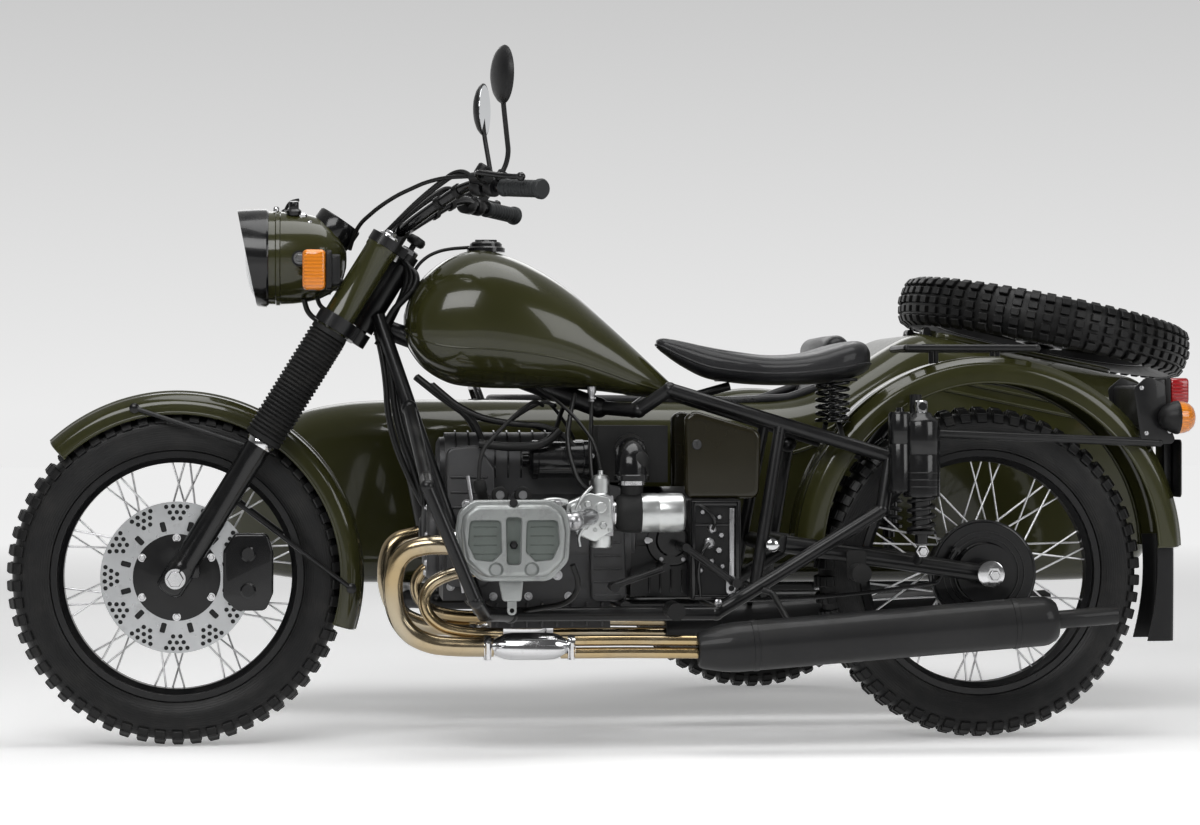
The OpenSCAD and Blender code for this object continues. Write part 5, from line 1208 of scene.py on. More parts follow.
class OUTFIT_OT_tank(bpy.types.Operator):
    """Builds the teardrop tank with its seam, tunnel, cap and taps"""

    bl_idname = "outfit.tank"
    bl_label = "Fuel tank"

    def execute(self, context):
        half = 0.1495

        def section(row, v):
            spot = oval(row, v, half, 0.42, 0.84)
            return spot

        def core(row):
            return bike(row[0] * MM, 0, (row[2] + 0.42 * (row[3] - row[2])) * MM)

        tank = lofted("tank", TANK_ROWS, section, core, 84, 72)
        line = []
        for k in range(31):
            row = catmull(TANK_ROWS, k / 30)
            line.append(oval((row[0], row[1], row[2], row[3]), 0.955, half - 0.0008, 0.42, 0.84))
        seam = tube("tank_seam", line, 0.0022, 0.02, 6, 1)
        other = mirrored(seam, "tank_seam_right")
        tunnel = slab("tunnel", [(0.700, 0.300), (1.30, 0.300), (1.30, 0.624), (1.19, 0.560), (0.780, 0.384), (0.700, 0.352)], 0.052, side_plane(0.026), 0)
        cut(tank, tunnel)
        done(joined("teardrop_tank", tank, seam, other), "chassis", "olive", "olive_paint", "fuel_tank")
        at = bike(1.009, 0, 0.6536)
        neck = lathe("neck", [(0, -0.004), (0.0385, -0.004), (0.0385, 0.004), (0.035, 0.007), (0, 0.007)], at, (0, 0, 1), 48)
        cap = lathe("cap", [(0, 0.006), (0.0325, 0.006), (0.0325, 0.013), (0.029, 0.0165), (0.012, 0.0185), (0.010, 0.0215), (0, 0.0215)], at, (0, 0, 1), 28)
        tang = block("cap_tang", at + Vector((-0.022, -0.004, 0.0165)), at + Vector((0.022, 0.004, 0.0218)), 0.0015)
        done(joined("tank_cap", neck, cap, tang), "chassis", "black_gloss", "black_paint", "fuel_cap", smooth=30)
        tap = lathe("tap", [(0, 0), (0.009, 0), (0.009, -0.012), (0.006, -0.016), (0.006, -0.030), (0, -0.030)], bike(0.800, 0.062, 0.378), (0, 0, 1), 20)
        lever = block("tap_lever", bike(0.794, 0.066, 0.352), bike(0.806, 0.092, 0.357), 0.002)
        hose = tube("fuel_hose", [bike(0.800, 0.062, 0.349), bike(0.802, 0.070, 0.300), bike(0.812, 0.150, 0.250), bike(0.812, 0.200, 0.196), bike(0.806, 0.214, 0.172)], 0.0042, 0.05, 10, 6)
        done(joined("fuel_tap", tap, lever), "chassis", "steel", "bright_steel")
        done(hose, "chassis", "cable", "soft_rubber")
        lines = [tube("breather", [bike(1.038, 0, 0.660), bike(1.083, 0, 0.6565), bike(1.110, 0, 0.650), bike(1.135, 0, 0.636), bike(1.156, 0, 0.610), bike(1.160, 0, 0.560)], 0.0035, 0.03, 8, 6)]
        for side in (1, -1):
            for k in range(3):
                lines.append(tube(f"head_loom_{side}_{k}", [bike(1.228 - 0.004 * k, side * (0.020 + 0.006 * k), 0.462), bike(1.196 + 0.006 * k, side * (0.022 + 0.007 * k), 0.520), bike(1.172 - 0.009 * k, side * (0.026 + 0.008 * k), 0.575), bike(1.166 - 0.009 * k, side * (0.024 + 0.006 * k), 0.612 - 0.006 * k), bike(1.180 - 0.004 * k, side * 0.016, 0.640 - 0.008 * k)], 0.0068, 0.03, 10, 6))
        done(joined("head_looms", *lines), "chassis", "cable", "soft_rubber")
        return {"FINISHED"}


def side_plane(y):
    """A matrix whose slab starts at y and goes inwards, with x forward and z up in its outline."""
    return Matrix(((1, 0, 0, REAR.x), (0, 0, -1, REAR.y + y), (0, 1, 0, REAR.z), (0, 0, 0, 1)))


def rounded_polygon(corners, radius, steps=6):
    """A polygon with its corners, given anticlockwise, rounded."""
    made = []
    count = len(corners)
    for i, corner in enumerate(corners):
        here = Vector(corner)
        back = (Vector(corners[i - 1]) - here).normalized()
        on = (Vector(corners[(i + 1) % count]) - here).normalized()
        half = math.acos(max(-1, min(1, back.dot(on)))) / 2
        away = radius / math.tan(half)
        a, b = here + back * away, here + on * away
        centre = here + (back + on).normalized() * (radius / math.sin(half))
        for k in range(steps + 1):
            spot = a.lerp(b, k / steps) - centre
            made.append(tuple(centre + spot.normalized() * radius))
    return made


def coil(name, at, radius, wire, low, high, turns, around=8):
    """A spring standing on a place, from one height to another."""
    steps = int(turns * 16)
    points = []
    for k in range(steps + 1):
        t = 2 * math.pi * turns * k / steps
        points.append(at + Vector((radius * math.cos(t), radius * math.sin(t), low + (high - low) * k / steps)))
    return tube(name, points, wire, radius * 0.18, around, 1)


class OUTFIT_OT_saddle(bpy.types.Operator):
    """Builds the sprung saddle with its raised back, welt, springs and post"""

    bl_idname = "outfit.saddle"
    bl_label = "Saddle"

    def execute(self, context):
        half = 0.1445

        def section(row, v):
            spot = oval(row, v, half, 0.42, 0.72)
            across_seat = abs(spot.y - REAR.y) / max(0.001, half * row[1])
            if 0 < v < 0.5:
                lip = max(0.0, 1 - (row[0] - 236) / 110) * 9
                dish = 8 * max(0.0, 1 - abs(row[0] - 350) / 150) * (1 - across_seat ** 2)
                groove = 2.2 * math.exp(-(((across_seat - 0.62) / 0.035) ** 2)) + 1.6 * math.exp(-((across_seat / 0.03) ** 2))
                spot.z += (lip * (0.4 + 0.6 * across_seat ** 2) - dish - groove) * MM
            return spot

        def core(row):
            return bike(row[0] * MM, 0, (row[2] + 0.42 * (row[3] - row[2])) * MM)

        seat = lofted("seat", SADDLE_ROWS, section, core, 80, 96, 0.03)
        welt_line = []
        for side in (1, -1):
            run = []
            for k in range(41):
                row = catmull(SADDLE_ROWS, k / 40)
                run.append(oval(row, 0.985 if side > 0 else 0.515, half + 0.0004, 0.42, 0.72))
            welt_line += run if side > 0 else run[::-1]
        welt = loop_tube("welt", welt_line, 0.0024)
        seat = joined("sprung_saddle", seat, welt)
        done(seat, "chassis", "leather", "black_leather", "saddle")
        wires, posts = [], []
        for side in (1, -1):
            foot = bike(0.300, side * 0.078, 0.306)
            wires.append(coil(f"spring_{side}", foot, 0.0195, 0.0034, 0.004, 0.082, 5.5))
            for z in (0.0, 0.0835):
                posts.append(lathe(f"spring_cup_{side}_{z}", [(0, z), (0.0235, z), (0.0235, z + 0.0022), (0, z + 0.0022)], foot, (0, 0, 1), 32))
            posts.append(tube(f"spring_arm_{side}", [foot + Vector((0, 0, -0.002)), bike(0.300, side * 0.1237, 0.272)], 0.0055, 0.01, 10, 1))
            nose = bike(0.596, side * 0.080, 0.357)
            posts.append(tube(f"nose_bar_{side}", [bike(0.596, 0, 0.357), nose], 0.009, 0.01, 12, 1))
        posts.append(tube("nose_link", [bike(0.512, 0, 0.380), bike(0.596, 0, 0.357)], 0.009, 0.01, 12, 1))
        pan = slab("seat_pan", rounded_polygon([(0.262, -0.098), (0.420, -0.094), (0.540, -0.040), (0.540, 0.040), (0.420, 0.094), (0.262, 0.098)], 0.022), 0.006, Matrix.Translation(bike(0, 0, 0.3895)), 0.0015)
        done(joined("saddle_springs", *wires), "chassis", "black_gloss", "black_paint")
        done(joined("saddle_irons", pan, *posts), "chassis", "black", "black_paint", "saddle_frame")
        return {"FINISHED"}


class OUTFIT_OT_covers(bpy.types.Operator):
    """Builds the side covers, their locks and what shows of the battery boxes"""

    bl_idname = "outfit.covers"
    bl_label = "Side covers"

    def execute(self, context):
        outline = rounded_polygon([(0.470, 0.150), (0.620, 0.150), (0.622, 0.336), (0.466, 0.290)], 0.024)
        outline = [(min(x, 0.6195), max(z, 0.1545)) for x, z in outline]
        inner = [(0.545 + (x - 0.545) * 0.86, 0.232 + (z - 0.232) * 0.84) for x, z in outline]
        shell = slab("cover", outline, 0.027, side_plane(0.1305), 0.009, 5)
        dish = slab("dish", inner, 0.003, side_plane(0.1325), 0)
        cut(shell, dish)
        other = mirrored(shell, "cover_right")
        # The side covers wear the darkened olive, painted shade for the dark surroundings they reflect.
        done(joined("tool_covers", shell, other), "chassis", "cover", "olive_paint", "side_covers")
        lock = lathe("lock", [(0, 0), (0.010, 0), (0.010, 0.002), (0.0085, 0.0035), (0, 0.0035)], bike(0.596, 0.1292, 0.262), (0, 1, 0), 28)
        slot = block("slot", bike(0.5945, 0.1310, 0.257), bike(0.5975, 0.1340, 0.267), 0)
        cut(lock, slot)
        other = mirrored(lock, "lock_right")
        done(joined("cover_locks", lock, other), "chassis", "grey_alloy", "bright_steel")
        face = 0.134
        bits = []
        for x, z, d in ((0.552, 0.118, 0.006), (0.566, 0.094, 0.009), (0.548, 0.082, 0.007), (0.572, 0.066, 0.011), (0.553, 0.052, 0.008), (0.568, 0.030, 0.007), (0.546, 0.020, 0.006), (0.590, 0.012, 0.006), (0.586, 0.128, 0.006)):
            bits.append(lathe(f"terminal_{x}_{z}", [(0, 0), (d, 0), (d, 0.005), (d * 0.7, 0.008), (0, 0.008)], bike(x, face - 0.001, z), (0, 1, 0), 8 if d > 0.008 else 6))
        bits.append(block("strap", bike(0.522, face + 0.0005, -0.010), bike(0.532, face + 0.006, 0.136), 0.0015))
        clasp = slab("clasp", round_outline(0.022, 0.040, 0.010, 6, 0.528, -0.018), 0.005, side_plane(face + 0.007), 0.0015)
        cut(clasp, lathe("eye", [(0, -0.05), (0.006, -0.05), (0.006, 0.05), (0, 0.05)], bike(0.528, face, -0.024), (0, 1, 0), 20))
        bits.append(clasp)
        frames = [block("edge_top", bike(0.514, face - 0.001, 0.140), bike(0.606, face + 0.009, 0.150), 0.002), block("edge_low", bike(0.514, face - 0.001, -0.046), bike(0.606, face + 0.009, -0.037), 0.002)]
        frames += [block(f"edge_{x}", bike(x, face - 0.001, -0.046), bike(x + 0.008, face + 0.009, 0.150), 0.002) for x in (0.512, 0.600)]
        frames.append(block("shelf", bike(0.514, face - 0.001, 0.100), bike(0.606, face + 0.003, 0.106), 0.001))
        frames += [tube(f"battery_lead_{k}", [bike(*q) for q in run], 0.0035, 0.02, 8, 5) for k, run in enumerate((
            ((0.566, face + 0.006, 0.094), (0.560, face + 0.016, 0.110), (0.575, face + 0.012, 0.132), (0.600, face + 0.004, 0.146)),
            ((0.572, face + 0.006, 0.066), (0.588, face + 0.016, 0.052), (0.596, face + 0.012, 0.010), (0.590, face + 0.006, -0.040)),
        ))]
        left_frame = joined("battery_frame_left", *frames)
        done(joined("battery_frames", left_frame, mirrored(left_frame, "battery_frame_right")), "chassis", "black_gloss", "black_paint")
        left = joined("battery_metal_left", *bits)
        right = mirrored(left, "battery_metal_right")
        done(joined("battery_fittings", left, right), "chassis", "steel", "bright_steel")
        return {"FINISHED"}


class OUTFIT_OT_engine(bpy.types.Operator):
    """Builds the valve covers, the front cover, ribs, plugs and bolts"""

    bl_idname = "outfit.engine"
    bl_label = "Engine"

    def valve_cover(self, name, x):
        y = 0.370
        corners = [
            (0.1095, 0.022), (0.104, 0.056), (0.078, 0.0775), (-0.070, 0.0775), (-0.102, 0.060), (-0.1095, 0.020),
            (-0.106, -0.040), (-0.070, -0.0775), (0.062, -0.0775), (0.102, -0.042),
        ]
        outline = rounded_polygon(corners, 0.030, 5)
        base = slab("base", [(x + a, 0.082 + b) for a, b in outline], 0.0310, side_plane(y - 0.0145), 0.0045, 4)
        crown = slab("crown", [(x + a * 0.92, 0.082 + b * 0.895) for a, b in outline], 0.030, side_plane(y), 0.011, 6)
        for side in (1, -1):
            pocket = rounded_polygon([(side * a, b) for a, b in ((0.024, 0.040), (0.084, 0.040), (0.088, -0.006), (0.074, -0.036), (0.040, -0.040), (0.022, -0.022))], 0.008, 4)
            cut(crown, slab("pocket", [(x + a, 0.082 + b) for a, b in pocket], 0.0095, side_plane(y + 0.0004), 0))
        groove = rounded_polygon([(x - 0.014, 0.036), (x + 0.014, 0.036), (x + 0.016, 0.128), (x - 0.016, 0.128)], 0.007)
        cut(crown, slab("groove", groove, 0.0145, side_plane(y + 0.0004), 0))
        notch = lathe("notch", [(0, -0.06), (0.015, -0.06), (0.015, 0.06), (0, 0.06)], bike(x, y, 0.160), (0, 1, 0), 28)
        cut(crown, notch)
        for dent in (-0.034, 0.034):
            cut(crown, lathe("dent", [(0, -0.007), (0.010, -0.0065), (0.0145, 0), (0.0145, 0.02), (0, 0.02)], bike(x + dent, y - 0.001, 0.0275), (0, 1, 0), 24))
        foot = slab("foot", rounded_polygon([(x - 0.016, -0.034), (x + 0.020, -0.034), (x + 0.028, 0.008), (x - 0.020, 0.008)], 0.006), 0.010, side_plane(y - 0.024), 0.002)
        eye = slab("eye", round_outline(0.018, 0.034, 0.0085, 6, x + 0.002, -0.044), 0.005, side_plane(y - 0.0265), 0.001)
        hole = lathe("hole", [(0, -0.05), (0.0045, -0.05), (0.0045, 0.05), (0, 0.05)], bike(x + 0.002, y - 0.03, -0.052), (0, 1, 0), 20)
        cut(eye, hole)
        return joined(name, base, crown, foot, eye)

    def outside(self, context):
        """The castings, straps, pipes and leads that lie on the crankcase."""
        castings, black, bright, leads = [], [], [], []
        for side in (1, -1):
            face = side_plane(0.1120) if side > 0 else side_plane(-0.0960)
            nose = rounded_polygon([(1.094, -0.020), (1.094, 0.255), (1.030, 0.262), (0.998, 0.215), (0.992, 0.060), (1.010, -0.020)], 0.016, 4)
            castings.append(slab(f"nose_casting_{side}", nose, 0.016, face, 0.005))
            bell = rounded_polygon([(0.806, -0.050), (0.812, 0.170), (0.790, 0.186), (0.742, 0.178), (0.734, -0.050)], 0.014, 4)
            castings.append(slab(f"bell_casting_{side}", bell, 0.015, face, 0.005))
            for k in range(6):
                z = 0.195 - 0.030 * k
                castings.append(block(f"nose_rib_{side}_{k}", bike(1.012, side * 0.104 - 0.010, z), bike(1.086, side * 0.104 + 0.011, z + 0.005), 0.0018, 1))
            for k in range(7):
                z = -0.040 + 0.026 * k
                castings.append(block(f"bell_rib_{side}_{k}", bike(0.746, side * 0.104 - 0.010, z), bike(0.800, side * 0.104 + 0.011, z + 0.0045), 0.0016, 1))
        for k in range(9):
            x = 0.862 + 0.026 * k
            black.append(lathe(f"case_fin_{k}", [(0.060, 0), (0.0705, 0.001), (0.0705, 0.004), (0.060, 0.005)], bike(x, 0, 0.220), (1, 0, 0), 56, closed=True))
        starter = lathe("starter", [(0, 0), (0.034, 0), (0.038, 0.004), (0.038, 0.020), (0.036, 0.022), (0.036, 0.110), (0.039, 0.112), (0.039, 0.122), (0.030, 0.128), (0.014, 0.130), (0.014, 0.142), (0, 0.142)], bike(0.800, 0.092, 0.232), (1, 0, 0), 44)
        black.append(starter)
        black.append(copy_of(starter, "starter_right", Matrix.Translation((0, -0.184, 0))))
        for side in (1, -1):
            bright.append(lathe(f"starter_stud_{side}", [(0, 0), (0.005, 0), (0.005, 0.012), (0, 0.012)], bike(0.806, side * 0.122, 0.240), (0, side, 0), 10))
            bright.append(tube(f"oil_pipe_{side}", [bike(1.060, side * 0.114, -0.030), bike(1.070, side * 0.132, 0.020), bike(1.040, side * 0.136, 0.120), bike(1.052, side * 0.124, 0.200)], 0.0045, 0.03, 10, 6))
            leads.append(tube(f"throttle_cable_{side}", [bike(0.798, side * 0.226, 0.214), bike(0.806, side * 0.218, 0.262), bike(0.850, side * 0.150, 0.330), bike(0.910, side * 0.070, 0.376)], 0.0035, 0.05, 8, 6))
            leads.append(tube(f"fuel_hose_{side}", [bike(0.812, side * 0.240, 0.165), bike(0.842, side * 0.236, 0.190), bike(0.862, side * 0.180, 0.262), bike(0.846, side * 0.110, 0.330), bike(0.836, side * 0.080, 0.362)], 0.0048, 0.05, 10, 6))
            leads.append(tube(f"vent_hose_{side}", [bike(1.020, side * 0.060, 0.270), bike(1.040, side * 0.070, 0.318), bike(1.092, side * 0.062, 0.352), bike(1.150, side * 0.040, 0.398)], 0.0065, 0.05, 10, 6))
            leads.append(tube(f"loom_{side}", [bike(0.822, side * 0.110, 0.240), bike(0.880, side * 0.112, 0.300), bike(0.960, side * 0.105, 0.302), bike(1.050, side * 0.085, 0.322), bike(1.120, side * 0.060, 0.382)], 0.0060, 0.06, 10, 6))
            leads.append(tube(f"drain_hose_{side}", [bike(0.862, side * 0.330, 0.034), bike(0.846, side * 0.312, -0.006), bike(0.862, side * 0.262, -0.044), bike(0.920, side * 0.200, -0.058), bike(0.960, side * 0.120, -0.070)], 0.0055, 0.05, 10, 6))
            for k in range(3):
                leads.append(tube(f"head_cable_{side}_{k}", [bike(1.232 - 0.012 * k, side * (0.020 + 0.008 * k), 0.500), bike(1.212 - 0.010 * k, side * (0.036 + 0.008 * k), 0.410), bike(1.206 - 0.016 * k, side * (0.042 + 0.006 * k), 0.300),
                                                                 bike(1.170 - 0.016 * k, side * 0.050, 0.205), bike(1.136, side * (0.040 + 0.010 * k), 0.140)], 0.0055, 0.06, 8, 6))
            leads.append(tube(f"tube_ring_{side}", [bike(0.870, side * 0.120, 0.290), bike(0.900, side * 0.132, 0.262), bike(0.960, side * 0.136, 0.256), bike(1.030, side * 0.128, 0.264)], 0.0085, 0.04, 12, 6))
        done(joined("case_castings", *castings), "chassis", "grey_alloy", "cast_alloy", smooth=34)
        done(joined("starter_and_fins", *black), "chassis", "black_gloss", "black_paint", smooth=34)
        done(joined("engine_pipes", *bright), "chassis", "steel", "bright_steel")
        done(joined("engine_hoses", *leads), "chassis", "cable", "soft_rubber")

    def execute(self, context):
        left = self.valve_cover("left_rocker_cover", 0.977)
        right = self.valve_cover("right_rocker_cover", 0.977)
        shift = Matrix.Translation((0.945 - 0.977, 0, 0))
        right.data.transform(shift)
        flipped = mirrored(right, "right_flipped")
        bpy.data.objects.remove(right)
        done(joined("rocker_covers", left, flipped), "chassis", "alloy", "cast_alloy", "valve_covers", smooth=34)
        floors = []
        for side in (1, -1):
            pocket = rounded_polygon([(0.977 + side * a, 0.082 + b) for a, b in ((0.0255, 0.0385), (0.0825, 0.0385), (0.0865, -0.006), (0.073, -0.0345), (0.041, -0.0385), (0.0235, -0.021))], 0.007, 4)
            floors.append(slab(f"pocket_floor_{side}", pocket, 0.0012, side_plane(0.3628), 0))
            for k in range(4):
                z = 0.082 + 0.026 - 0.017 * k
                floors.append(block(f"pocket_rib_{side}_{k}", bike(0.977 + side * 0.054 - 0.022, 0.3612, z - 0.0012), bike(0.977 + side * 0.054 + 0.022, 0.3642, z + 0.0012), 0.0008, 1))
        floors.append(slab("groove_floor", rounded_polygon([(0.965, 0.038), (0.989, 0.038), (0.991, 0.126), (0.963, 0.126)], 0.006), 0.0012, side_plane(0.3578), 0))
        floor = joined("floor_left", *floors)
        other = mirrored(copy_of(floor, "floor_shifted", Matrix.Translation((0.945 - 0.977, 0, 0))), "floor_right")
        bpy.data.objects.remove(bpy.data.objects["floor_shifted"])
        done(joined("rocker_panels", floor, other), "chassis", "panel_alloy", "cast_alloy")
        nuts, gaskets = [], []
        for side, x in ((1, 0.977), (-1, 0.945)):
            nuts.append(lathe(f"acorn_{side}", [(0, 0), (0.0085, 0), (0.0085, 0.005), (0.0075, 0.007), (0.005, 0.0095), (0, 0.010)], bike(x, side * 0.3608, 0.074), (0, side, 0), 6))
            nuts.append(tube(f"stud_{side}", [bike(x, side * 0.330, 0.154), bike(x, side * 0.362, 0.154)], 0.008, 0.01, 10, 1))
            gaskets.append(slab(f"gasket_{side}", round_outline(0.200, 0.136, 0.040, 8, x, 0.082), 0.004, side_plane(0.3255), 0))
            if side < 0:
                flip = Matrix.Translation((0, 2 * REAR.y, 0)) @ Matrix.Scale(-1, 4, (0, 1, 0))
                gaskets[-1].data.transform(flip)
                gaskets[-1].data.flip_normals()
        done(joined("rocker_nuts", *nuts), "chassis", "black", "black_paint")
        done(joined("head_gaskets", *gaskets), "chassis", "rubber", "soft_rubber")
        front = lathe("front", [(0, 0.020), (0.030, 0.020), (0.034, 0.016), (0.060, 0.013), (0.066, 0.008), (0.088, 0.006), (0.092, 0.0), (0.092, -0.010), (0, -0.010)], bike(1.124, 0, 0.082), (1, 0, 0), 64)
        upper = lathe("upper", [(0, 0.012), (0.046, 0.012), (0.056, 0.006), (0.058, -0.010), (0, -0.010)], bike(1.098, 0, 0.220), (1, 0, 0), 56)
        ribs = [block(f"sump_rib_{k}", bike(0.780 + 0.030 * k, -0.104, -0.100), bike(0.786 + 0.030 * k, 0.104, -0.052), 0.002) for k in range(8)]
        gearcase = lathe("gear_end", [(0, 0.0), (0.085, 0.0), (0.0925, 0.003), (0.0925, 0.010), (0.087, 0.014), (0, 0.014)], bike(0.712, 0, 0.090), (1, 0, 0), 64)
        done(joined("engine_covers", front, upper, gearcase, *ribs), "chassis", "grey_alloy", "cast_alloy", smooth=34)
        places = [bike(1.131, 0.079 * math.cos(t), 0.082 + 0.079 * math.sin(t)) for t in (2 * math.pi * k / 8 for k in range(8))]
        heads = bolts("front_bolts", places, (1, 0, 0), 0.006, 0.005)
        sides = []
        for side in (1, -1):
            spots = [bike(x, side * 0.0975, z) for x, z in ((0.760, -0.030), (0.760, 0.010), (0.850, -0.040), (0.930, -0.040), (1.000, -0.040), (1.085, -0.020))]
            sides.append(bolts(f"case_bolts_{side}", spots, (0, side, 0), 0.006, 0.005))
            spots = [bike(x, side * 0.3205, z) for x, z in ((0.890, 0.150), (0.890, 0.014), (1.064, 0.150), (1.064, 0.014))]
            if side > 0:
                sides.append(bolts("head_bolts", spots, (0, side, 0), 0.007, 0.004))
        done(joined("engine_bolts", heads, *sides), "chassis", "steel", "bright_steel")
        tubes, boots = [], []
        for side, x in ((1, 0.977), (-1, 0.945)):
            for dx in (-0.022, 0.022):
                tubes.append(tube(f"rod_tube_{side}_{dx}", [bike(x + dx, side * 0.100, 0.158), bike(x + dx, side * 0.300, 0.168)], 0.0105, 0.01, 12, 1))
                boots.append(lathe(f"tube_boot_{side}_{dx}", [(0.0085, 0), (0.0165, 0), (0.0165, 0.012), (0.0145, 0.016), (0.0085, 0.016)], bike(x + dx, side * 0.290, 0.1675), (0, side, 0), 28, closed=True))
            boots.append(lathe(f"plug_{side}", [(0, 0), (0.010, 0), (0.010, 0.026), (0.0125, 0.030), (0.0125, 0.046), (0.009, 0.052), (0, 0.052)], bike(x + 0.052, side * 0.300, 0.148), (0.25, side * 0.25, 1), 20))
            boots.append(tube(f"plug_lead_{side}", [bike(x + 0.064, side * 0.312, 0.196), bike(x + 0.060, side * 0.300, 0.250), bike(x - 0.010, side * 0.200, 0.320), bike(x - 0.060, side * 0.090, 0.350), bike(x - 0.080, side * 0.040, 0.340)], 0.0038, 0.06, 8, 6))
        done(joined("pushrod_tubes", *tubes), "chassis", "steel", "bright_steel")
        self.outside(context)
        done(joined("spark_caps", *boots), "chassis", "rubber", "soft_rubber")
        return {"FINISHED"}


class OUTFIT_OT_intake(bpy.types.Operator):
    """Builds the filter canisters, their elbows and the carburettors' trim"""

    bl_idname = "outfit.intake"
    bl_label = "Intake"

    def execute(self, context):
        shell = lathe(
            "can", [(0, 0.0), (0.022, 0.0), (0.032, 0.0015), (0.0375, 0.006), (0.0385, 0.012), (0.0385, 0.050), (0.0378, 0.052), (0.0378, 0.055),
                    (0.0385, 0.057), (0.0385, 0.087), (0, 0.087)], bike(0.632, 0.226, 0.130), (1, 0, 0), 64)
        other = mirrored(shell, "can_right")
        done(joined("bright_canisters", shell, other), "chassis", "satin", "bright_steel", "intake_canisters")
        elbow = lathe("elbow", [(0, 0.088), (0.0389, 0.088), (0.0389, 0.114), (0.0375, 0.124), (0.033, 0.133), (0.024, 0.139), (0.012, 0.1408), (0, 0.1408)], bike(0.632, 0.226, 0.130), (1, 0, 0), 56)
        stem = tube("stem", [bike(0.736, 0.221, 0.140), bike(0.736, 0.220, 0.192)], 0.0225, 0.01, 20, 1)
        band = lathe("band", [(0.0220, 0), (0.0262, 0), (0.0262, 0.008), (0.0220, 0.008)], bike(0.736, 0.2202, 0.184), (0, 0, 1), 32, closed=True)
        dark = joined("elbow_left", elbow, stem)
        bright = band
        dark_r, bright_r = mirrored(dark, "elbow_right"), mirrored(bright, "band_right")
        done(joined("canister_elbows", dark, dark_r), "chassis", "rubber", "soft_rubber")
        boot = tube("boot", [bike(0.736, 0.220, 0.1925), bike(0.736, 0.216, 0.240), bike(0.728, 0.105, 0.252)], 0.0325, 0.045, 20, 8)
        lip = lathe("lip", [(0, 0), (0.0345, 0), (0.0345, 0.010), (0.0325, 0.012), (0, 0.012)], bike(0.736, 0.220, 0.1927), (0, 0, 1), 36)
        boot = joined("boot_left", boot, lip)
        other = mirrored(boot, "boot_right")
        done(joined("intake_boots", boot, other), "chassis", "black_gloss", "black_paint")
        bowl = lathe("bowl", [(0, 0), (0.012, 0), (0.020, 0.003), (0.0225, 0.010), (0.0225, 0.030), (0.025, 0.031), (0.025, 0.036), (0, 0.036)], bike(0.797, 0.226, 0.060), (0, 0, 1), 40)
        dome = lathe("dome", [(0, 0), (0.020, 0), (0.020, 0.003), (0.0175, 0.006), (0.0175, 0.034), (0.014, 0.040), (0.006, 0.042), (0.005, 0.050), (0, 0.051)], bike(0.798, 0.226, 0.163), (0, 0, 1), 32)
        screws = bolts("bowl_screws", [bike(0.797 + dx, 0.2545, 0.112 + dz) for dx in (-0.014, 0.014) for dz in (-0.014, 0.014)], (0, 1, 0), 0.0036, 0.003)
        body = slab("carb_body", rounded_polygon([(0.776, 0.096), (0.812, 0.074), (0.846, 0.088), (0.872, 0.122), (0.866, 0.152), (0.822, 0.170), (0.780, 0.160)], 0.010, 4), 0.030, side_plane(0.2555), 0.004)
        details = [lathe(f"carb_boss_{k}", [(0, 0), (r, 0), (r, h), (r * 0.75, h + 0.002), (0, h + 0.002)], bike(x, 0.254, z), (0, 1, 0), n) for k, (x, z, r, h, n) in enumerate((
            (0.850, 0.138, 0.012, 0.008, 24), (0.832, 0.106, 0.009, 0.010, 6), (0.800, 0.142, 0.011, 0.006, 20), (0.826, 0.148, 0.007, 0.012, 12), (0.796, 0.106, 0.008, 0.007, 6), (0.858, 0.114, 0.006, 0.009, 6)))]
        details.append(tube("choke_arm", [bike(0.850, 0.262, 0.138), bike(0.838, 0.264, 0.164), bike(0.818, 0.262, 0.182)], 0.0032, 0.012, 8, 4))
        details.append(tube("idle_arm", [bike(0.832, 0.264, 0.106), bike(0.846, 0.266, 0.088), bike(0.842, 0.264, 0.066)], 0.0032, 0.012, 8, 4))
        details.append(tube("cross_pipe", [bike(0.866, 0.246, 0.150), bike(0.892, 0.252, 0.156), bike(0.918, 0.262, 0.150)], 0.0075, 0.02, 12, 4))
        trim = joined("carb_left", bowl, dome, screws, body, *details)
        other = mirrored(trim, "carb_right")
        done(joined("carburettor_trim", trim, other), "chassis", "satin", "cast_alloy", smooth=30)
        clamp = lathe("clamp", [(0.0242, 0), (0.0262, 0), (0.0262, 0.008), (0.0242, 0.008)], bike(0.764, 0.226, 0.130), (1, 0, 0), 40, closed=True)
        other = mirrored(clamp, "clamp_right")
        done(joined("intake_bands", clamp, other, bright, bright_r), "chassis", "chrome", "bright_steel")
        return {"FINISHED"}


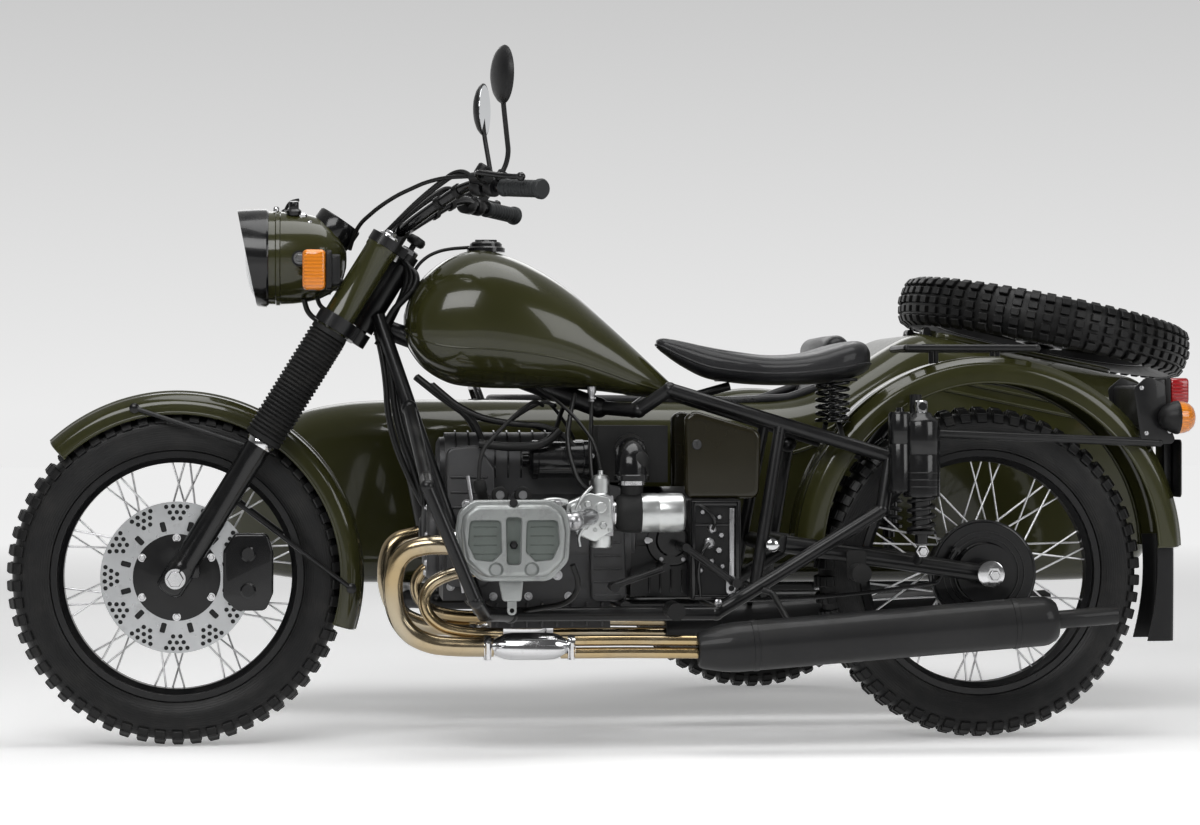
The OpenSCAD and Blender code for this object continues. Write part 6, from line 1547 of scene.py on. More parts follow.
class OUTFIT_OT_exhaust(bpy.types.Operator):
    """Builds the header pipes, the polished collectors, clamps and mufflers"""

    bl_idname = "outfit.exhaust"
    bl_label = "Exhaust"

    def headers(self, x):
        run = [(x + 0.0963, 0.298, 0.072), (x + 0.172, 0.298, 0.072), (1.188, 0.288, 0.056), (1.204, 0.282, 0.016), (1.204, 0.276, -0.042),
               (1.184, 0.272, -0.092), (1.140, 0.270, -0.120), (1.086, 0.270, -0.126), (1.010, 0.270, -0.127)]
        made = [tube("outer", [bike(*p) for p in run], 0.019, 0.045, 20, 8)]
        inner = [(1.020, 0.232, 0.020), (1.090, 0.236, 0.016), (1.138, 0.240, -0.010), (1.146, 0.242, -0.050), (1.118, 0.244, -0.088), (1.062, 0.246, -0.102), (0.990, 0.248, -0.104)]
        made.append(tube("inner", [bike(*p) for p in inner], 0.0125, 0.04, 16, 8))
        for k, z in enumerate((-0.1145, -0.1385)):
            made.append(tube(f"link_{k}", [bike(0.880, 0.270, z - 0.001), bike(0.750, 0.270, z - 0.001), bike(0.612, 0.270, z - 0.003)], 0.0108, 0.01, 18, 2))
        return joined("headers", *made)

    def execute(self, context):
        left = self.headers(0.977)
        right = mirrored(self.headers(0.945), "right_headers")
        for o in [o for o in bpy.data.objects if o.name.startswith("headers") and o is not left]:
            bpy.data.objects.remove(o)
        done(joined("header_pipes", left, right), "chassis", "pipe", "pipe_chrome", "exhaust_pipes")
        body = lathe(
            "collector", [(0, -0.082), (0.020, -0.082), (0.022, -0.070), (0.033, -0.050), (0.0345, -0.030), (0.0345, 0.034), (0.032, 0.048), (0.021, 0.070), (0.020, 0.080), (0, 0.080)],
            bike(0.941, 0.270, -0.126), (1, 0, 0), 10)
        body.data.transform(Matrix.Translation(bike(0.941, 0.270, -0.126)) @ Matrix.Diagonal((1, 0.96, 0.80, 1)) @ Matrix.Translation(-bike(0.941, 0.270, -0.126)))
        apply_modifier(body, "BEVEL", width=0.006, segments=3, limit_method="ANGLE", angle_limit=0.3)
        seam = slab("collector_flange", rounded_polygon([(0.866, -0.129), (0.890, -0.136), (0.992, -0.136), (1.016, -0.129), (0.992, -0.122), (0.890, -0.122)], 0.003, 3), 0.072, side_plane(0.306), 0.001)
        rings = []
        for x in (0.860, 1.022):
            rings.append(lathe(f"band_{x}", [(0.019, -0.007), (0.0235, -0.007), (0.0245, 0), (0.0235, 0.007), (0.019, 0.007)], bike(x, 0.270, -0.1285), (1, 0, 0), 36, closed=True))
            rings.append(lathe(f"band_bolt_{x}", [(0, -0.016), (0.006, -0.016), (0.006, 0.016), (0, 0.016)], bike(x, 0.297, -0.134), (0, 0, 1), 6))
        rings.append(lathe("port_nut", [(0.019, 0), (0.029, 0), (0.030, 0.004), (0.030, 0.016), (0.027, 0.020), (0.019, 0.020)], bike(1.0735, 0.298, 0.072), (1, 0, 0), 18, closed=True))
        left = joined("collector_left", body, seam, *rings)
        right = mirrored(left, "collector_right")
        done(joined("collectors", left, right), "chassis", "chrome", "bright_steel", smooth=30)
        start, end = bike(0.613, 0.270, -0.136), bike(-0.098, 0.270, -0.082)
        run = end - start
        line = run.normalized()
        length = run.length
        shell = lathe(
            "muffler", [(0.020, 0.004), (0.030, 0.0), (0.034, 0.002), (0.0375, 0.010), (0.0465, 0.050), (0.0488, 0.075), (0.0488, length - 0.030), (0.0475, length - 0.020),
                        (0.041, length - 0.006), (0.036, length - 0.001), (0.020, length)], start, line, 64, closed=True)
        bands = [lathe(f"muffler_band_{k}", [(0.0484, z - 0.006), (0.0498, z - 0.005), (0.0498, z + 0.005), (0.0484, z + 0.006)], start, line, 64, closed=True) for k, z in enumerate((0.112, length - 0.085))]
        tail = lathe("tailpipe", [(0.0155, 0), (0.018, 0), (0.018, 0.125), (0.0172, 0.1265), (0.0155, 0.1265)], end - line * 0.004, line, 40, closed=True)
        hanger = tube("hanger", [bike(0.430, 0.262, -0.086), bike(0.452, 0.176, -0.030), bike(0.470, 0.172, -0.026)], 0.006, 0.02, 10, 4)
        left = joined("muffler_left", shell, tail, hanger, *bands)
        right = mirrored(left, "muffler_right")
        done(joined("black_mufflers", left, right), "chassis", "matt", "black_paint", "mufflers")
        return {"FINISHED"}


class OUTFIT_OT_suspension(bpy.types.Operator):
    """Builds the rear shocks with their springs, brake details and pegs"""

    bl_idname = "outfit.suspension"
    bl_label = "Suspension"

    def execute(self, context):
        foot = bike(0.150, 0.168, 0)
        shroud = lathe(
            "shroud", [(0, 0.158), (0.0345, 0.158), (0.0375, 0.161), (0.0375, 0.240), (0.0365, 0.243), (0.0375, 0.246), (0.0375, 0.306), (0.0345, 0.312),
                       (0.024, 0.318), (0.018, 0.326), (0, 0.3295)], foot, (0, 0, 1), 48)
        ribs = [lathe(f"shroud_rib_{k}", [(0.037, z), (0.038, z + 0.001), (0.038, z + 0.003), (0.037, z + 0.004)], foot, (0, 0, 1), 48, closed=True) for k, z in enumerate((0.176, 0.190, 0.204))]
        body = lathe("body", [(0, 0.064), (0.013, 0.064), (0.013, 0.082), (0.030, 0.084), (0.030, 0.090), (0.019, 0.094), (0.019, 0.165), (0, 0.165)], foot, (0, 0, 1), 40)
        can = lathe("can", [(0, 0.166), (0.020, 0.166), (0.0235, 0.170), (0.0235, 0.262), (0.0225, 0.264), (0.0235, 0.266), (0.0235, 0.322), (0.020, 0.327), (0.008, 0.328), (0.007, 0.336), (0, 0.336)], foot + Vector((0.044, 0.004, 0)), (0, 0, 1), 36)
        left = joined("shock_left", shroud, body, can, *ribs)
        right = mirrored(left, "shock_right")
        done(joined("shock_shrouds", left, right), "chassis", "black_gloss", "black_paint", "rear_shocks")
        spring = coil("shock_coil", foot, 0.0255, 0.0042, 0.094, 0.158, 3.5)
        other = mirrored(spring, "shock_coil_right")
        done(joined("shock_springs", spring, other), "chassis", "black", "black_paint")
        eyes = []
        for side in (1, -1):
            eyes += [lathe(f"eye_nut_{side}", [(0, 0), (0.013, 0), (0.013, 0.002), (0.0095, 0.002), (0.0095, 0.009), (0.008, 0.011), (0, 0.011)], bike(0.150, side * 0.180, 0.050), (0, side, 0), 6)]
            eyes.append(lathe(f"axle_nut_{side}", [(0, 0), (0.016, 0), (0.016, 0.003), (0.0105, 0.003), (0.0105, 0.010), (0.009, 0.012), (0, 0.012)], bike(0, side * 0.157, 0), (0, side, 0), 6))
            eyes.append(lathe(f"axle_plate_{side}", [(0, 0), (0.027, 0), (0.027, 0.0022), (0.024, 0.003), (0, 0.003)], bike(0.006, side * 0.1568, 0.002), (0, side, 0), 40))
            eyes.append(lathe(f"shock_sleeve_{side}", [(0, 0.326), (0.0125, 0.326), (0.0125, 0.348), (0.010, 0.350), (0, 0.350)], bike(0.150, side * 0.168, 0), (0, 0, 1), 28))
            eyes.append(lathe(f"pivot_cap_{side}", [(0, 0), (0.013, 0), (0.013, 0.003), (0.009, 0.006), (0, 0.007)], bike(0.448, side * 0.157, 0.062), (0, side, 0), 28))
        done(joined("suspension_nuts", *eyes), "chassis", "chrome", "bright_steel")
        plate = lathe("plate", [(0, 0.0), (0.090, 0.0), (0.104, 0.002), (0.107, 0.006), (0.107, 0.0195), (0.103, 0.0205), (0.097, 0.0165), (0.064, 0.0195), (0.060, 0.024), (0, 0.026)], bike(0, 0.046, 0), (0, 1, 0), 72)
        fins = [lathe(f"drum_ring_{k}", [(r, 0.017), (r + 0.003, 0.017), (r + 0.0025, 0.0225), (r + 0.0005, 0.0225)], bike(0, 0.046, 0), (0, 1, 0), 64, closed=True) for k, r in enumerate((0.070, 0.082))]
        cam = tube("cam", [bike(0.062, 0.070, 0.046), bike(0.062, 0.094, 0.046)], 0.008, 0.01, 12, 1)
        arm = tube("cam_arm", [bike(0.062, 0.092, 0.046), bike(0.104, 0.094, -0.018)], 0.0055, 0.01, 10, 1)
        rod = tube("brake_rod", [bike(0.104, 0.096, -0.018), bike(0.300, 0.100, -0.044), bike(0.500, 0.102, -0.050)], 0.004, 0.08, 8, 4)
        done(joined("drum_brake", plate, cam, arm, rod, *fins), "chassis", "black_gloss", "black_paint")
        plates, studs, brackets = [], [], []
        brackets.append(block("tail_box", bike(-0.364, -0.0965, 0.296), bike(-0.312, 0.0965, 0.382), 0.008, 4))
        brackets.append(block("lamp_seat", bike(-0.385, -0.046, 0.316), bike(-0.360, 0.046, 0.396), 0.004))
        brackets.append(block("plate_stem", bike(-0.402, -0.030, 0.160), bike(-0.384, 0.030, 0.330), 0.003))
        brackets.append(block("plate_arm", bike(-0.400, -0.024, 0.262), bike(-0.350, 0.024, 0.300), 0.003))
        brackets.append(slab("plate", round_outline(0.118, 0.180, 0.010, 6), 0.0028, turned_to((-1, 0, 0), bike(-0.4022, 0, 0.212), (0, 0, 1)), 0.0008))
        for side in (1, -1):
            face = side_plane(0.1000) if side > 0 else side_plane(-0.0955)
            outline = rounded_polygon([(-0.392, 0.262), (-0.370, 0.318), (-0.368, 0.386), (-0.330, 0.399), (-0.302, 0.376), (-0.318, 0.262)], 0.010, 4)
            brackets.append(slab(f"tail_plate_{side}", outline, 0.0045, face, 0.0012))
            for x, z in ((-0.318, 0.376), (-0.328, 0.284), (-0.376, 0.288)):
                studs.append(lathe(f"tail_stud_{side}_{x}", [(0, 0), (0.0048, 0), (0.0048, 0.003), (0.003, 0.004), (0, 0.004)], bike(x, side * 0.1000, z), (0, side, 0), 6))
            studs.append(lathe(f"box_stud_{side}", [(0, 0), (0.007, 0), (0.007, 0.004), (0, 0.0045)], bike(0.690, side * 0.0855, 0.070), (0, side, 0), 6))
            cover = lathe(f"box_cover_{side}", [(0, 0.006), (0.030, 0.006), (0.034, 0.002), (0.050, 0.002), (0.053, -0.004), (0, -0.004)], bike(0.640, side * 0.0862, 0.070), (0, side, 0), 48)
            plates.append(cover)
            plates += [block(f"box_rib_{side}_{k}", bike(0.574 + 0.022 * k, side * 0.079 - 0.006, -0.036), bike(0.578 + 0.022 * k, side * 0.079 + 0.006, 0.012), 0.0016, 1) for k in range(6)]
            studs += [lathe(f"box_screw_{side}_{k}", [(0, 0), (0.0042, 0), (0.0042, 0.003), (0, 0.003)], bike(0.640 + 0.044 * math.cos(1.05 * k), side * 0.0885, 0.070 + 0.044 * math.sin(1.05 * k)), (0, side, 0), 8) for k in range(6)]
            studs.append(lathe(f"peg_bolt_{side}", [(0, 0), (0.008, 0), (0.008, 0.005), (0.005, 0.007), (0, 0.007)], bike(0.560, side * 0.1755, -0.050), (0, side, 0), 6))
        done(joined("tail_carrier", *brackets), "chassis", "black", "black_paint", "tail_bracket")
        done(joined("gearbox_covers", *plates), "chassis", "black_gloss", "black_paint")
        done(joined("small_studs", *studs), "chassis", "steel", "bright_steel")
        rubbers = []
        for side in (1, -1):
            profile = [(0, 0), (0.0165, 0)]
            for k in range(7):
                z = 0.006 + k * 0.0115
                profile += [(0.0175, z), (0.0175, z + 0.006), (0.0158, z + 0.0075), (0.0158, z + 0.010)]
            profile += [(0.0172, 0.087), (0.0172, 0.0915), (0, 0.0925)]
            rubbers.append(lathe(f"peg_rubber_{side}", profile, bike(0.655, side * (CRADLE_Y + 0.0425), -0.061), (0, side, 0), 28))
            step = [(0, 0.006), (0.008, 0.006), (0.008, 0.016)] + [p for k in range(5) for p in ((0.0185, 0.017 + 0.009 * k), (0.0185, 0.022 + 0.009 * k), (0.0168, 0.024 + 0.009 * k))] + [(0.0195, 0.064), (0.0195, 0.068), (0.012, 0.070), (0, 0.070)]
            rubbers.append(lathe(f"rear_peg_{side}", step, bike(0.279, side * 0.150, 0.008), (0, side, 0), 28))
            rubbers.append(slab(f"rear_peg_plate_{side}", rounded_polygon([(0.262, -0.010), (0.296, -0.010), (0.300, 0.052), (0.258, 0.052)], 0.008, 4), 0.008, side_plane(side * 0.154 + 0.004), 0.002))
        done(joined("peg_rubbers", *rubbers), "chassis", "rubber", "soft_rubber")
        return {"FINISHED"}


DECK_X, DECK_Z = -20, 495


def deck_height(x):
    return DECK_Z + (x - DECK_X) * math.tan(DECK_TILT)


BODY_ROWS = [
    (-520, 0.70, 70, deck_height(-520) - 60, 0.8), (-505, 0.86, 30, deck_height(-505) - 18, 0.9), (-470, 0.96, -10, deck_height(-470), 1),
    (-400, 1.00, -40, deck_height(-400), 1), (-300, 1.00, -48, deck_height(-300), 1), (-160, 1.00, -48, deck_height(-160), 1), (DECK_X, 1.00, -48, deck_height(DECK_X), 1),
    (20, 1.00, -48, 500, 1), (70, 1.00, -48, 482, 1), (150, 1.00, -48, 434, 1), (230, 1.00, -48, 384, 1), (310, 1.00, -48, 356, 1), (420, 1.00, -48, 349, 1),
    (560, 1.00, -48, 350, 1), (700, 1.00, -48, 352, 1), (830, 0.99, -48, 353, 1), (960, 0.97, -48, 354, 1), (1050, 0.93, -48, 354, 1), (1130, 0.88, -48, 354, 1),
    (1200, 0.82, -48, 353, 0.95), (1260, 0.75, -48, 350, 0.9), (1310, 0.68, -47, 344, 0.85), (1360, 0.61, -44, 334, 0.8), (1400, 0.545, -41, 318, 0.75),
    (1440, 0.47, -36, 296, 0.7), (1472, 0.41, -31, 273, 0.65), (1500, 0.34, -24, 246, 0.6), (1524, 0.27, -14, 216, 0.5), (1542, 0.20, -2, 186, 0.4), (1553, 0.14, 12, 160, 0.28), (1560, 0.08, 28, 132, 0.15),
]
BODY_HALF, FOOT_CORNER, TOP_CORNER = 290, 70, 86


def body_at(x):
    """The row of the body's table at a place along it."""
    for a, b in zip(BODY_ROWS, BODY_ROWS[1:]):
        if a[0] <= x <= b[0]:
            f = (x - a[0]) / (b[0] - a[0])
            return [p + f * (q - p) for p, q in zip(a, b)]
    return BODY_ROWS[-1]


def body_section(row, v, inset=0.0):
    """A place round the body's section: 0 is the middle of its top, 0.5 of its floor."""
    x, share, low, high, corner = row
    w = share * BODY_HALF - inset
    low, high = low + inset, high - inset
    r0, r1 = FOOT_CORNER * corner, TOP_CORNER * corner
    side = 1 if v <= 0.5 else -1
    v = v if v <= 0.5 else 1 - v
    for end, kind in ((0.12, "top"), (0.22, "shoulder"), (0.32, "side"), (0.40, "foot"), (0.5, "floor")):
        if v <= end:
            break
    begin = {"top": 0.0, "shoulder": 0.12, "side": 0.22, "foot": 0.32, "floor": 0.40}[kind]
    f = (v - begin) / (end - begin)
    if kind == "top":
        y, z = (w - r1) * f, high
    elif kind == "shoulder":
        y, z = w - r1 + r1 * math.sin(f * math.pi / 2), high - r1 + r1 * math.cos(f * math.pi / 2)
    elif kind == "side":
        y, z = w, (high - r1) + f * ((low + r0) - (high - r1))
    elif kind == "foot":
        y, z = w - r0 + r0 * math.cos(f * math.pi / 2), low + r0 - r0 * math.sin(f * math.pi / 2)
    else:
        y, z = (w - r0) * (1 - f), low
    return bike(x * MM, BODY_Y + side * y * MM, z * MM)


def body_core(row):
    return bike(row[0] * MM, BODY_Y, (row[2] + row[3]) / 2 * MM)


def top_of_body(x, y):
    """Height of the body's skin over a place, in mm."""
    _, share, _, high, corner = body_at(x)
    w, r = share * BODY_HALF, TOP_CORNER * corner
    over = abs(y) - (w - r)
    return high if over <= 0 else high - r + math.sqrt(max(0.0, r * r - over * over))


def cockpit_ring(grow=0.0, steps=16):
    """The cockpit's opening, as x and y in mm, anticlockwise from above."""
    cx, w, r = 543.5, 210 + grow, 60 + grow
    made = []
    for k in range(-steps, steps + 1):
        t = math.pi / 2 * k / steps
        made.append((cx + 201.5 + w * math.cos(t), w * math.sin(t)))
    for k in range(1, 14):
        made.append((cx + 201.5 - 553 * k / 14, w))
    for k in range(6 + 1):
        t = math.pi / 2 + math.pi / 2 * k / 6
        made.append((cx - 351.5 + r * math.cos(t), 150 + r * math.sin(t)))
    for k in range(1, 8):
        made.append((cx - 351.5 - r, 150 - 300 * k / 8))
    for k in range(6 + 1):
        t = math.pi + math.pi / 2 * k / 6
        made.append((cx - 351.5 + r * math.cos(t), -150 + r * math.sin(t)))
    for k in range(13, 0, -1):
        made.append((cx + 201.5 - 553 * k / 14, -w))
    return made


class OUTFIT_OT_sidecar(bpy.types.Operator):
    """Builds the sidecar's body with its cockpit, trunk opening, beads and roll"""

    bl_idname = "outfit.sidecar"
    bl_label = "Sidecar body"

    def execute(self, context):
        v = context.scene.outfit_sidecar
        shell = lofted("shell", BODY_ROWS, body_section, body_core, 150, 100, 0.02)
        apply_modifier(shell, "SOLIDIFY", thickness=v.wall, offset=-1)
        ring = [(x * MM, y * MM) for x, y in cockpit_ring()]
        cut(shell, slab("cockpit", ring, 0.40, Matrix.Translation(bike(0, BODY_Y, 0.200)), 0))
        trunk = block("trunk", (-0.390, -0.159, -0.060), (-0.040, 0.159, 0.030), 0)
        trunk.data.transform(turned_to(DECK_UP, deck(0, 0, 0), DECK_AHEAD))
        cut(shell, trunk)
        wall_line = [body_section(body_at(100), k / 60, 5) for k in range(60)]
        outline = [(p.y, p.z) for p in wall_line]
        across = Matrix(((0, 0, 1, REAR.x + 0.096), (1, 0, 0, 0), (0, 1, 0, 0), (0, 0, 0, 1)))
        partition = slab("partition", outline, 0.008, across, 0)
        beads = []
        for side in (1, -1):
            for drop, start, finish in ((60, -470, 330), (84, -470, 330)):
                line = []
                for k in range(60):
                    x = start + (finish - start) * k / 59
                    row = body_at(x)
                    low_line = row[3] - (drop + 34) * min(1.0, row[4])
                    y = row[1] * BODY_HALF + 0.5
                    line.append(bike(x * MM, BODY_Y + side * y * MM, low_line * MM))
                beads.append(tube(f"bead_{side}_{drop}", line, 0.0045, 0.03, 8, 1))
        done(joined("sidecar_shell", shell, partition, *beads), "chassis", "olive", "olive_paint", "sidecar_body", smooth=32)
        rim = [bike(x * MM, BODY_Y + y * MM, (top_of_body(x, y) + 2) * MM) for x, y in cockpit_ring(2.0)]
        done(loop_tube("cockpit_roll", rim, v.roll, 12), "chassis", "leather", "black_leather")
        mat = block("mat", bike(0.872, BODY_Y - 0.200, -0.0402), bike(1.180, BODY_Y + 0.200, -0.0362), 0.001)
        strips = [block(f"mat_rib_{k}", bike(0.884 + 0.024 * k, BODY_Y - 0.190, -0.0370), bike(0.892 + 0.024 * k, BODY_Y + 0.190, -0.0335), 0.001, 1) for k in range(12)]
        done(joined("floor_mat", mat, *strips), "chassis", "rubber", "soft_rubber")
        bar = tube("bar", [bike(0.985, BODY_Y + 0.120, 0.3542), bike(0.996, BODY_Y + 0.112, 0.385), bike(0.996, BODY_Y - 0.112, 0.385), bike(0.985, BODY_Y - 0.120, 0.3542)], 0.008, 0.03, 12, 8)
        feet = [lathe(f"bar_foot_{s}", [(0, 0), (0.017, 0), (0.017, 0.003), (0, 0.004)], bike(0.985, BODY_Y + s * 0.120, 0.3540), (0, 0, 1), 28) for s in (1, -1)]
        done(joined("grab_bar", bar, *feet), "chassis", "black_gloss", "black_paint")
        return {"FINISHED"}


def pad(name, size, crown, seams, matrix, seam_depth=0.008):
    """A crowned cushion with sewn channels across its top and a welt round it."""
    clear_selection()
    bpy.ops.mesh.primitive_cube_add(size=2)
    o = named(name)
    bpy.ops.object.mode_set(mode="EDIT")
    bpy.ops.mesh.select_all(action="SELECT")
    bpy.ops.mesh.subdivide(number_cuts=47)
    bpy.ops.object.mode_set(mode="OBJECT")
    hx, hy, hz = (s / 2 for s in size)
    for p in o.data.vertices:
        x, y, z = p.co
        edge = 0.035
        rx, ry = max(0.0, abs(x) - (1 - edge / hx)) * hx / edge, max(0.0, abs(y) - (1 - edge / hy)) * hy / edge
        round_off = min(1.0, math.hypot(rx, ry))
        squeeze = 1 - 0.035 * (1 - abs(z)) * 0 + 0.0
        bulge = 0.010 * (1 - z * z)
        px = x * (hx - 0.010) * squeeze + math.copysign(bulge * (1 - y * y), x) * (abs(x) > 0.99)
        py = y * (hy - 0.010) * squeeze + math.copysign(bulge * (1 - x * x), y) * (abs(y) > 0.99)
        corner = (1 - abs(x)) * hx, (1 - abs(y)) * hy
        near = min(corner)
        if min(rx, ry) > 0:
            k = 1 / max(1.0, math.hypot(rx, ry))
            px = math.copysign(hx - 0.010 - edge + edge * rx * k, x) if rx else px
            py = math.copysign(hy - 0.010 - edge + edge * ry * k, y) if ry else py
        pz = z * hz
        if z > 0.99:
            dome = (1 - abs(x) ** 3) * (1 - abs(y) ** 3)
            pz += crown * dome - 0.012 * round_off ** 4
            for s in seams:
                pz -= seam_depth * math.exp(-(((x - s) * hx / 0.006) ** 2)) * min(1.0, near / 0.03)
        p.co = (px, py, pz)
    apply_modifier(o, "SMOOTH", factor=0.5, iterations=3)
    welts = []
    for z in (hz * 0.985, -hz * 0.96):
        ring = []
        for cx, cy in round_outline(2 * (hx - 0.0085), 2 * (hy - 0.0085), 0.033, 6):
            ring.append(Vector((cx, cy, z)))
        welts.append(loop_tube(f"{name}_welt_{z:.2f}", ring, 0.0035))
    o = joined(name, o, *welts)
    o.data.transform(matrix)
    return tidy_skin(o)


class OUTFIT_OT_seat(bpy.types.Operator):
    """Builds the sidecar's channelled seat cushion and backrest"""

    bl_idname = "outfit.seat"
    bl_label = "Sidecar seat"

    def execute(self, context):
        cushion = pad("seat_cushion", (0.456, 0.388, 0.112), 0.010, (-0.6, -0.2, 0.2, 0.6), Matrix.Translation(bike(0.630, BODY_Y, 0.0165)))
        done(cushion, "chassis", "leather", "black_leather", "sidecar_seat")
        low, high = bike(0.376, BODY_Y, -0.020), bike(0.214, BODY_Y, 0.476)
        line = (high - low).normalized()
        lean = turned_to(Vector((line.z, 0, -line.x)), (low + high) / 2 - 0.058 * Vector((line.z, 0, -line.x)), line)
        back = pad("seat_back", (0.470, 0.370, 0.080), 0.010, (-0.6, -0.2, 0.2, 0.6), lean)
        roll = lathe("roll", [(0, -0.180), (0.016, -0.178), (0.026, -0.168), (0.031, -0.150), (0.0318, 0.0), (0.031, 0.150), (0.026, 0.168), (0.016, 0.178), (0, 0.180)], bike(0.192, BODY_Y, 0.468), (0, 1, 0), 40)
        back = joined("seat_back", back, roll)
        done(back, "chassis", "leather", "black_leather")
        return {"FINISHED"}


class OUTFIT_OT_trunk(bpy.types.Operator):
    """Builds the trunk's lid with its hinges and the spare wheel's carrier and nut"""

    bl_idname = "outfit.trunk"
    bl_label = "Trunk lid"

    def execute(self, context):
        onto = turned_to(DECK_UP, deck(0, 0, 0), DECK_AHEAD)
        lid = slab("lid", round_outline(0.406, 0.370, 0.030, 6, -0.217), 0.0137, onto @ Matrix.Translation((0, 0, 0.0004)), 0.0045, 4)
        panel = slab("panel", round_outline(0.330, 0.290, 0.020, 6, -0.217), 0.0022, onto @ Matrix.Translation((0, 0, 0.0138)), 0.0010, 2)
        knuckles = []
        for y in (-0.116, 0.070):
            start, wide = y + 0.0155, 0.015
            barrel = lathe(f"knuckle_{y}", [(0.0050, 0), (0.0079, 0), (0.0079, wide), (0.0050, wide)], (0, 0, 0), (0, 1, 0), 28, closed=True)
            barrel.data.transform(onto @ Matrix.Translation((0, start, HINGE_H)))
            leaf = block(f"leaf_{y}", (-0.024, start, 0.0085), (-0.0062, start + wide, 0.0200), 0.0012)
            leaf.data.transform(onto)
            knuckles += [barrel, leaf]
        done(joined("deck_lid", lid, panel, *knuckles), "trunk_lid", "olive", "olive_paint", "trunk_lid")
        carrier = lathe(
            "carrier", [(0, 0.013), (0.040, 0.013), (0.040, 0.017), (0.026, 0.022), (0.026, 0.038), (0.038, 0.0424), (0, 0.0424)], deck(-SPARE_BACK, 0, 0), DECK_UP, 48)
        stud = lathe("stud", [(0, 0.040), (0.0098, 0.040), (0.0098, 0.1385), (0, 0.1385)], deck(-SPARE_BACK, 0, 0), DECK_UP, 24)
        done(joined("spare_carrier", carrier, stud), "trunk_lid", "black", "black_paint")
        nut = lathe("wing_hub", [(0, 0.1240), (0.018, 0.1240), (0.018, 0.1275), (0.0125, 0.1300), (0.0125, 0.1360), (0, 0.1375)], deck(-SPARE_BACK, 0, 0), DECK_UP, 32)
        done(nut, "trunk_lid", "chrome", "bright_steel")
        return {"FINISHED"}


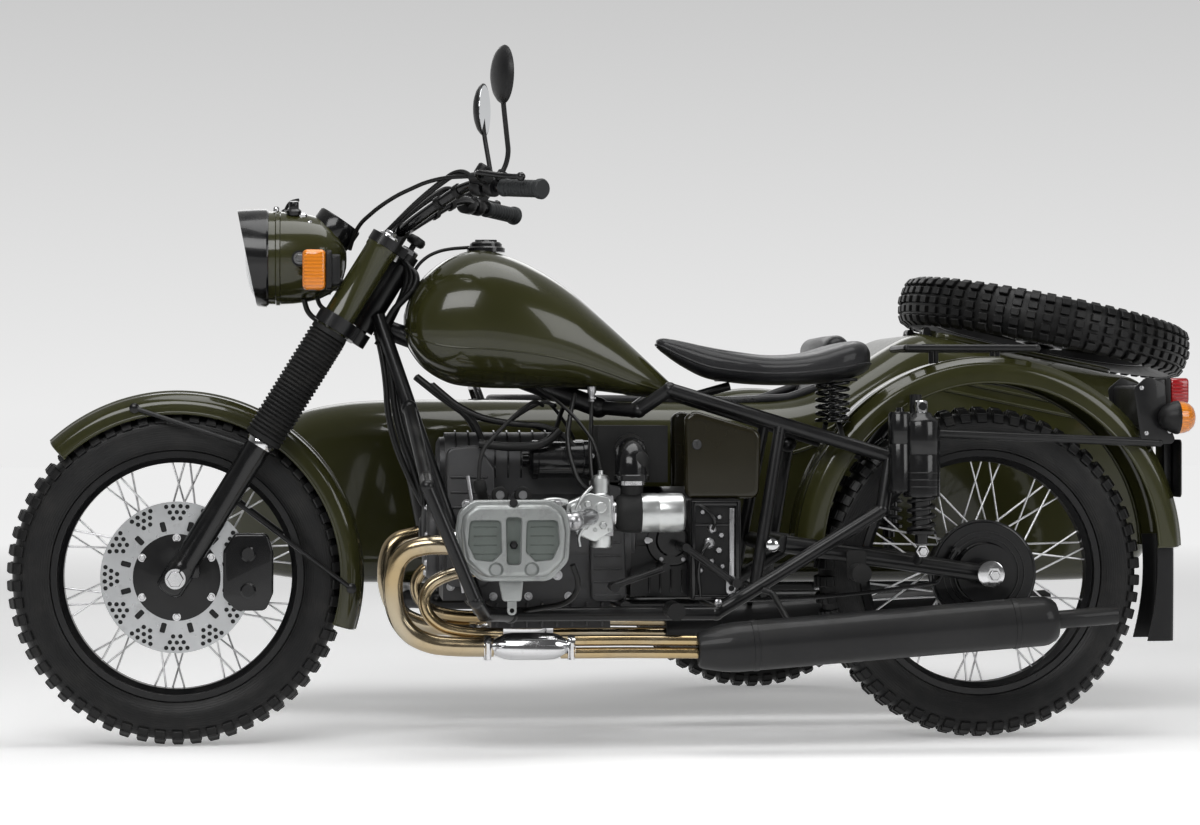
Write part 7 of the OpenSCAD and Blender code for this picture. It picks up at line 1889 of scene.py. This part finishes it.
class OUTFIT_OT_stage(bpy.types.Operator):
    """Sets the floor, the lights, the surroundings and the camera"""

    bl_idname = "outfit.stage"
    bl_label = "Stage"

    def seen_plainly(self, tree):
        """1 for what the camera, a mirror or a glass sees, 0 for light on the object."""
        path = tree.nodes.new("ShaderNodeLightPath")
        total = path.outputs["Is Camera Ray"]
        for name in ("Is Glossy Ray", "Is Transmission Ray"):
            both = tree.nodes.new("ShaderNodeMath")
            both.operation = "MAXIMUM"
            tree.links.new(total, both.inputs[0])
            tree.links.new(path.outputs[name], both.inputs[1])
            total = both.outputs[0]
        return total

    def softbox(self, name, at, size, power):
        bpy.ops.object.light_add(type="AREA", location=at)
        lamp = bpy.context.object
        lamp.name = name
        lamp.data.shape = "RECTANGLE"
        lamp.data.size, lamp.data.size_y = size
        lamp.data.energy = power
        aim = bike(0.75, -0.1, 0.15) - Vector(at)
        lamp.rotation_euler = aim.to_track_quat("-Z", "Y").to_euler()

    def execute(self, context):
        v = context.scene.outfit_stage
        clear_selection()
        bpy.ops.mesh.primitive_plane_add(size=60, location=(0, 0, CAD_BOX[0][2] - 0.0002))
        floor = named("floor")
        cloth = bpy.data.materials.new("pale_floor")
        cloth.use_nodes = True
        tree = cloth.node_tree
        surface = tree.nodes["Principled BSDF"]
        surface.inputs["Base Color"].default_value = (0.86, 0.86, 0.86, 1)
        surface.inputs["Roughness"].default_value = 0.55
        surface.inputs["Specular IOR Level"].default_value = 0.0
        glow = tree.nodes.new("ShaderNodeEmission")
        place, span = tree.nodes.new("ShaderNodeTexCoord"), tree.nodes.new("ShaderNodeVectorMath")
        span.operation = "LENGTH"
        tree.links.new(place.outputs["Object"], span.inputs[0])
        fade = tree.nodes.new("ShaderNodeMapRange")
        for key, value in (("From Min", 2.5), ("From Max", 9.0), ("To Min", 0.30), ("To Max", 0.73)):
            fade.inputs[key].default_value = value
        tree.links.new(span.outputs["Value"], fade.inputs["Value"])
        tree.links.new(fade.outputs[0], glow.inputs["Color"])
        black = tree.nodes.new("ShaderNodeEmission")
        black.inputs["Strength"].default_value = 0.0
        choose, add = tree.nodes.new("ShaderNodeMixShader"), tree.nodes.new("ShaderNodeAddShader")
        tree.links.new(self.seen_plainly(tree), choose.inputs[0])
        tree.links.new(black.outputs[0], choose.inputs[1])
        tree.links.new(glow.outputs[0], choose.inputs[2])
        tree.links.new(surface.outputs[0], add.inputs[0])
        tree.links.new(choose.outputs[0], add.inputs[1])
        tree.links.new(add.outputs[0], tree.nodes["Material Output"].inputs["Surface"])
        floor.data.materials.append(cloth)
        world = bpy.data.worlds.new("studio")
        context.scene.world = world
        world.use_nodes = True
        tree = world.node_tree
        fill, wall = tree.nodes["Background"], tree.nodes.new("ShaderNodeBackground")
        fill.inputs["Color"].default_value = (1, 1, 1, 1)
        fill.inputs["Strength"].default_value = 0.14
        where, height = tree.nodes.new("ShaderNodeTexCoord"), tree.nodes.new("ShaderNodeSeparateXYZ")
        tree.links.new(where.outputs["Generated"], height.inputs[0])
        shades = {}
        for output, start, finish, first, last in (("Y", -0.9, 0.5, 1.0, 0.2), ("Z", 0.0, 0.18, 0.84, 0.52)):
            fade = tree.nodes.new("ShaderNodeMapRange")
            for key, value in (("From Min", start), ("From Max", finish), ("To Min", first), ("To Max", last)):
                fade.inputs[key].default_value = value
            tree.links.new(height.outputs[output], fade.inputs["Value"])
            shades[output] = fade.outputs[0]
        grey = tree.nodes.new("ShaderNodeMath")
        grey.operation = "MULTIPLY"
        tree.links.new(shades["Y"], grey.inputs[0])
        tree.links.new(shades["Z"], grey.inputs[1])
        tree.links.new(grey.outputs[0], wall.inputs["Color"])
        choose = tree.nodes.new("ShaderNodeMixShader")
        tree.links.new(self.seen_plainly(tree), choose.inputs[0])
        tree.links.new(fill.outputs[0], choose.inputs[1])
        tree.links.new(wall.outputs[0], choose.inputs[2])
        tree.links.new(choose.outputs[0], tree.nodes["World Output"].inputs["Surface"])
        self.softbox("key", bike(2.2, 3.2, 2.6), (2.6, 1.6), v.key)
        self.softbox("top", bike(0.6, 0.2, 3.4), (3.2, 2.0), v.key * 0.9)
        self.softbox("side", bike(-2.2, 2.6, 1.6), (1.8, 1.8), v.key * 0.45)
        self.softbox("far", bike(0.8, -4.2, 2.4), (3.0, 1.6), v.key * 0.3)
        bpy.ops.object.camera_add()
        camera = bpy.context.object
        camera.name = "camera"
        turn = math.radians(5.5)
        camera.location = bike(0.7773 + v.distance * math.sin(turn), v.distance * math.cos(turn), 0.664 - WHEEL_R)
        look = Vector((-math.sin(turn), -math.cos(turn), 0))
        camera.rotation_euler = look.to_track_quat("-Z", "Y").to_euler()
        camera.data.lens = v.lens
        camera.data.sensor_width = 36
        context.scene.camera = camera
        context.scene.view_settings.view_transform = "Standard"
        return {"FINISHED"}


class OutfitStage(bpy.types.PropertyGroup):
    key: bpy.props.FloatProperty(name="Key light", description="Power of the main softbox", default=78, unit="POWER")
    distance: bpy.props.FloatProperty(name="Distance", description="From the motorcycle's middle plane to the camera", default=6.0, unit="LENGTH")
    lens: bpy.props.FloatProperty(name="Lens", description="Focal length of the camera in millimetres", default=88.7)


SETTINGS = {
    "outfit_paint": OutfitPaint,
    "outfit_tyres": OutfitTyres,
    "outfit_fork": OutfitFork,
    "outfit_fenders": OutfitFenders,
    "outfit_bars": OutfitBars,
    "outfit_sidecar": OutfitSidecar,
    "outfit_stage": OutfitStage,
}
STEPS = (
    OUTFIT_OT_stage, OUTFIT_OT_finishes, OUTFIT_OT_tyres, OUTFIT_OT_brake, OUTFIT_OT_fork_legs, OUTFIT_OT_fenders, OUTFIT_OT_headlamp,
    OUTFIT_OT_handlebar, OUTFIT_OT_lamps, OUTFIT_OT_tank, OUTFIT_OT_saddle, OUTFIT_OT_covers, OUTFIT_OT_engine, OUTFIT_OT_intake,
    OUTFIT_OT_exhaust, OUTFIT_OT_suspension, OUTFIT_OT_sidecar, OUTFIT_OT_seat, OUTFIT_OT_trunk,
)


class OUTFIT_PT_panel(bpy.types.Panel):
    """Lists the sizes and the steps that build the outfit"""

    bl_label = "Sidecar Outfit"
    bl_idname = "OUTFIT_PT_panel"
    bl_space_type = "VIEW_3D"
    bl_region_type = "UI"
    bl_category = "Outfit"

    def draw(self, context):
        for name, group in SETTINGS.items():
            for setting in group.__annotations__:
                self.layout.prop(getattr(context.scene, name), setting)
        for step in STEPS:
            self.layout.operator(step.bl_idname)


CLASSES = (*SETTINGS.values(), *STEPS, OUTFIT_PT_panel)


def register():
    for made in CLASSES:
        bpy.utils.register_class(made)
    for name, group in SETTINGS.items():
        setattr(bpy.types.Scene, name, bpy.props.PointerProperty(type=group))


def unregister():
    for name in SETTINGS:
        delattr(bpy.types.Scene, name)
    for made in reversed(CLASSES):
        bpy.utils.unregister_class(made)


def main():
    register()
    for step in STEPS:
        group, name = step.bl_idname.split(".")
        getattr(getattr(bpy.ops, group), name)()


if __name__ == "__main__":
    main()
